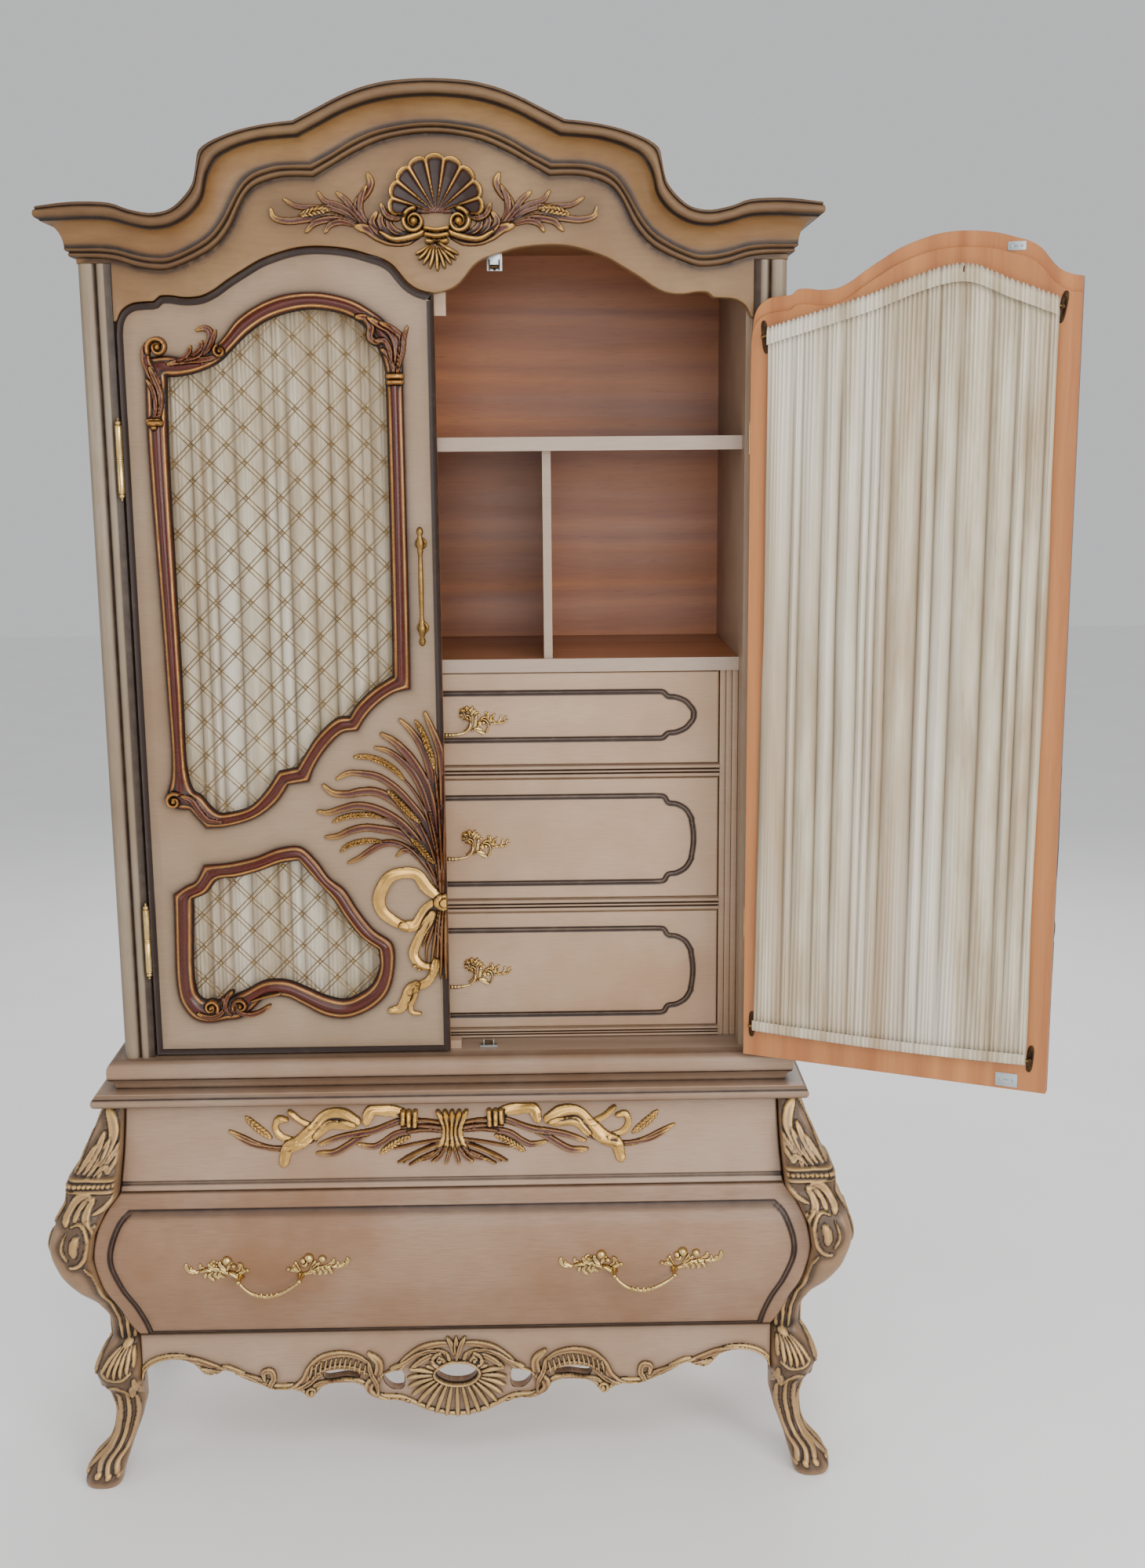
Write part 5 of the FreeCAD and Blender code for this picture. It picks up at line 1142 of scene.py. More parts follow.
# ------------------------------------------------------------------ frieze board
bead = np.array([[s[6], s[7]] for s in rails])
gap = grow([(-494, 1500)] + DOOR_TOP + [(-1.5, 1500)], 2.0)[1:-1]
gap = [tuple(q) for q in gap if -495.5 < q[0] < -2]
arch = spline(np.array([(-496.5, gap[0][1])] + gap), 6.0)
half = [(-548.5, 2031.5), (-496.5, 2031.5)] + [tuple(q) for q in arch] + [(0, 1984.8)]
top = [(-s[0], s[1] - 4) for s in rails if s[0] > 0 and s[0] < 545]
loop = half + [(-x, z) for x, z in half[:-1][::-1]]
top_line = [(x, z) for x, z in [(-548.5, 2109)] + top]
loop = loop + [(-x, z) for x, z in top_line] + [(0, 2286)] + top_line[::-1]
loop = [q for i, q in enumerate(loop) if i == 0 or math.hypot(q[0] - loop[i - 1][0], q[1] - loop[i - 1][1]) > 0.6]


# painted shade beneath the cornice bead and round the shell's sprays, over the brown glaze
def frieze_glaze_and_shade(x, z):
    d = distance(bead, x, z, closed=False)
    e = distance(spray_line, x, z, closed=False)
    return np.clip(0.95 * np.exp(-d / 6.0) + 0.35 * np.exp(-d / 22.0) + 0.40 * np.exp(-np.maximum(e - 16, 0) / 10.0), 0, 1)


spray_line = np.array([(-235, 2104), (-120, 2094), (-75, 2110), (0, 2150), (75, 2110), (120, 2094), (235, 2104)])
acc = plate(Acc(), loop, [], 0, 24, edge=1.4, step=13, glaze=frieze_glaze_and_shade, mat=0, mat_back=1,
            extra_loops=[bead + [0, -4], bead + [0, -9], bead + [0, -16]])
make("frieze_board_face", acc, [M["frieze"], M["basewood"]], "case", replaces=["frieze_board"], angle=40)

# ------------------------------------------------------------------ corner posts
# rows are (x, y, glaze); the dark return face at x 497, beside the door, is painted shade
post = [(497, 24.2, .5), (497, 0.5, .9), (497.5, 0.2, .95), (505.2, 0.3, .85), (506.2, -0.6, .7), (507.2, -2.0, .35), (509, -2.9, .2),
        (512, -3.4, .15), (515, -3.1, .2), (517.4, -1.6, .45), (519.2, 0.9, .9), (521, 1.9, 1.), (522.6, 0.8, .9), (524.2, -1.2, .45),
        (526.4, -2.9, .2), (529.6, -3.8, .12), (533, -4.1, .1), (537, -3.8, .12), (540.6, -2.6, .15), (543.6, -0.2, .2),
        (545.8, 2.8, .25), (547.4, 6.4, .3), (548.4, 10.4, .3), (549, 15, .4), (549, 17.6, .9), (548.6, 18.4, 1.), (549, 19.2, .9), (549, 24.2, .4)]
acc = Acc()
for s in (-1, 1):
    zs = [748, 749.5] + list(np.linspace(762, 2020, 40)) + [2031]
    g = np.array([[(s * x, y, z) for x, y, _ in post] for z in zs])
    acc.grid(g, 0, glaze=np.array([[q[2] for q in post] for _ in zs]))
    n = len(post)
    acc.add([(s * 497, 24.2, z) for z in zs] + [(s * 549, 24.2, z) for z in zs],
            np.array([[i, i + 1, len(zs) + i + 1, len(zs) + i] for i in range(len(zs) - 1)]), 0, glaze=0.2)
make("corner_post_mouldings", acc, M["stile"], "case", replaces=["corner_posts"], angle=45)


# ------------------------------------------------------------------ waist moulding and table edge
def around(acc, profile, half_x, front, back, mat=0, cap=True):
    """Moulding mitred round the front corners; profile rows are (out, z, glaze with painted shade)."""
    g = []
    for s, y in ((-1, back), (-1, back * 0.5), (-1, None), (-0.5, None), (0, None), (0.5, None), (1, None), (1, back * 0.5), (1, back)):
        row = []
        for o, z, _ in profile:
            if y is None:
                x = s * (half_x + o) if abs(s) == 1 else s * half_x
                row.append((x, front - o, z))
            else:
                row.append((s * (half_x + o), y, z))
        g.append(row)
    start, n = acc.n, len(profile)
    acc.grid(np.array(g), mat, glaze=np.array([[q[2] for q in profile]] * len(g)))
    if cap:
        acc.f += [[start + i for i in range(n)], [start + (len(g) - 1) * n + i for i in range(n)][::-1]]
        acc.m += [mat, mat]
    return acc


def rounded(profile, n=4):
    """Profile rows smoothed through their points."""
    return [tuple(q) for q in spline(np.array(profile, float), 1.2)]


# the dark underside rows at z 698 are painted shade
waist = [(0.2, 698.2, .8), (12.6, 698.2, .9), (13, 699.5, .8), (13.2, 702.5, .4), (13.8, 705.6, .35), (16, 709.6, .3), (19, 712.6, .3),
         (22, 715, .45), (23.6, 716.6, .9), (23.8, 718, .95), (24.6, 719.4, .4), (25, 723, .15), (25, 731, .12), (24.6, 736, .15), (23, 740.6, .2),
         (20, 744.6, .3), (16, 747.2, .4), (13.4, 748, .6), (-10, 748.2, .3)]
acc = around(Acc(), waist, 549, 0, 447)
make("waist_moulding_run", acc, M["base"], "case", replaces=["waist_moulding"], angle=50)

# top slab of the base: rounded nosing with a quirk under it; the dark rows on its underside are painted shade
slab = [(-60, 674.2, .3), (-9, 674.2, .95), (-7.4, 674.4, .9), (-5, 675.4, .7), (-2.6, 677.2, .4), (-1.0, 679.6, .25), (-0.2, 682.4, .2),
        (-0.1, 685.6, .2), (-0.8, 688.2, .3), (-2.4, 689.6, .85), (-3.0, 690.2, 1.), (-3.0, 690.9, .95), (-4.2, 692.8, .5), (-6.6, 695.2, .25),
        (-9.6, 696.9, .2), (-13, 697.8, .2), (-18, 698, .25), (-49, 698, .85)]
acc = around(Acc(), slab, 598, -48, 447)
acc.slab((-590, 590), (-40, 446.6), (675, 697.6), 1.0, 0, glaze=0.1)
make("base_top_slab", acc, M["base"], "case", replaces=["base_top_board"], angle=50)
# ------------------------------------------------------------------ grooved fronts
def axis_mix(lo, hi, coarse, fine, zones):
    """Coordinates with fine spacing inside the zones."""
    out = [lo]
    while out[-1] < hi - 1e-6:
        v = out[-1]
        f = any(a - fine <= v <= b for a, b in zones)
        step = fine if f else coarse
        if not f:
            nxt = [a for a, b in zones if a > v]
            if nxt:
                step = min(step, max(fine, min(nxt) - v))
        out.append(min(hi, v + step))
    return np.array(out)


def groove(d, centre, width, deep):
    """Double dark line with a paler fillet between: depth and glaze against distance."""
    u = np.abs(d - centre) / (width / 2)
    ins = u < 1.25
    dep = deep * (0.55 * smooth01(1.2, 0.75, u) + 0.45 * smooth01(0.9, 0.5, u) - 0.55 * smooth01(0.34, 0.1, u))
    gl = np.clip(smooth01(1.35, 0.85, u) - 0.45 * smooth01(0.40, 0.12, u), 0, 1)
    return np.where(ins, dep, 0), np.where(u < 1.4, gl, 0)


def lobed(x1, z0, z1):
    """Outline of the inlaid line on an inner drawer: bowed ends with stepped corners."""
    zc, hz = (z0 + z1) / 2.0, (z1 - z0) / 2.0
    right = [(x1 - 66, z1), (x1 - 52, z1 - 1), (x1 - 44, z1 - 8), (x1 - 30, z1 - 10), (x1 - 14, z1 - 17), (x1 - 4, z1 - 28)]
    if hz > 50:
        right = [(x1 - 66, z1), (x1 - 50, z1 - 2), (x1 - 43, z1 - 12), (x1 - 28, z1 - 15), (x1 - 13, z1 - 24), (x1 - 3, z1 - 40)]
    end = spline(np.array(right), 3.0)
    mid = spline(np.array([(x1 - 3.6, right[-1][1]), (x1, zc + 0.3 * (right[-1][1] - zc)), (x1, zc - 0.3 * (right[-1][1] - zc)), (x1 - 3.6, 2 * zc - right[-1][1])]), 4.0)
    low = np.array([(x, 2 * zc - z) for x, z in end[::-1]])
    r = np.vstack([end, mid, low])
    l = np.array([(-x, z) for x, z in r[::-1]])
    return np.vstack([r, l])


FACES = {"top": (1226.0, 1382.0, 1269, 1348), "middle": (995.0, 1202.0, 1022, 1171), "bottom": (766.0, 971.0, 789, 940)}
for t, (lo, hi, g0, g1) in FACES.items():
    line = lobed(413, g0, g1)
    xs = axis_mix(-454.5, 454.5, 14, 1.5, [(-454.5, -452), (-420, -335), (335, 420), (452, 454.5)])
    zs = axis_mix(lo + .5, hi - .5, 9, 1.3, [(lo, lo + 3.5), (g0 - 8, g0 + (50 if hi - lo > 170 else 34)), (g1 - (50 if hi - lo > 170 else 34), g1 + 8), (hi - 3.5, hi)])
    X, Z = np.meshgrid(xs, zs)
    d = distance(line, X, Z)
    dep, gz = groove(d, 0, 9.0, 1.7)
    edge = np.minimum(np.minimum(X + 455, 455 - X), np.minimum(Z - lo, hi - Z))
    rnd = 1.5 * smooth01(2.2, 0.0, edge)
    gl = np.clip(gz + 0.55 * smooth01(3.0, 0.3, edge) + 0.16 * np.exp(-d / 9.0), 0, 1)
    Y = 75.0 + dep + rnd
    g = np.stack([X, Y, Z], -1)
    acc = Acc().grid(g, 0, glaze=gl)
    rim = np.vstack([g[0], g[1:, -1], g[-1, -2::-1], g[-2:0:-1, 0]])
    back = rim.copy()
    back[:, 1] = 91.0
    acc.grid(np.array([rim, back]), 1, wrap=True, glaze=0.5)
    n = acc.n
    acc.add([(-454.5, 91, lo + .5), (454.5, 91, lo + .5), (454.5, 91, hi - .5), (-454.5, 91, hi - .5)], [[0, 1, 2, 3]], 1, glaze=0.0)
    make("inner_%s_drawer_face" % t, acc, [M["inner"], M["boxwood"]], "inner_drawer_" + t,
         replaces=["inner_drawer_%s_front" % t], angle=60)

# drawer bank: reeded rails between plain stiles
reed = [(0, 0, .9), (0.6, -1.2, .6), (2.2, -3.2, .25), (4.4, -4, .15), (6.6, -3.2, .3), (7.6, -1.4, .95), (8.4, -0.6, 1.), (9.2, -1.4, .9),
        (10.4, -3.2, .25), (11.3, -3.6, .2), (12.4, -3.2, .25), (13.4, -1.4, .95), (14.2, -0.6, 1.), (15, -1.4, .95), (16.2, -3.2, .3),
        (18.4, -4, .15), (20.4, -3.2, .3), (22, -1.2, .6), (22.6, 0, .9)]
acc = Acc()
for lo, hi in ((748, 765.3), (971.7, 994.3), (1202.7, 1225.3)):
    k = (hi - lo) / 22.6
    rr = spline(np.array(reed), 0.9)
    xs = np.linspace(-456, 456, 12)
    g = np.array([[(x, 75 + q[1], lo + q[0] * k) for q in rr] for x in xs])
    acc.grid(g, 0, glaze=np.array([rr[:, 2]] * len(xs)))
    acc.slab((-456, 456), (76.5, 95), (lo, hi), 0.4, 0, glaze=0.0)
for s in (-1, 1):
    a, b = sorted((s * 456.0, s * 486.7))
    for k in range(3):
        w = (b - a) / 3.0
        acc.slab((a + k * w + .25, a + (k + 1) * w - .25), (75.0, 95), (748, 1383), 1.4, 0, glaze=0.12)
make("bank_rails", acc, M["inner"], "case", replaces=["drawer_bank_frame"], angle=50)


# ------------------------------------------------------------------ base drawers
def shaped(name, xs_table, z0, z1, y_back, line_of, body, node, mats, bulge=0.0, low_lip=None):
    U = np.concatenate([np.linspace(-1, -0.86, 60), np.linspace(-0.86, 0.86, 60)[1:-1], np.linspace(0.86, 1, 60)])
    zs = axis_mix(z0, z1, 5.5, 1.2, [(z0, z0 + 22), (z1 - 26, z1)])
    half = smooth_at(xs_table, zs)
    X = U[None, :] * half[:, None]
    Z = np.broadcast_to(zs[:, None], X.shape)
    edge_x = half[:, None] - np.abs(X)
    edge = np.minimum(edge_x, np.minimum(Z - z0, z1 - Z))
    dep, gz = line_of(X, Z)
    Y = smooth_at(FACE_Y, Z) + dep + 1.6 * smooth01(2.4, 0, edge)
    gl = np.clip(gz + 0.6 * smooth01(3.0, 0.2, edge), 0, 1)
    g = np.stack([X, Y, Z], -1)
    acc = Acc().grid(g, 0, glaze=gl)
    rim = np.vstack([g[0], g[1:, -1], g[-1, -2::-1], g[-2:0:-1, 0]])
    back = rim.copy()
    back[:, 1] = y_back
    acc.grid(np.array([rim, back]), 0, wrap=True, glaze=0.55)
    bz = np.array([[(-h, y_back, z), (h, y_back, z)] for h, z in zip(half, zs)])
    acc.grid(bz, 1, glaze=0.0)
    return make(name, acc, mats, body, replaces=[node], angle=60)


PANEL = [(259 + 8, 521), (290, 526), (325, 537), (370, 558), (411, 572), (440, 571), (482, 555), (497, 540)]


def low_line(X, Z):
    inner = np.array([(x, z) for z, x in PANEL])
    s = spline(inner, 3.0)
    loop = np.vstack([s, np.array([(-x, z) for x, z in s[::-1]])])
    d = distance(loop, X, Z)
    dep, gz = groove(d, 0, 9.5, 2.0)
    gz = gz * 0.8
    ins = inside(loop, X, Z)
    rise = np.where(ins, -1.2 * smooth01(4, 12, d), 0)
    return dep + rise, np.clip(gz + 0.28 * np.exp(-d / 10.0), 0, 1)


# groove line, with painted shade under the slab's nosing (z 666) and beside the legs
def frz_line(X, Z):
    d = np.abs(Z - 541.0)
    dep, gz = groove(d, 0, 7.0, 1.5)
    gz = gz * 0.8
    d2 = np.abs(Z - 531.5)
    dep2 = -1.2 * smooth01(4.5, 1.0, d2)
    e = 548 - np.abs(X)
    return dep + dep2, np.clip(gz + 0.22 * np.exp(-np.abs(Z - 666) / 5.0) + 0.30 * np.exp(-np.maximum(e, 0) / 7.0), 0, 1)


shaped("lower_drawer_face", DRAWER_X, 265.4, 525.8, -20, low_line, "lower_drawer", "lower_drawer_front", [M["pink"], M["boxwood"]])
shaped("frieze_drawer_face", [(527, 556.9)] + FRIEZE_X[1:] + [(673, 548)], 527.8, 672.3, 6, frz_line, "frieze_drawer", "frieze_drawer_front", [M["base"], M["boxwood"]])


# ------------------------------------------------------------------ doors
BOTTOM = 751.5
UPO, UPI = soft_loop(UP_OUT, 4.0, 42), soft_loop(UP_IN, 4.0, 42)
LWO, LWI = soft_loop(LOW_OUT, 4.0, 48), soft_loop(LOW_IN, 4.0, 48)
top_run = spline(np.array(DOOR_TOP[:-1] + [(-1.6, 1983)]), 6.0)
DOOR = np.vstack([[(-494, BOTTOM)], top_run, [(-1.6, BOTTOM)]])
STEP_TOP = top_run - [0, 23]
DOOR_STEP = np.vstack([[(-494, BOTTOM)], STEP_TOP, [(-1.6, BOTTOM)]])
HOLES = [grow(UPI, 7), grow(LWI, 7)]

# relief on the grille frames
up = Relief(-462, -40, 1128, 2000, 1.2)
up.leaf_gild, up.rim = 0.0, 0.6
KNOTS = [(0, 0.4, .0), (.05, 3.0, .02), (.11, 4.8, .04), (.15, 5.2, .35), (.18, 4.9, 1.0), (.23, 4.7, .9), (.27, 5.2, .10), (.36, 7.4, .0),
         (.46, 8.9, .0), (.54, 9.0, .0), (.62, 8.3, .0), (.69, 6.4, .0), (.74, 5.2, .12), (.78, 5.0, 1.0), (.83, 5.3, .9), (.87, 4.6, .2),
         (.94, 2.6, .05), (1.0, -0.6, 0)]
up.band(UPO, UPI, KNOTS)
up.strokes(RING)
up.spiral(-430, 1905, 17, 4, 1.45, 205, -0 + 8.5, 11.5, .8, hand=-1)
up.spiral(-334, 1899, 10, 3, 1.1, 120, 6, 10.5, .8, hand=1)
up.spiral(-442, 1187, 14, 4, 1.2, 60, 7.5, 10.5, .75, hand=1)
up.stroke("leaf", 10, 9.5, .6, [(-428, 1196), (-414, 1190), (-402, 1172), (-388, 1156), (-366, 1152)])
up.stroke("bar", 8, 10.5, 1.0, [(-431, 1790), (-448, 1790)])
up.finish(floor=-3.2, crest=.06)

low = Relief(-462, -82, 800, 1118, 1.2)
low.leaf_gild, low.rim = 0.0, 0.6
low.band(LWO, LWI, KNOTS)
low.spiral(-398, 836, 13, 3.5, 1.3, -40, 7, 10.5, .8, hand=1)
low.spiral(-349, 838, 13, 3.5, 1.3, 200, 7, 10.5, .8, hand=-1)
low.stroke("leaf", 9, 10, .7, [(-420, 826), (-404, 820), (-388, 822), (-376, 834), (-378, 850)])
low.stroke("leaf", 9, 10, .7, [(-300, 838), (-318, 826), (-336, 822), (-352, 828), (-358, 844)])
low.stroke("leaf", 8, 9, .7, [(-362, 862), (-372, 850), (-374, 834), (-366, 822)])
low.stroke("stem", 5, 8, .9, [(-330, 846), (-310, 852), (-284, 858)])
low.finish(floor=-3.2, crest=.06)

sheaf = Relief(-216, -1.6, 812, 1340, 1.2)
sheaf.leaf_gild, sheaf.rim = 0.0, 0.5
sheaf.strokes([(q[0], q[1], q[2], q[3] * (.5 if q[0] in ("stem", "fan") else 1.0), q[4]) for q in SHEAF if q[0] not in ("ear", "ribbon", "knob")], hk=1.0, wk=1.25)
sheaf.strokes([q for q in SHEAF if q[0] == "ear"], hk=1.15)
sheaf.strokes([q for q in SHEAF if q[0] == "ribbon"], hk=1.1)
sheaf.strokes([q for q in SHEAF if q[0] == "knob"], hk=1.1)
sheaf.H = np.minimum(sheaf.H, 13.6)
sheaf.H[sheaf.X > -1.7] = -6
sheaf.finish(floor=-1.4, cav_scale=.8, crest=.08, edge_cav=.8)

mask = sheaf.blur((sheaf.H > 0).astype(float), 4)


def mask_at(x, z):
    j = np.clip((x - sheaf.x[0]) / sheaf.step, 0, len(sheaf.x) - 1.001)
    i = np.clip((z - sheaf.z[0]) / sheaf.step, 0, len(sheaf.z) - 1.001)
    v = mask[i.astype(int), j.astype(int)]
    out = (x < sheaf.x[0]) | (z < sheaf.z[0]) | (z > sheaf.z[-1])
    return np.where(out, 0, v)


# glaze with painted shade: dark halos round the grille mouldings and the sheaf, and inside the door's dark edge band
def door_glaze_and_shade(x, z):
    d = np.minimum(distance(UPO, x, z), distance(LWO, x, z))
    e = distance(DOOR, x, z)
    return np.clip(0.75 * np.exp(-d / 4.5) + 0.16 * np.exp(-d / 22) + 0.55 * mask_at(x, z) + 0.30 * np.exp(-np.maximum(e - 10, 0) / 5.0)
                   + 0.10 * np.exp(-np.maximum(e - 10, 0) / 30), 0, 1)


gx, gz = np.meshgrid(np.arange(-222, -14, 4.2), np.arange(816, 1344, 4.2))
near = np.stack([gx.ravel(), gz.ravel()], 1)
near = near[mask_at(near[:, 0], near[:, 1]) > 0.01]
rings_extra = [grow(q, d) for q in (UPO, LWO) for d in (0.5, 4.0, 8.5, 15.0)]
FIELD = grow(DOOR, -10.5)
FIELD = np.array([q for q in FIELD if q[1] > BOTTOM + 5])

wires_cache = {}


def lattice(hole):
    """Crossed pairs of twisted wires woven over and under, with ties at the crossings."""
    a = Acc()
    hole = np.array(hole)
    cx, cz = 0.5 * (hole[:, 0].min() + hole[:, 0].max()), 0.5 * (hole[:, 1].min() + hole[:, 1].max())
    reach = 0.5 * math.hypot(np.ptp(hole[:, 0]), np.ptp(hole[:, 1])) + 20
    pitch = 55.0 * math.sin(math.radians(45))
    n = int(reach / pitch) + 1
    r2 = math.sqrt(0.5)
    for fam, (ux, uz, vx, vz) in enumerate(((r2, r2, -r2, r2), (r2, -r2, r2, r2))):
        for k in range(-n, n + 1):
            for w in (-3.0, 3.0):
                off = k * pitch + w
                s = np.arange(-reach, reach, 3.3)
                x, z = cx + vx * off + ux * s, cz + vz * off + uz * s
                ok = inside(hole, x, z)
                if ok.sum() < 3:
                    continue
                ph = math.pi * (s / pitch) + (0 if fam == 0 else math.pi)
                y = 5.5 + 0.85 * np.cos(math.pi * s / pitch + math.pi * k + fam * math.pi)
                run = np.nonzero(ok)[0]
                for seg in np.split(run, np.nonzero(np.diff(run) > 1)[0] + 1):
                    if len(seg) < 3:
                        continue
                    seg = np.concatenate([[max(0, seg[0] - 1)], seg, [min(len(s) - 1, seg[-1] + 1)]])
                    p = np.stack([x[seg], y[seg], z[seg]], 1)
                    tw = 0.14 * np.sin(s[seg] * 1.9)
                    # darker bands along each wire: painted shade standing in for the twist
                    a.tube(p, 0.72 + tw * .8, 6, caps=False, cav=(0.25 + 0.35 * np.sin(s[seg] * 1.9))[:, None])
    for i in range(-n, n + 1):
        for j in range(-n, n + 1):
            x = cx - r2 * i * pitch + r2 * j * pitch
            z = cz + r2 * i * pitch + r2 * j * pitch
            if inside(hole, np.array([x]), np.array([z]))[0]:
                t = np.linspace(0, 2 * math.pi, 13)
                for sgn in (1, -1):
                    px = x + 3.5 * np.cos(t) * r2 * 1.0 - sgn * 0.9 * np.sin(t)
                    pz = z + sgn * 3.5 * np.cos(t) * r2 + 0.9 * np.sin(t)
                    a.tube(np.stack([px, 5.5 + 2.1 * np.sin(t), pz], 1), 0.42, 5, caps=False, cav=0.0)
    return a


def soft_field(r, nu, nv):
    """Smooth random field over the unit square, within about -1 to 1."""
    g = r.uniform(-1, 1, (nv + 2, nu + 2))

    def f(u, v):
        a, b = np.clip(np.asarray(u, float), 0, 1) * nu, min(max(v, 0.0), 1.0) * nv
        i, j = np.minimum(a.astype(int), nu), min(int(b), nv)
        s, t = a - i, b - j
        s, t = s * s * (3 - 2 * s), t * t * (3 - 2 * t)
        return (g[j, i] * (1 - s) + g[j, i + 1] * s) * (1 - t) + (g[j + 1, i] * (1 - s) + g[j + 1, i + 1] * s) * t
    return f


def curtain_surface(side):
    """Gathered sheer: rod pockets top and bottom, tight gathers at the rods opening into broad uneven folds."""
    r = np.random.default_rng(23 if side < 0 else 31)
    top = spline(np.array([(-466, 1913), (-318, 1953), (-170, 1994), (-100, 1969), (-30, 1942)]), 3.0)
    tx, tz = top[:, 0], top[:, 1]
    n_pleat = 16
    fine = 36
    u = np.linspace(0, 1, n_pleat * fine + 1)
    w = r.uniform(0.30, 1.0, n_pleat) ** 1.4 * 2.6 + 0.25
    edges = np.concatenate([[0], np.cumsum(w)]) / w.sum()
    deep = np.interp(u, (edges[:-1] + edges[1:]) / 2, np.clip(w / 1.2, 0.40, 1.0) * r.uniform(0.75, 1.0, n_pleat))
    drift, swell, tilt = soft_field(r, 7, 5), soft_field(r, 17, 6), soft_field(r, 23, 4)
    minor = np.interp(u, np.linspace(0, 1, 64), r.uniform(-1, 1, 64))
    gather = np.cumsum(r.uniform(0.5, 1.6, len(u)))
    gather = gather / gather[-1] * 62
    xt = -464.5 + u * 435.0
    xb = -474.0 + u * 442.0
    zt = np.interp(xt, tx, tz)
    zb = 806.0 - 4.0 * np.sin(u * math.pi)
    front_side = -1.0 if side < 0 else 1.0
    rows, fold_shades = [], []
    front = np.concatenate([[0.0, 0.004, 0.010, 0.02, 0.035], np.linspace(0.055, 0.945, 76), [0.965, 0.98, 0.99, 0.996, 1.0]])

    def row(v, off_z=0.0, y_abs=None, frill=0.0):
        m = math.sin(math.pi * min(max(v, 0.012), 0.988)) ** 0.38
        uu = np.clip(u + 0.010 * drift(u, v) * m, 0, 1)
        phase = np.interp(uu, edges, np.arange(n_pleat + 1))
        p = phase - np.floor(phase)
        hump = np.sin(math.pi * p) ** 0.62
        second = 0.5 - 0.5 * np.cos(4 * math.pi * p + 1.5 * minor)
        amp = deep * (0.78 + 0.30 * swell(u, v))
        broad = (hump - 0.55) * amp
        tight = np.sin(2 * math.pi * gather + 0.8 * minor)
        y = front_side * (10.0 * m * broad - 0.3 * m * second * deep) + (1.9 * (1 - m) + 0.05) * tight + 0.7 * m * tilt(u, v)
        x = xb + (xt - xb) * v
        z = zb + (zt - zb) * v
        x = x + m * 1.8 * np.sin(2 * math.pi * p) * deep + 3.2 * m * drift(u, v)
        base = 30.6 if y_abs is None else y_abs
        k = 1.0 if y_abs is None else 0.3
        yy = base + k * y
        zz = z + off_z
        if frill:
            zz = zz + frill * (0.5 + 0.5 * tight)
        # painted shade for the cloth: darkest in the pleat valleys, a little on the flanks and in the tight gathers at
        # the rods
        valley = np.clip(1.0 - hump, 0, 1) ** 1.6 * (0.5 + 0.5 * deep)
        flank = np.clip(np.abs(np.cos(math.pi * p)) - 0.55, 0, 1) * 0.5
        f = m * (1.05 * valley + flank * 0.12) + (1 - m) * 0.35 * (0.5 - 0.5 * tight) + 0.12 * (0.5 + 0.5 * tilt(u, v))
        return np.stack([x, np.clip(yy, 24.2, 39.4), zz], 1), f

    for y_abs, dz in ((38.4, 11.0), (38.8, 5.0), (38.7, -3.5), (37.0, -6.5), (34.0, -7.8)):
        p, f = row(0.0, dz, y_abs)
        rows.append(p)
        fold_shades.append(f)
    for v in front:
        p, f = row(v)
        near_rod = max(math.exp(-((zt.mean() - zb.mean()) * (1 - v) / 7.0) ** 2), math.exp(-((zt.mean() - zb.mean()) * v / 7.0) ** 2))
        p[:, 1] = p[:, 1] * (1 - 0.25 * near_rod) + 30.6 * 0.25 * near_rod
        rows.append(p)
        # more painted shade beside the rod pockets
        fold_shades.append(f + 0.15 * near_rod)
    for y_abs, dz, fr in ((31.6, 3.5, 0.0), (33.4, 8.5, 2.4), (35.2, 9.8, 3.4), (37.4, 7.5, 2.0), (38.7, 3.5, 0.0), (38.9, -4.0, 0), (38.3, -9.5, 0), (38.1, -14.0, 0)):
        p, f = row(1.0, dz, y_abs, fr)
        rows.append(p)
        # more painted shade where the lower pocket turns
        fold_shades.append(f + (0.2 if dz > 6 else 0.0))
    return np.array(rows), np.clip(np.array(fold_shades), 0, 1)


def arc_mean(g, axis):
    d = np.linalg.norm(np.diff(g, axis=axis), axis=2)
    return float(d.sum(axis).mean())


def mesh_area(g):
    a, b, c, d = g[:-1, :-1], g[:-1, 1:], g[1:, 1:], g[1:, :-1]
    return float((np.linalg.norm(np.cross(b - a, c - a), axis=-1).sum() + np.linalg.norm(np.cross(c - a, d - a), axis=-1).sum()) / 2)


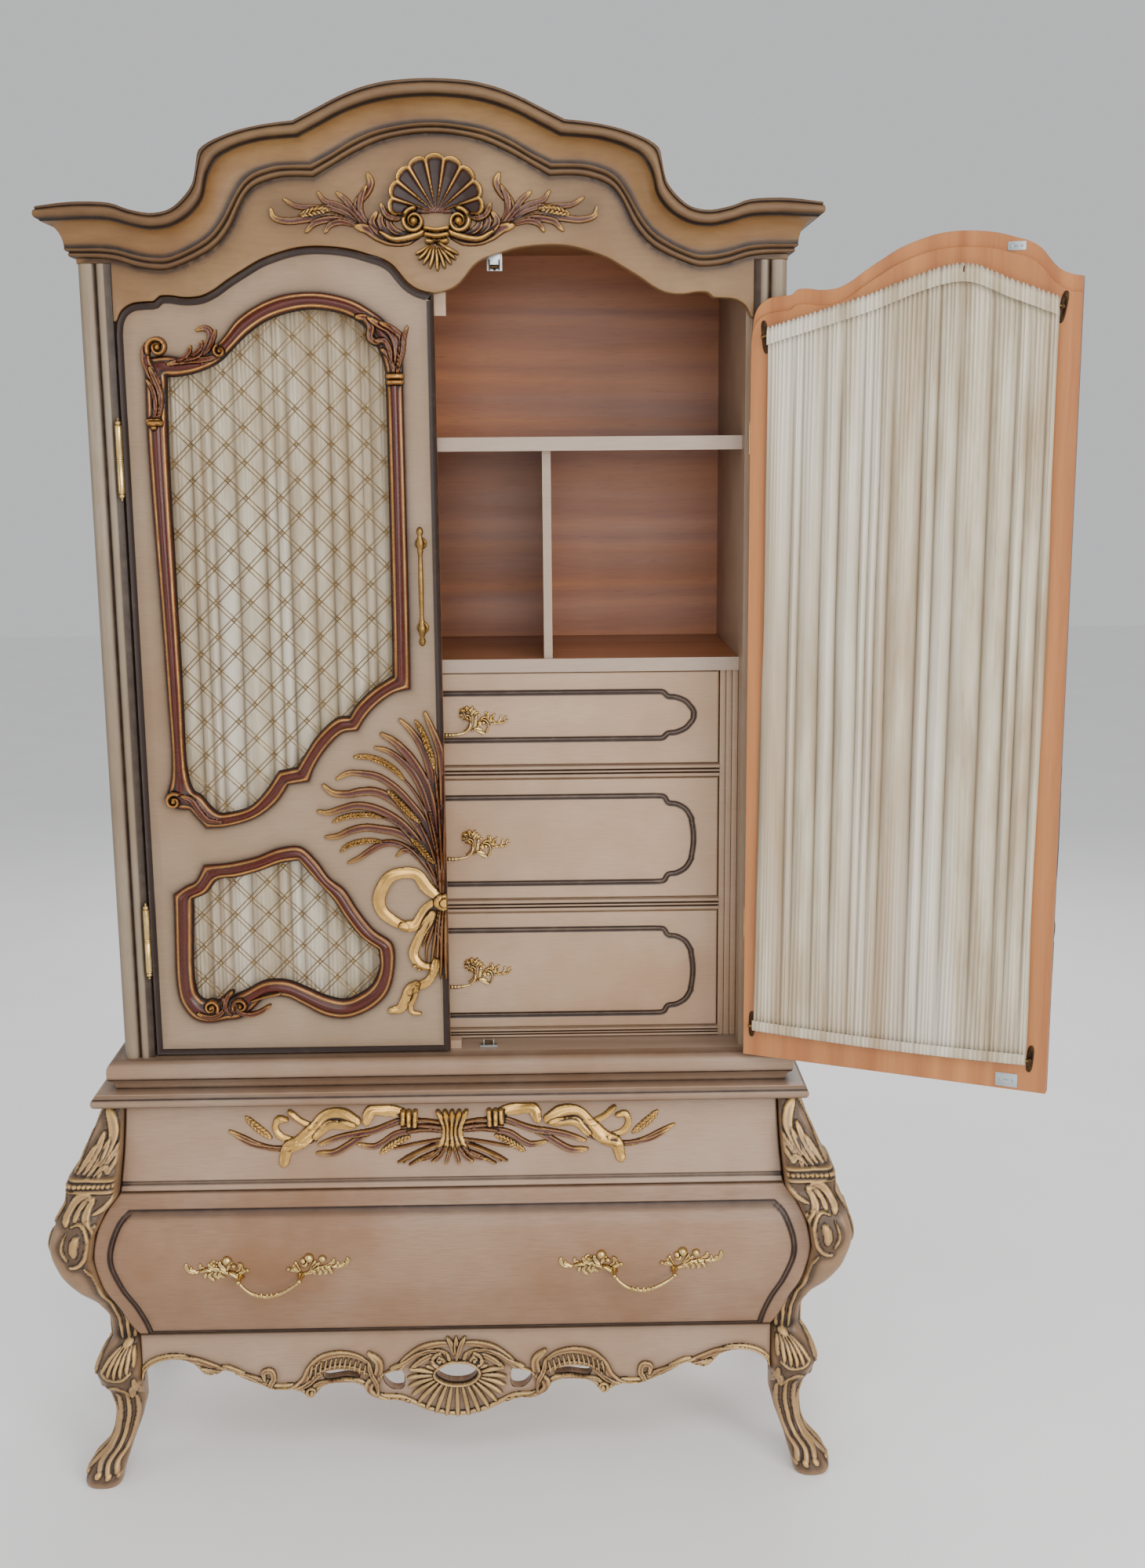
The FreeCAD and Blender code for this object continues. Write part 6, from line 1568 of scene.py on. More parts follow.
FLAT = {}
for side, tag in ((-1, "left"), (1, "right")):
    sd = 1 if side > 0 else 0
    body = tag + "_door"
    acc = Acc()
    # field of the door, its dark sunk border, edges, and the bare back
    plate(acc, FIELD, HOLES, 0, 1.9, edge=1.5, step=15, glaze=door_glaze_and_shade, mat=0, back=False, extra_loops=rings_extra + [near])
    for h in HOLES:
        acc.grid(np.array([[(x, 1.5, z) for x, z in h], [(x, 23.0, z) for x, z in h]]), 1, wrap=True, glaze=0.6)
    lines = [grow(DOOR, -10.5), grow(DOOR, -9.2), grow(DOOR, -3.0), grow(DOOR, -1.2), grow(DOOR, -0.3), DOOR]
    ys = [1.9, 2.4, 2.4, 1.6, 2.4, 4.0]
    acc.grid(np.array([[(x, y, z) for x, z in q] for q, y in zip(lines, ys)]), 0, wrap=True,
             glaze=np.array([[g] * len(DOOR) for g in (1, 1, 1, .95, .9, .8)]))
    acc.grid(np.array([[(x, 4.0, z) for x, z in DOOR], [(x, 12.0, z) for x, z in DOOR]]), 0, wrap=True, glaze=0.75)
    acc.grid(np.array([[(x, 12.0, z) for x, z in DOOR], [(x, 14.4, z) for x, z in DOOR], [(x, 15.0, z) for x, z in grow(DOOR, -0.7)]]), 1, wrap=True, glaze=0.3)
    top_ring = grow(DOOR, -0.7)[1:-1]
    v, f = triangles([np.vstack([top_ring, STEP_TOP[::-1]])], np.zeros((0, 2)))
    acc.add(np.stack([v[:, 0], np.full(len(v), 15.0), v[:, 1]], 1), f[:, ::-1], 1, glaze=0.0)
    step = DOOR_STEP
    acc.grid(np.array([[(x, 15.0, z) for x, z in step], [(x, 22.2, z) for x, z in step], [(x, 23.0, z) for x, z in grow(step, -0.8)]]), 1, wrap=True, glaze=0.2)
    v, f = triangles([grow(step, -0.8)] + HOLES, np.zeros((0, 2)))
    acc.add(np.stack([v[:, 0], np.full(len(v), 23.0), v[:, 1]], 1), f[:, ::-1], 1, glaze=0.0)
    make(tag + "_door_leaf", acc, [M["door"], M["backwood"]], body, sd, [tag + "_door_panel"], angle=45, tidy=False)
    # grille frames
    acc = Acc()
    up.emit(acc, flat_at(0), -3.2)
    low.emit(acc, flat_at(0), -3.2)
    make(tag + "_grille_frames", acc, M["ring"], body, sd, [tag + "_grille_mouldings"], angle=80, tidy=False, flip=False)
    acc = Acc()
    sheaf.emit(acc, flat_at(0), -1.4)
    make(tag + "_sheaf_carving", acc, M["carve"], body, sd, [tag + "_wheat_sheaf"], angle=80, tidy=False)
    # wire lattice
    acc = lattice(grow(UPI, 5.5))
    b2 = lattice(grow(LWI, 5.5))
    off = acc.n
    acc.p += b2.p
    acc.f += [[i + off for i in q] for q in b2.f]
    acc.m += b2.m
    acc.n += b2.n
    acc.a["cav"] += b2.a["cav"]
    make(tag + "_wire_lattice", acc, M["wire"], body, sd, [tag + "_lattice"], angle=60, tidy=False)
    # curtain
    g, fo = curtain_surface(side)
    acc = Acc().grid(g, 0, fold=fo)
    ob = make(tag + "_gathered_curtain", acc, M["cloth"], body, sd, [tag + "_curtain"], angle=180, tidy=False)
    w_flat, l_flat = arc_mean(g, 1), arc_mean(g, 0)
    ar = mesh_area(g) * 1e-6
    FLAT[tag] = (round(w_flat * MM, 3), round(l_flat * MM, 3))
    FLAT[tag + "_area"] = ar
    rods = Acc()
    path = spline(np.array([(-474, 35, 1911), (-320, 35, 1953), (-172, 35, 1993.6), (-166, 35, 1994), (-100, 35, 1968), (-27.8, 35, 1940.4)]), 6.0)
    rods.tube(path, 1.7, 8, cav=0.1)
    rods.tube(np.array([(-482, 35, 806), (-260, 35, 805.2), (-27.8, 35, 806)]), 1.7, 8, cav=0.1)
    for x, z, h, tilt in ((-471, 1912, 50, -6), (-27, 1940, 46, 10), (-479, 806, 44, 0), (-27, 806, 44, 4)):
        t = math.radians(tilt)
        out = []
        m = 22
        for q in range(m):
            a = 2 * math.pi * q / m
            ex, ez = 5.2 * math.copysign(abs(math.cos(a)) ** 0.8, math.cos(a)), (h / 2) * math.copysign(abs(math.sin(a)) ** 0.55, math.sin(a))
            out.append((x + ex * math.cos(t) + ez * math.sin(t), z - ex * math.sin(t) + ez * math.cos(t)))
        o = np.array(out)
        c = np.array([x, z])
        rings = [(23.05, 1.0), (24.2, 1.0), (24.9, 0.86), (24.9, 0.62), (24.5, 0.5), (24.5, 0.02)]
        rods.grid(np.array([[(c[0] + (p[0] - c[0]) * k, y, c[1] + (p[1] - c[1]) * k) for p in o] for y, k in rings]), 1, wrap=True, cav=0.2)
        rods.lathe((x, 24.2, z), (0, 1, 0), [(0, 2.6), (6.5, 2.4), (7.5, 3.6), (10.3, 3.6), (11.0, 2.6), (11.2, 0.4)], 14, 1, cav=0.1)
        for dz in (-h * 0.33, h * 0.33):
            rods.lathe((x + dz * math.sin(t), 24.6, z + dz * math.cos(t)), (0, 1, 0), [(0, 2.2), (0.7, 2.0), (1.1, 1.2), (1.2, 0.2)], 12, 1, cav=0.0)
    hook = spline(np.array([(-168, 23, 2003), (-168, 29, 2004), (-168, 36, 2002), (-168, 38.4, 1997), (-168, 36.6, 1991.6), (-168, 32.4, 1992)]), 1.5)
    rods.tube(hook, 1.1, 8, 1, cav=0.2)
    rod_ob = make(tag + "_curtain_rod_set", rods, [M["aged"], M["bronze"]], body, sd, [tag + "_curtain_rods"], angle=50)
    # bar pull: turned ends, swelling bar
    acc = Acc()
    x, y = -30.0, -24.4
    bar = [(1438.5, .6), (1439.5, 2.6), (1442, 4.6), (1446, 5.6), (1450, 4.8), (1453, 3.2), (1456, 4.6), (1459, 5.4), (1463, 6.3), (1466, 6.7), (1469, 6.3),
           (1472, 5.2), (1475, 4.0), (1478, 5.0), (1480, 4.0), (1486, 3.3), (1500, 3.7), (1520, 4.05), (1533, 4.15)]
    rows = bar + [(3066 - z, r) for z, r in bar[::-1][1:]]
    acc.lathe((x, y, 0), (0, 0, 1), rows, 20, 0, cav=0.0)
    for z in (1466, 1600):
        acc.lathe((x, 0, z), (0, -1, 0), [(0, 9.6), (1.2, 9.8), (2.4, 8.8), (3.0, 6.6), (4.0, 5.8), (6.0, 4.2), (10, 3.4), (16, 3.4), (20, 4.4), (24, 4.6)], 20, 0, cav=0.1)
    make(tag + "_turned_pull", acc, M["aged"], body, sd, [tag + "_bar_pull"], angle=60)
    # strike plates with screws
    acc = Acc()
    for x, z, w, h, y in ((-97, 2028.5, 26, 12.6, 15.0), (-62, 767, 34, 22, 23.0)):
        acc.slab((x - w / 2, x + w / 2), (y - 0.05, y + 1.3), (z - h / 2, z + h / 2), 0.5, 0, cav=0.0)
        for dx in (-w * 0.3, w * 0.3):
            acc.lathe((x + dx, y + 1.2, z), (0, 1, 0), [(0, 2.4), (0.5, 2.2), (0.8, 1.4), (0.85, 0.2)], 14, 0, cav=0.3)
        acc.slab((x - 4, x + 4), (y + 1.2, y + 2.0), (z - 1.2, z + 1.2), 0.3, 0, cav=0.4)
    make(tag + "_zinc_strikes", acc, M["zinc"], body, sd, [tag + "_strike_plates"], angle=40)


# ------------------------------------------------------------------ hinges
def finial(acc, x, y, z0, up_, **k):
    s = 1 if up_ else -1
    rows = [(0, 5.4), (1.2, 5.9), (2.4, 5.2), (3.4, 3.6), (4.6, 4.6), (6.4, 4.9), (8.4, 3.8), (10, 2.1), (11, 1.6), (12.4, 2.3), (13.6, 1.7), (14.2, 0.3)]
    acc.lathe((x, y, z0), (0, 0, s), rows, 16, 0, **k)


fixed = Acc()
moving = {"left": Acc(), "right": Acc()}
for side, tag in ((-1, "left"), (1, "right")):
    for lo, hi in ((1670, 1800), (886, 1018)):
        mid = (lo + hi) / 2.0
        xl = -497.0
        a = moving[tag]
        a.lathe((xl, HY, mid + .4), (0, 0, 1), [(0, 5.0), (.6, 5.5), (2.4, 5.5), (3, 5.0), (3.8, 5.5), (hi - 15 - mid - 2, 5.5), (hi - 15 - mid, 5.2)], 20, 0, cav=0.05)
        finial(a, xl, HY, hi - 14.6, True, cav=0.1)
        a.slab((-495.4, -493.8), (HY + 1.5, HY + 27), (mid + .6, hi - 16), 0.5, 0, cav=0.1)
        a.slab((-497.5, -494.4), (HY + 0.2, HY + 4.5), (mid + .6, hi - 16), 0.6, 0, cav=0.1)
        xs = side * 497.0
        fixed.lathe((xs, HY, mid), (0, 0, -1), [(0, 5.0), (.6, 5.5), (2.4, 5.5), (3, 5.0), (3.8, 5.5), (mid - lo - 17, 5.5), (mid - lo - 15, 5.2)], 20, 0, cav=0.05)
        finial(fixed, xs, HY, lo + 14.6, False, cav=0.1)
        a0, a1 = sorted((side * 495.9, side * 497.1))
        fixed.slab((a0, a1), (HY + 2, HY + 27.8), (lo + 15, mid - 1), 0.4, 0, cav=0.1)
for side, tag in ((-1, "left"), (1, "right")):
    make(tag + "_hinge_knuckles", moving[tag], M["brass"], tag + "_door", 1 if side > 0 else 0, [tag + "_hinge_leaves"], angle=50)
make("hinge_fixed_knuckles", fixed, M["brass"], "case", 0, ["hinge_leaves_fixed"], angle=50)


# ------------------------------------------------------------------ shell crest
crest = Relief(-252, 252, 2016, 2198, 1.15)
crest.leaf_gild, crest.rim = 0.0, 0.5
crest.strokes(SHELL, wk=1.3)
crest.strokes(SHELL, sx=-1.0, dx=6.0, wk=1.3)
CX, CZ = 6.0, 2103.0
X, Z = crest.X - CX, crest.Z - CZ
R, TH = np.hypot(X, Z), np.degrees(np.arctan2(Z, X))
TH = np.where(TH < -90, TH + 360, TH)
LOBES, T0, T1 = 9, -4.0, 184.0
ph = (TH - T0) / (T1 - T0) * LOBES
k = np.clip(np.floor(ph), 0, LOBES - 1)
fr = np.clip(ph - k, 0, 1)
mid = np.sin(np.clip((TH - T0) / (T1 - T0), 0, 1) * math.pi)
rim = (71 + 15 * mid) * (0.93 + 0.09 * np.sin(fr * math.pi) ** 0.6)
ins = (TH > T0) & (TH < T1) & (R < rim)
q = R / rim
ridge = np.abs(2 * fr - 1)
dish = 6.0 + 13.5 * q ** 1.3
flute = (1 - smooth01(0.55, 0.95, ridge)) * np.clip(q * 1.6, 0, 1)
lip = smooth01(0.86, 0.96, q)
h = dish - 5.2 * flute * (1 - 0.75 * lip) + 1.5 * lip - 8.0 * smooth01(0.965, 1.0, q)
rb = np.clip(1 - ((ridge - 0.93) / 0.12) ** 2, 0, 1)
h = h + 1.1 * rb * (1 - lip)
g = np.clip(0.95 * smooth01(0.80, 0.95, ridge) * (0.35 + 0.65 * q) + 0.9 * lip, 0, 1)
g = np.where((flute > 0.4) & (lip < 0.5), 0.04 + 0.30 * np.exp(-((fr - 0.5) / 0.06) ** 2) * smooth01(0.25, 0.7, q), g)
dout = np.where(ins, 0, np.maximum(R - rim, 0.0) + np.where((TH <= T0) | (TH >= T1), 3.0, 0))
crest.lay((slice(None), slice(None)), np.where(ins, h, 0), g, np.where(ins, 0, np.maximum(dout, 0.2)), lift=0.0, trench=0.5)
for s in (-1, 1):
    # scrolls either side of the neck, running out to the sprays
    crest.stroke("stem", 11, 17, .9, [(CX + s * 86, 2074), (CX + s * 66, 2064), (CX + s * 44, 2066), (CX + s * 20, 2074)], taper=(0.7, 1.0), lift=.2)
    crest.spiral(CX + s * 34, 2090, 19, 6, 1.5, 90 if s < 0 else 90, 8.5, 20, .95, hand=-s, lift=.1)
    crest.stroke("knob", 13, 24, 1.0, [(CX + s * 34, 2090)], lift=0)
    crest.stroke("leaf", 9, 14, .75, [(CX + s * 84, 2116), (CX + s * 76, 2100), (CX + s * 62, 2094), (CX + s * 50, 2098)], lift=.1)
for k, zz in enumerate((2080, 2070.5, 2061)):
    crest.stroke("bar", 7.5, 21 - k, 1.0, [(CX - 17 + k, zz), (CX, zz - 2.5), (CX + 17 - k, zz)], lift=0.0)
for a in np.linspace(-58, 58, 9):
    t = math.radians(-90 + a)
    L = 40 - 10 * abs(a) / 58.0
    p0 = (CX + 0.25 * 17 * math.sin(math.radians(a)), 2058)
    p1 = (CX + L * math.cos(t) * 0.62 + 3 * math.sin(math.radians(a)), 2058 + 0.55 * L * math.sin(t))
    p2 = (CX + (L + 6) * math.cos(t) * 1.05, 2058 + (L) * math.sin(t))
    crest.stroke("fan", 6.8, 15, .75, [p2, p1, p0], lift=.15)
crest.H = np.minimum(crest.H, 23.6)
crest.finish(floor=-1.3, cav_scale=.9, crest=.08, edge_cav=.85)
acc = Acc()
crest.emit(acc, flat_at(0), -1.3)
make("shell_crest_carving", acc, M["carve"], "case", 0, ["shell_crest"], angle=80, tidy=False)

# ------------------------------------------------------------------ frieze drawer carving
frz = Relief(-386, 386, 556, 670, 1.2)
frz.leaf_gild, frz.rim = 0.0, 0.6
for sx in (1, -1):
    frz.strokes([(q[0], q[1], q[2], q[3] * (.45 if q[0] == "stem" else 1.0), q[4]) for q in FRZ if q[0] not in ("ribbon", "bar")], sx=sx, hk=.95, wk=1.35)
for sx in (1, -1):
    frz.strokes([q for q in FRZ if q[0] in ("ribbon", "bar")], sx=sx, hk=1.0, wk=1.3)
for dx in (-16, -8, 0, 8, 16):
    frz.stroke("ribbon", 9.5, 12.5 - abs(dx) * .12, 1.0, [(dx * 1.5, 652), (dx * 1.15, 640), (dx * .8, 624), (dx * .95, 606), (dx * 1.5, 590)], lift=.1)
for a in (-30, -18, -6, 6, 18, 30):
    frz.stroke("leaf", 7, 9, .85, [(a * 1.9, 564 + abs(a) * .35), (a * 1.2, 578), (a * .6, 594)], lift=.2)
frz.H = np.minimum(frz.H, 13.0)
frz.finish(floor=-1.2, cav_scale=.8, crest=.12, edge_cav=.8)
acc = Acc()
frz.emit(acc, on_front, -1.2)
make("frieze_swag_carving", acc, M["carve"], "frieze_drawer", 0, ["frieze_drawer_carving"], angle=80, tidy=False)

# ------------------------------------------------------------------ apron
low_edge = spline(np.array(APRON_LOW), 4.0)
low_edge = np.vstack([low_edge[:-1], low_edge[::-1] * [-1, 1]])
AH = [HOLE_A, HOLE_B, [(-x, z) for x, z in HOLE_A[::-1]], [(-x, z) for x, z in HOLE_B[::-1]], HOLE_C]
AH = [spline(np.array(h, float), 3.0, closed=True) for h in AH]
apr_loop = np.vstack([low_edge, [(540, 261.5), (-540, 261.5)]])
apr = Relief(-541, 541, 98, 262, 1.2)
X, Z = apr.X, apr.Z
d = distance(low_edge, X, Z, closed=False)
solid = inside(apr_loop, X, Z)
for h in AH:
    solid &= ~inside(h, X, Z)
dh = np.full(X.shape, 1e9)
for h in AH:
    dh = np.minimum(dh, distance(h, X, Z))
# gilt bead along the scalloped edge, with a hollow behind it
w = 7.5
bead_h = 5.8 * np.sqrt(np.clip(1 - ((d - 5.0) / 5.0) ** 2, 0, 1))
apr.H = np.where(solid, np.where(d < 10.0, np.maximum(bead_h, 0.0) - .3, -3.0), -2.5 * np.minimum(d, dh))
apr.G = np.where(d < 10.6, .75, 0.0)
rib = 0.5 + 0.5 * np.cos(Z * .5 + np.abs(X) * .62)
cres = ((np.abs(np.abs(X) - 205) < 52) & (Z > 166) & (Z < 226)) & solid
for sx in (1, -1):
    apr.strokes(APR, sx=sx, hk=1.0, wk=1.3)
    # ribbed crescents
    for t in np.linspace(0, 1, 12):
        x = -252 + t * 92
        zt = 206 + 14 * math.sin(math.pi * t)
        zb = 168 + 26 * math.sin(math.pi * t) * .55
        apr.stroke("fan", 5.0, 6.0, .55, [(sx * (x + 3), zt - 5), (sx * x, (zt + zb) / 2), (sx * (x - 1), zb + 8)], lift=.3)
    apr.spiral(sx * -30, 205, 15, 4, 1.3, 90, 7, 9.5, .9, hand=sx)
    apr.spiral(sx * -534, 184, 9, 3, 1.0, 90, 6, 8, .9, hand=sx)
    apr.spiral(sx * -251, 152, 10, 3.5, 1.2, 270, 6, 8.5, .95, hand=-sx)
# central pierced shell: ribs radiating from the oval
C2X, C2Z = -1.0, 172.0
for a in np.linspace(-196, 16, 17):
    t = math.radians(a)
    R1 = 88 - 14 * abs(math.sin(t)) ** 2 if a < -150 or a > -30 else 76
    rim_x, rim_z = 84, 70
    p0 = (C2X + 40 * math.cos(t), C2Z + 6 + 20 * math.sin(t))
    p1 = (C2X + 0.5 * (40 + rim_x) * math.cos(t), C2Z + 4 + 0.5 * (20 + rim_z) * math.sin(t))
    p2 = (C2X + rim_x * math.cos(t), C2Z + rim_z * math.sin(t))
    apr.stroke("fan", 9.0, 7.6, .85, [p2, p1, p0], lift=.05)
for a in np.linspace(25, 155, 9):
    t = math.radians(a)
    apr.stroke("fan", 8, 6, .75, [(C2X + 58 * math.cos(t), C2Z + 44 * math.sin(t) + 6), (C2X + 38 * math.cos(t), C2Z + 8 + 22 * math.sin(t))], lift=.1)
apr.stroke("stem", 6, 8.0, 1.0, [tuple(q) for q in np.vstack([grow(AH[4], 3.6), grow(AH[4], 3.6)[:2]])[::2]], lift=.1)
for s in (-1, 0, 1):
    apr.stroke("leaf", 9, 9, 1.0, [(C2X + s * 15, 249), (C2X + s * 9, 238), (C2X + s * 4, 222), (C2X, 208)], lift=.2)
hole = np.zeros(X.shape, bool)
for h in AH:
    hole |= inside(h, X, Z)
below = ~inside(apr_loop, X, Z)
cutd = np.where(hole, dh, np.where(below, np.minimum(d, 1e9), 0))
apr.H = np.where(hole | below, -2.5 * cutd, np.minimum(apr.H, 8.2))
apr.finish(floor=-2.4, cav_scale=.36, crest=.5, edge_cav=1.0)
mask_a = apr.blur((apr.H > 0.2).astype(float), 4)


# glaze with painted shade round the carvings, and painted shade along the top edge under the drawer
def apron_glaze_and_shade(x, z):
    j = np.clip((x - apr.x[0]) / apr.step, 0, len(apr.x) - 1.001).astype(int)
    i = np.clip((z - apr.z[0]) / apr.step, 0, len(apr.z) - 1.001).astype(int)
    return np.clip(0.7 * mask_a[i, j] + 0.45 * np.exp(-np.abs(z - 261) / 5.0), 0, 1)


gx, gz = np.meshgrid(np.arange(-536, 537, 5.0), np.arange(104, 258, 5.0))
acc = plate(Acc(), apr_loop, AH, -36, -14, edge=1.3, step=14, glaze=apron_glaze_and_shade, mat=0, extra_loops=[np.stack([gx.ravel(), gz.ravel()], 1)])
make("apron_rail_board", acc, M["base"], "case", 0, ["front_apron"], angle=45)
acc = Acc()
apr.emit(acc, flat_at(-36), -2.4)
make("apron_relief", acc, M["silver"], "case", 0, (), angle=80, tidy=False)


# ------------------------------------------------------------------ legs
# strokes over (distance in from the outer corner, height)
LEG = [
    ("leaf", 15, 4.4, .95, [(6, 668), (24, 648), (36, 626), (38, 603), (39, 584), (44, 568)]),
    ("leaf", 12, 4.0, .95, [(46, 664), (52, 640), (54, 618), (48, 596), (44, 578)]),
    ("leaf", 12, 4.0, .9, [(17, 632), (19, 607), (18, 590), (15, 572)]),
    ("leaf", 11, 3.6, .85, [(31, 622), (31, 599), (28, 584), (24, 570)]),
    ("leaf", 10, 3.4, .85, [(12, 612), (9, 594), (6, 581), (4, 572)]),
    ("leaf", 9, 3.6, .8, [(58, 572), (46, 580), (38, 577), (35, 569)]),
    ("leaf", 10, 3.4, .7, [(64, 640), (60, 612), (58, 590), (56, 572)]),
    ("stem", 6, 4.2, .95, [(0, 563), (33, 563), (63, 562), (150, 561)]),
    ("stem", 5, 3.4, .8, [(0, 543), (43, 543), (71, 543), (150, 544)]),
    ("leaf", 13, 4.4, .9, [(17, 494), (10, 514), (16, 531), (30, 538), (46, 531)]),
    ("leaf", 12, 4.4, .95, [(46, 534), (41, 518), (47, 503), (60, 490)]),
    ("leaf", 10, 3.8, .85, [(30, 500), (26, 514), (30, 526), (40, 534)]),
    ("leaf", 11, 3.8, .8, [(84, 540), (76, 526), (66, 516), (56, 510)]),
    ("leaf", 12, 3.8, .8, [(96, 538), (92, 518), (84, 500), (78, 482)]),
    ("stem", 15, 4.6, .55, [(41, 445), (42, 470)]),
    ("stem", 6, 4.6, .95, [(27, 492), (40, 495), (56, 482), (64, 461), (57, 437), (41, 423), (28, 421)]),
    ("stem", 5, 4.2, .85, [(22, 480), (20, 458), (26, 436)]),
    ("stem", 7, 4.4, .75, [(51, 499), (68, 479), (77, 447), (68, 399), (45, 341), (30, 294), (30, 256)]),
    ("stem", 7, 4.2, .75, [(66, 492), (84, 466), (88, 434), (80, 392), (62, 346), (46, 300), (40, 261)]),
    ("stem", 6, 3.8, .65, [(50, 416), (54, 394), (34, 345), (17, 298), (18, 259)]),
    ("stem", 6, 3.4, .6, [(92, 480), (102, 452), (100, 420), (92, 384), (76, 346), (60, 306), (52, 268)]),
    ("knob", 19, 4.8, .9, [(31, 249)]),
    ("fan", 8, 4.0, .8, [(7, 204), (13, 226), (20, 243)]),
    ("fan", 8, 4.2, .9, [(19, 198), (21, 222), (25, 242)]),
    ("fan", 8, 4.4, .9, [(31, 195), (30, 221), (31, 241)]),
    ("fan", 8, 4.2, .9, [(43, 197), (39, 221), (36, 241)]),
    ("fan", 8, 4.0, .85, [(54, 203), (48, 224), (41, 242)]),
    ("fan", 7, 3.6, .75, [(63, 212), (56, 228), (46, 243)]),
    ("stem", 5, 3.6, .85, [(5, 208), (13, 196), (30, 190), (46, 192), (60, 202)]),
    ("leaf", 11, 3.8, .75, [(60, 142), (58, 158), (60, 172), (64, 188)]),
    ("leaf", 9, 3.2, .6, [(28, 148), (32, 164), (22, 172), (8, 170)]),
    ("leaf", 9, 3.2, .6, [(34, 148), (50, 166), (66, 176), (78, 180)]),
    ("stem", 9, 3.8, .35, [(12, 156), (5, 121), (2, 87), (3, 58), (6, 44), (14, 30)]),
    ("stem", 9, 4.2, .45, [(27, 152), (21, 118), (17, 87), (18, 58), (22, 42), (32, 26)]),
    ("stem", 9, 4.0, .40, [(43, 150), (38, 118), (33, 89), (33, 62), (36, 46), (48, 28)]),
    ("knob", 13, 4.6, .7, [(15, 24)]),
    ("knob", 12, 4.4, .7, [(36, 22)]),
    ("knob", 11, 4.2, .7, [(56, 22)]),
]
leg_map = Relief(-6, 156, -4, 678, 1.5)
leg_map.leaf_gild, leg_map.rim = 0.35, 0.8
leg_map.strokes(LEG, wk=1.12, hk=1.15)
lx, lz = leg_map.X, leg_map.Z
# beads between the two rolls of the collar
for wv in np.arange(2, 150, 8.4):
    leg_map.stroke("knob", 8.0, 4.2, .95, [(wv, 553)], lift=0.0)
leg_map.H = np.minimum(leg_map.H, 5.4)
leg_map.finish(floor=-1.0, cav_scale=.55, crest=.35, edge_cav=.9)
leg_map.C = np.where(leg_map.H < -2.5, leg_map.C * 0.5, leg_map.C)


def read_map(a, w, z):
    j = np.clip((w - leg_map.x[0]) / leg_map.step, 0, len(leg_map.x) - 1.001)
    i = np.clip((z - leg_map.z[0]) / leg_map.step, 0, len(leg_map.z) - 1.001)
    j0, i0 = j.astype(int), i.astype(int)
    fj, fi = j - j0, i - i0
    return ((a[i0, j0] * (1 - fj) + a[i0, j0 + 1] * fj) * (1 - fi)
            + (a[i0 + 1, j0] * (1 - fj) + a[i0 + 1, j0 + 1] * fj) * fi)


LEG_INSET = 6.0


def leg_loop(x0, x1, y0, y1, n, count):
    """Rounded section as count points even along its length, starting at the outer front corner."""
    cx, cy, hx, hy = (x0 + x1) / 2, (y0 + y1) / 2, (x1 - x0) / 2, (y1 - y0) / 2
    a = np.linspace(0, 2 * math.pi, 1441)
    c, s = np.cos(a), np.sin(a)
    r = (np.abs(c) ** n + np.abs(s) ** n) ** (-1.0 / n)
    # the corner lies at -45 degrees in the unit square: +x outward, -y forward
    px, py = cx + hx * r * np.cos(a - math.pi / 4), cy + hy * r * np.sin(a - math.pi / 4)
    rr = (np.abs(np.cos(a - math.pi / 4)) ** n + np.abs(np.sin(a - math.pi / 4)) ** n) ** (-1.0 / n)
    px, py = cx + hx * rr * np.cos(a - math.pi / 4), cy + hy * rr * np.sin(a - math.pi / 4)
    arc = np.concatenate([[0], np.cumsum(np.hypot(np.diff(px), np.diff(py)))])
    t = np.linspace(0, arc[-1], count, endpoint=False)
    return np.interp(t, arc, px), np.interp(t, arc, py)


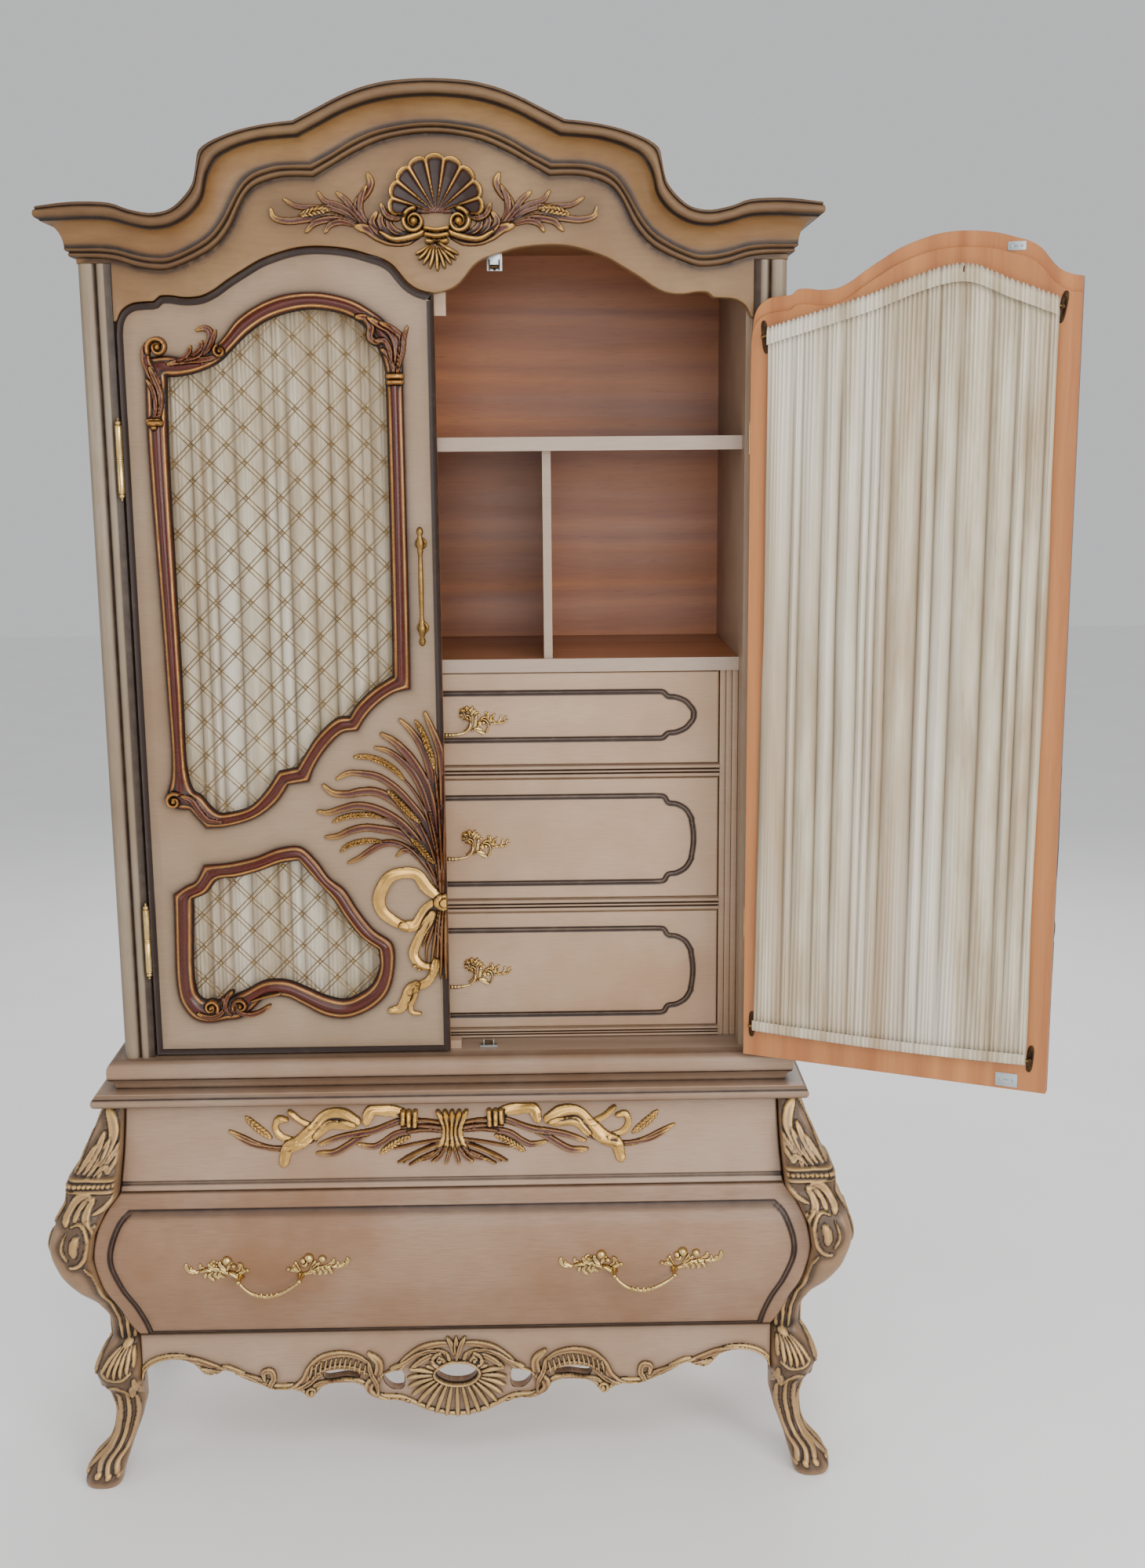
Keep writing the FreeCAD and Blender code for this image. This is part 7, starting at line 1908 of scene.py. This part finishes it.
def front_leg(side):
    zs = np.concatenate([[0.0, 0.6, 1.6], np.arange(3.2, 673.9, 2.0), [674.0]])
    count = 190
    rows, gild, cav = [], [], []
    for z in zs:
        xo, xi = float(smooth_at(LEG_OUT, z)), float(at(LEG_IN, z))
        yo = -(xo - 560.0)
        yi = 30.0
        if z < 262:
            k = (262 - z) / 262.0
            yi = 30.0 * (1 - k) + (-(xi - 560.0) + 2) * k
            if z < 131:
                yi = -(xi - 560.0) + 4 + 8 * (z / 131.0)
        n = float(np.interp(z, [0, 150, 240, 300, 674], [2.5, 2.6, 3.2, 5.5, 7.0]))
        foot = float(np.interp(z, [0, 0.6, 1.6, 3.2], [1.6, 0.7, 0.2, 0]))
        ins = LEG_INSET + foot
        x, y = leg_loop(xi + foot, xo - ins, yo + ins, yi - foot, n, count)
        tx, ty = np.roll(x, -1) - np.roll(x, 1), np.roll(y, -1) - np.roll(y, 1)
        ln = np.maximum(np.hypot(tx, ty), 1e-9)
        nx, ny = ty / ln, -tx / ln
        cxm, cym = x.mean(), y.mean()
        if ((x - cxm) * nx + (y - cym) * ny).sum() < 0:
            nx, ny = -nx, -ny
        wf, ws = (xo - ins) - x, y - (yo + ins)
        wd = (wf[0] + ws[0]) / 2
        width = max(10.0, (xo - ins) - xi)
        on_f = -ny > nx
        w = np.where(on_f, wf, ws)
        w = np.maximum(0, (w - wd)) * (width / max(1.0, width - wd))
        weight = np.clip(np.maximum(-ny, nx) * 1.6 - 0.35, 0, 1)
        zz = np.full(count, z)
        h = np.maximum(read_map(leg_map.H, w, zz), 0) * weight
        if z < 6:
            h = h * z / 6.0
        rows.append(np.stack([x + nx * h, y + ny * h, zz], 1))
        gild.append(read_map(leg_map.G, w, zz) * weight * (read_map(leg_map.H, w, zz) > -0.4))
        cv = read_map(leg_map.C, w, zz) * weight
        # painted shade: darker bands where the apron meets the leg (z 262) and under the base slab (z 672)
        joint_shade = 0.35 * math.exp(-((z - 262) / 9.0) ** 2) + 0.30 * math.exp(-((z - 672) / 6.0) ** 2)
        cav.append(np.clip(cv + joint_shade, 0, 1))
    a = Acc()
    g = np.array(rows)
    a.grid(g, 0, wrap=True, gild=np.array(gild), cav=np.array(cav))
    a.f.append(list(range(count)))
    a.f.append([(len(zs) - 1) * count + i for i in range(count)][::-1])
    a.m += [0, 0]
    if side < 0:
        a.p = [p * [-1, 1, 1] for p in a.p]
        a.f = [f[::-1] for f in a.f]
    return a


both = Acc()
for s in (-1, 1):
    one = front_leg(s)
    off = both.n
    for p in one.p:
        both.p.append(p)
    both.f += [[i + off for i in f] for f in one.f]
    both.m += one.m
    both.n += one.n
    for key, parts in one.a.items():
        both.a.setdefault(key, [])
        both.a[key] += parts
make("cabriole_front_legs", both, M["leg"], "case", 0, ["front_legs"], angle=75)

both = Acc()
for s in (-1, 1):
    zs = np.concatenate([[0.0, 0.8], np.arange(4, 673, 8.0), [674.0]])
    rows = []
    for z in zs:
        xo = float(smooth_at(LEG_OUT, z)) - 4
        xi = max(541.0, float(at(LEG_IN, z)) - 4 if z < 200 else 541.0)
        x, y = leg_loop(xi, xo, 398.0, 447.0, 9.0, 64)
        rows.append(np.stack([s * x, y, np.full(64, z)], 1))
    start = both.n
    both.grid(np.array(rows), 0, wrap=True, glaze=0.12)
    both.f.append([start + i for i in range(64)])
    both.f.append([start + (len(zs) - 1) * 64 + i for i in range(64)][::-1])
    both.m += [0, 0]
make("shaped_back_legs", both, M["sideleg"], "case", 0, ["back_legs"], angle=50)


# ------------------------------------------------------------------ drawer pulls
# strokes of the cast plates, from the middle of each pull
LOW_L = [
    ("leaf", 8, 5.0, 0.9, [(-133.1, 11.9), (-133.1, 4.8), (-127.7, -2.3), (-116.2, -4.8)]),
    ("leaf", 6, 4.5, 0.9, [(-125.0, 6.5), (-125.0, 1.3), (-118.1, -2.3), (-110.8, -1.9)]),
    ("leaf", 7, 5.5, 0.95, [(-110.0, 11.3), (-109.2, 5.2), (-103.5, 1.9), (-92.3, 1.3)]),
    ("stem", 9.5, 7.0, 0.95, [(-108.5, -1.9), (-94.2, 1.3), (-78.8, 0.3), (-65.4, -4.8), (-49.0, -13.2)]),
    ("leaf", 7, 5.0, 0.9, [(-103.5, -14.5), (-101.9, -9.0), (-96.2, -4.8), (-88.5, -3.2)]),
    ("leaf", 7, 5.4, 0.95, [(-87.5, -20.3), (-93.8, -14.8), (-95.4, -9.0), (-90.4, -4.2)]),
    ("leaf", 7, 5.2, 0.9, [(-79.6, -15.5), (-84.2, -12.3), (-86.2, -7.7), (-82.3, -3.5)]),
    ("leaf", 7, 5.0, 0.85, [(-70.0, -13.2), (-76.2, -12.3), (-79.2, -8.4), (-76.5, -4.2)]),
    ("knob", 15, 8.0, 1, [(-86.9, 10.3)]),
    ("knob", 8, 9.0, 1, [(-86.2, 11.9)]),
    ("leaf", 7, 5.5, 0.9, [(-96.2, 11.9), (-93.8, 6.5), (-86.5, 3.2), (-78.5, 2.9)]),
    ("knob", 16, 9.5, 1, [(-65.0, 16.8)]),
    ("leaf", 8, 6.0, 0.95, [(-76.9, 15.2), (-76.2, 9.0), (-71.5, 3.2), (-65.0, -0.3)]),
    ("leaf", 7, 6.0, 0.95, [(-56.7, 14.5), (-60.0, 9.4), (-63.5, 4.8), (-64.2, 0.0)]),
    ("knob", 9, 8.0, 1, [(-53.8, 6.8)]),
    ("leaf", 9, 7.0, 1, [(-45.0, 11.9), (-42.3, 7.1), (-42.7, 1.3), (-50.0, -3.2)]),
    ("knob", 8, 6.5, 1, [(-32.3, -2.3)]),
    ("stem", 4, 5.0, 0.9, [(-32.3, -2.3), (-38.5, -4.8), (-46.2, -6.5)]),
    ("leaf", 7, 6.0, 0.9, [(-39.2, 3.2), (-38.5, -1.0), (-41.5, -4.8), (-47.7, -6.8)]),
    ("knob", 11, 9.0, 1, [(-42.3, -14.8)]),
    ("stem", 10, 7.5, 1, [(-59.6, -4.2), (-53.8, -8.4), (-46.9, -13.2)]),
]
LOW_R = [
    ("knob", 17, 10.0, 1, [(71.5, 19.0)]),
    ("knob", 13, 9.0, 1, [(64.6, 8.7)]),
    ("knob", 10, 7.5, 1, [(61.5, 15.2)]),
    ("leaf", 8, 6.5, 0.95, [(49.6, 12.9), (50.4, 6.5), (54.2, -1.9), (57.3, -11.0)]),
    ("leaf", 7, 5.5, 0.9, [(35.4, 0.0), (41.5, -1.9), (48.5, -3.5), (54.6, -6.5)]),
    ("leaf", 7, 5.5, 0.9, [(46.2, 7.7), (46.9, 2.9), (50.8, -2.6), (55.8, -7.4)]),
    ("knob", 8, 6.0, 0.95, [(36.9, 0.3)]),
    ("knob", 14, 8.5, 1, [(94.2, 17.1)]),
    ("leaf", 8, 6.0, 0.9, [(81.9, 14.5), (80.0, 8.1), (76.2, 1.6), (71.2, -3.5)]),
    ("leaf", 7, 5.5, 0.9, [(88.8, 11.3), (84.6, 5.5), (79.2, 1.3), (73.8, -3.2)]),
    ("stem", 8, 6.5, 0.95, [(108.8, -7.4), (105.4, -1.0), (96.2, 2.6), (85.8, -0.3), (76.2, -5.5), (63.5, -9.7)]),
    ("leaf", 7, 5.5, 0.9, [(106.9, -10.3), (108.1, -5.8), (103.8, -1.6), (96.9, 0.6)]),
    ("leaf", 7, 5.0, 0.9, [(96.2, -11.3), (99.6, -6.8), (96.5, -2.9), (90.8, -1.6)]),
    ("leaf", 7, 5.0, 0.9, [(86.5, -11.9), (90.0, -7.7), (87.7, -4.5), (82.3, -4.2)]),
    ("leaf", 7, 5.0, 0.85, [(78.1, -10.6), (80.0, -7.7), (78.1, -5.8), (73.8, -5.8)]),
    ("leaf", 7, 5.2, 0.9, [(113.1, 17.7), (111.9, 11.9), (106.5, 7.4), (98.1, 5.2)]),
    ("stem", 6, 4.6, 0.9, [(128.8, 2.3), (119.2, 1.3), (109.6, 2.9), (100.0, 2.3)]),
    ("leaf", 7, 5.0, 0.9, [(118.8, 11.9), (120.0, 7.1), (116.2, 3.9), (109.6, 2.9)]),
    ("leaf", 8, 5.4, 0.95, [(136.2, 19.4), (136.5, 12.9), (133.5, 7.4), (126.2, 2.9)]),
    ("leaf", 6, 4.6, 0.9, [(128.8, 11.3), (128.5, 7.1), (125.0, 3.9), (119.2, 2.3)]),
    ("knob", 11, 9.0, 1, [(56.9, -11.3)]),
]
IN_R = [
    ("knob", 9.5, 8.0, 1, [(34.3, 32.1)]),
    ("stem", 2.6, 5.5, 0.9, [(34.3, 23.5), (30.8, 27.1), (30.3, 32.1), (34.3, 36.5), (38.5, 32.1), (38.0, 27.1)]),
    ("knob", 6.5, 6.0, 1, [(26.9, 29.8)]),
    ("knob", 6.5, 6.0, 1, [(25.6, 22.5)]),
    ("stem", 2.4, 4.5, 0.8, [(29.8, 34.4), (24.0, 31.6), (22.7, 25.3), (24.0, 18.0), (28.8, 14.4)]),
    ("knob", 7.5, 7.0, 1, [(34.1, 16.6)]),
    ("stem", 3.4, 6.0, 0.9, [(30.8, 16.2), (31.7, 20.7), (36.5, 22.1), (40.0, 18.0), (40.4, 10.7), (36.5, 0.7), (29.8, -5.3)]),
    ("leaf", 5.5, 5.0, 1, [(44.2, 36.2), (42.5, 32.1), (41.3, 27.1), (40.4, 22.5)]),
    ("leaf", 5.5, 5.0, 1, [(48.1, 31.6), (46.2, 28.5), (43.3, 25.3), (41.3, 21.6)]),
    ("leaf", 5, 4.6, 0.95, [(53.5, 27.1), (50.8, 26.4), (48.1, 23.5), (45.2, 20.7)]),
    ("leaf", 5, 4.6, 0.95, [(55.8, 22.5), (51.9, 21.6), (49.0, 18.9), (47.1, 16.2)]),
    ("leaf", 6.5, 5.6, 1, [(50.0, 20.7), (49.0, 12.5), (47.9, 5.3), (43.3, -3.8)]),
    ("stem", 4, 6.0, 0.95, [(53.8, 2.7), (53.7, 8.9), (56.9, 13.3), (62.7, 14.4), (68.1, 10.7), (69.6, 4.4), (68.1, -1.6), (65.4, -6.5)]),
    ("knob", 7, 6.2, 1, [(62.3, 8.4)]),
    ("leaf", 5, 4.8, 0.95, [(54.8, 4.4), (56.9, 8.0), (60.6, 9.8), (64.4, 8.9)]),
    ("leaf", 6.5, 5.0, 1, [(63.5, -9.3), (59.6, -8.0), (53.8, -4.2), (46.2, -0.7)]),
    ("leaf", 5, 4.6, 0.95, [(59.6, -2.0), (55.8, -1.6), (51.0, -0.2), (47.1, 0.7)]),
    ("knob", 5, 6, 1, [(42.9, -3.5)]),
    ("stem", 4.5, 5.0, 0.95, [(56.7, 16.2), (64.4, 18.9), (71.2, 13.9), (79.8, 8.9), (89.4, 8.4), (95.2, 9.8)]),
    ("leaf", 4.5, 4.6, 0.95, [(66.2, 27.1), (66.9, 23.5), (67.5, 19.8), (70.2, 15.3)]),
    ("leaf", 4.5, 4.6, 0.95, [(69.7, 26.2), (69.7, 22.5), (70.4, 18.9), (72.1, 14.4)]),
    ("leaf", 4.5, 4.6, 0.95, [(80.6, 23.8), (77.5, 19.8), (77.1, 14.4), (79.8, 9.8)]),
    ("leaf", 4.2, 4.4, 0.9, [(75.0, 20.7), (74.6, 17.1), (75.0, 13.5), (76.9, 10.7)]),
    ("leaf", 4.2, 4.4, 0.9, [(90.4, 20.7), (90.6, 16.2), (88.5, 12.5), (85.2, 9.8)]),
    ("leaf", 4.2, 4.2, 0.9, [(100.2, 19.8), (97.5, 17.1), (97.1, 13.5), (94.2, 10.2)]),
    ("leaf", 4.2, 4.2, 0.9, [(102.3, 13.5), (99.6, 12.5), (97.1, 10.7), (93.3, 8.9)]),
    ("leaf", 4.2, 4.2, 0.9, [(74.0, 5.3), (76.2, 7.5), (79.8, 8.4), (83.7, 8.5)]),
]


def merge(a, b):
    off = a.n
    a.p += b.p
    a.f += [[i + off for i in q] for q in b.f]
    a.m += b.m
    a.n += b.n
    for key in set(a.a) | set(b.a):
        a.a.setdefault(key, [np.zeros(off)])
        a.a[key] += b.a.get(key, [np.zeros(b.n)])
    return a


acc = Acc()
for cx in (-313.0, 313.0):
    rl = Relief(cx - 146, cx + 146, 384 - 30, 436, 0.85)
    rl.strokes(LOW_L, dx=cx, dz=401.5)
    rl.strokes(LOW_R, dx=cx, dz=401.5)
    rl.H = np.minimum(rl.H, 11.5)
    rl.finish(floor=-1.0, cav_scale=.8, crest=.3, edge_cav=.9)
    rl.emit(acc, on_front, -1.0)
    yl = float(smooth_at(FACE_Y, 400))
    bail = spline(np.array([(cx - 42, yl - 5, 387), (cx - 44, yl - 15, 389), (cx - 43, yl - 22, 388), (cx - 36, yl - 25, 380), (cx - 22, yl - 27, 370), (cx - 6, yl - 28, 365.4),
                            (cx + 8, yl - 28, 364.8), (cx + 24, yl - 27, 369), (cx + 44, yl - 25, 379), (cx + 57, yl - 22, 388), (cx + 58, yl - 15, 390), (cx + 57, yl - 5, 390)]), 1.6)
    t = np.linspace(0, 1, len(bail))
    rr = 2.5 + 1.2 * np.sin(math.pi * t) ** 2
    # darker bands along the bail: painted shade standing in for its twist
    acc.tube(bail, rr, 14, cav=(0.15 + 0.25 * np.sin(t * 60) ** 2)[:, None] * 0.6)
    # leaves wrapped about the middle of the bail
    mid = np.argmin(np.abs(bail[:, 0] - cx))
    for dx, h, lean in ((-11, 7, -3), (-4, 9, -1), (3, 9, 1), (10, 8, 2), (17, 7, 3)):
        k = int(np.argmin(np.abs(bail[:, 0] - (cx + dx))))
        p = bail[k]
        leaf = spline(np.array([p + [0, -1.5, -2.8], p + [lean * .3, -3.6, 0.5], p + [lean, -3.2, h * .6], p + [lean * 1.8, -0.8, h]]), 1.0)
        acc.tube(leaf, np.interp(np.linspace(0, 1, len(leaf)), [0, .4, .8, 1], [1.0, 2.3, 1.5, .3]), 8, cav=0.15)
    for dx in (-16, 22):
        k = int(np.argmin(np.abs(bail[:, 0] - (cx + dx))))
        tn = bail[k + 1] - bail[k - 1]
        acc.lathe(bail[k] - tn / np.linalg.norm(tn) * 1.6, tn, [(0, 3.3), (.6, 4.4), (1.6, 4.9), (2.6, 4.4), (3.2, 3.3)], 16, cav=0.25)
    for dx in (-44, 57):
        acc.lathe((cx + dx, yl - 3, 389), (0, -1, 0), [(0, 6.2), (3, 5.6), (6, 4.4), (10, 3.6), (16, 3.8), (20, 4.6), (23, 4.2), (25, 2.4), (25.6, .3)], 18, cav=0.2)
make("lower_rococo_pulls", acc, M["brass"], "lower_drawer", 0, ["lower_drawer_pulls"], angle=70, tidy=False)

for t, zc in (("top", 1290.0), ("middle", 1079.0), ("bottom", 855.0)):
    acc = Acc()
    rl = Relief(-112, 112, zc - 16, zc + 48, 0.75)
    for sx in (1, -1):
        rl.strokes(IN_R, sx=sx, dz=zc)
    rl.H = np.minimum(rl.H, 8.6)
    rl.finish(floor=-0.9, cav_scale=.8, crest=.3, edge_cav=.9)
    rl.emit(acc, flat_at(75.0), -0.9)
    y = 75.0
    bail = spline(np.array([(-35, y - 4, zc + 14), (-38, y - 12, zc + 15), (-40.5, y - 18, zc + 10), (-38, y - 20, zc + 2), (-30, y - 20.5, zc - 4.6), (-16, y - 21, zc - 7.6),
                            (0, y - 21, zc - 8.0), (16, y - 21, zc - 7.6), (30, y - 20.5, zc - 4.6), (38, y - 20, zc + 2), (40.5, y - 18, zc + 10), (38, y - 12, zc + 15), (35, y - 4, zc + 14)]), 1.2)
    tt = np.linspace(0, 1, len(bail))
    xs = bail[:, 0]
    rr = 2.1 + 1.2 * np.exp(-(xs / 17.0) ** 2) + 0.45 * np.cos(xs * 1.15) * np.exp(-(xs / 16.0) ** 2)
    # painted shade in the necks between the bail's lobes
    acc.tube(bail, rr, 14, cav=(0.15 + 0.5 * (0.5 - 0.5 * np.cos(xs * 1.15)) * np.exp(-(xs / 16.0) ** 2))[:, None])
    for dx in (-17, 17):
        k = int(np.argmin(np.abs(xs - dx)))
        tn = bail[k + 1] - bail[k - 1]
        acc.lathe(bail[k] - tn / np.linalg.norm(tn) * 1.2, tn, [(0, 2.4), (.5, 3.2), (1.2, 3.5), (1.9, 3.2), (2.4, 2.4)], 14, cav=0.25)
    make("inner_%s_rococo_pull" % t, acc, M["brass"], "inner_drawer_" + t, 0, ["inner_drawer_%s_pull" % t], angle=70, tidy=False)

# ------------------------------------------------------------------ catches
acc = Acc()
for s in (-1, 1):
    x = s * 93.0
    acc.slab((x - 12, x + 12), (35.6, 38), (2020, 2064), 0.7, 0, cav=0.1)
    acc.slab((x - 9.4, x + 9.4), (24, 36.2), (2027, 2058), 1.6, 0, cav=0.05)
    for dx in (-8.6, 8.6):
        acc.slab((x + min(dx, dx * .78), x + max(dx, dx * .78)), (22.4, 30), (2020.6, 2036), 0.5, 1, cav=0.2)
    acc.lathe((x - 6.6, 24.4, 2025.4), (1, 0, 0), [(0, 2.2), (.4, 3.3), (12.8, 3.3), (13.2, 2.2), (13.21, .2)], 20, 1, cav=0.1)
    coil = [(x + 3.4 * math.cos(q), 30 + 3.4 * math.sin(q), 2029 + q * 0.62) for q in np.linspace(0, 44, 170)]
    acc.tube(np.array(coil), 0.55, 6, 1, cav=0.2)
    for zz in (2023, 2061):
        acc.lathe((x, 35.8, zz), (0, -1, 0), [(0, 2.6), (.9, 2.3), (1.4, 1.3), (1.5, .2)], 14, 1, cav=0.3)
    x = s * 62.0
    acc.slab((x - 15, x + 15), (29, 45), (748, 749.8), 0.5, 0, cav=0.1)
    for dx in (-1, 1):
        a, b = sorted((x + dx * 7.2, x + dx * 9.0))
        acc.slab((a, b), (30, 43), (749.6, 759.6), 0.5, 0, cav=0.1)
    acc.lathe((x - 7.3, 32.2, 755.0), (1, 0, 0), [(0, 2.0), (.4, 3.1), (14.2, 3.1), (14.6, 2.0), (14.61, .2)], 20, 1, cav=0.1)
    for dx in (-12, 12):
        acc.lathe((x + dx, 38, 749.6), (0, 0, 1), [(0, 2.2), (.7, 1.9), (1.1, 1.1), (1.2, .2)], 14, 1, cav=0.3)
make("roller_catch_set", acc, [M["zinc"], M["bronze"]], "case", 0, ["roller_catches"], angle=45)


# ------------------------------------------------------------------ carried-over nodes
def dress(node, mat):
    ob = NODES[node]
    ob.data.materials.clear()
    ob.data.materials.append(mat)
    for p in ob.data.polygons:
        p.material_index = 0


LEFT = {"upper_sides": "case", "upper_back_panel": "inside", "upper_top_board": "basewood", "upper_floor_board": "floorwood",
        "plinth_frame": "plinth", "upper_shelf": "shelfwood2", "middle_shelf": "shelfwood", "shelf_dividers": "divider",
        "drawer_runners": "basewood", "door_stop_blocks": "inner", "base_sides": "sidepaint", "side_aprons": "sidepaint",
        "base_back_panel": "basewood", "base_bottom_board": "basewood", "base_dust_panel": "basewood",
        "lower_drawer_box": "boxwood", "frieze_drawer_box": "boxwood", "inner_drawer_top_box": "boxwood",
        "inner_drawer_middle_box": "boxwood", "inner_drawer_bottom_box": "boxwood", "back_legs": "sidepaint"}
M["plinth"] = paint("plinth_paint", srgb(146, 124, 106), srgb(128, 104, 84), grain=(1, 1, 16), attrs=False)
M["sidepaint"] = paint("side_paint", srgb(146, 124, 102), srgb(132, 106, 82), grain=(9, 9, 1), attrs=False)
M["floorwood"] = wood("floor_paint", srgb(158, 138, 120), srgb(122, 100, 82), "x", rough=0.4, flecks=False)
M["shelfwood2"] = wood("upper_shelf_wood", srgb(150, 104, 72), srgb(100, 62, 38), "x", front=0.0565, front_col=srgb(156, 134, 116))
M["divider"] = wood("divider_wood", srgb(150, 110, 84), srgb(108, 72, 50), "y", front=0.0826, front_col=srgb(150, 128, 108))
used = set()
for n, k in LEFT.items():
    if n in NODES and not NODES[n].hide_render:
        dress(n, M[k])
        used.add(n)
left_over = [n for n, o in NODES.items() if not o.hide_render and n not in used]
for n in left_over:
    dress(n, M["brass"] if ("hinge" in n or "pull" in n) else M["aged"] if ("rod" in n or "catch" in n or "lattice" in n) else M["case"])
print("undressed CAD nodes still shown:", left_over)

# ------------------------------------------------------------------ floor and light
def stage():
    me = bpy.data.meshes.new("studio_floor")
    me.from_pydata([(-14, -14, 0), (14, -14, 0), (14, 14, 0), (-14, 14, 0)], [], [(0, 1, 2, 3)])
    ob = bpy.data.objects.new("studio_floor", me)
    bpy.context.scene.collection.objects.link(ob)
    m = Mat("floor_white")
    n = m.noise(3.0, 3, 0.5)
    m.set(Base_Color=m.mix(m.remap(n, 0.3, 0.7), (0.93, 0.93, 0.925, 1), (0.90, 0.90, 0.895, 1)), Roughness=0.75)
    me.materials.append(m.m)


stage()


def lamp(name, loc, target, size, power, color=(1, 1, 1)):
    data = bpy.data.lights.new(name, "AREA")
    data.shape, data.size, data.size_y = "RECTANGLE", size[0], size[1]
    data.energy, data.color = power, color
    ob = bpy.data.objects.new(name, data)
    ob.location = loc
    ob.rotation_euler = (Vector(target) - Vector(loc)).to_track_quat("-Z", "Y").to_euler()
    bpy.context.scene.collection.objects.link(ob)


lamp("key_right", (3.3, -3.9, 2.6), (0.1, 0, 1.1), (2.2, 2.4), 150, (1.0, 0.99, 0.97))
lamp("fill_left", (-3.9, -2.4, 1.8), (-0.1, 0, 1.0), (2.0, 2.8), 36, (0.96, 0.98, 1.0))
lamp("front_window", (0.5, -4.4, 2.0), (0.15, 0, 1.2), (2.6, 2.4), 92, (1.0, 0.99, 0.97))
lamp("front_top", (0.2, -3.0, 4.4), (0, 0, 1.0), (3.6, 1.4), 60)
lamp("back_rim", (0.5, 3.6, 3.2), (0, 0, 1.2), (3.0, 2.0), 90)
world = bpy.data.worlds.new("studio")
bpy.context.scene.world = world
world.use_nodes = True
bg = world.node_tree.nodes["Background"]
bg.inputs["Color"].default_value = (0.95, 0.96, 0.98, 1)
bg.inputs["Strength"].default_value = 0.66
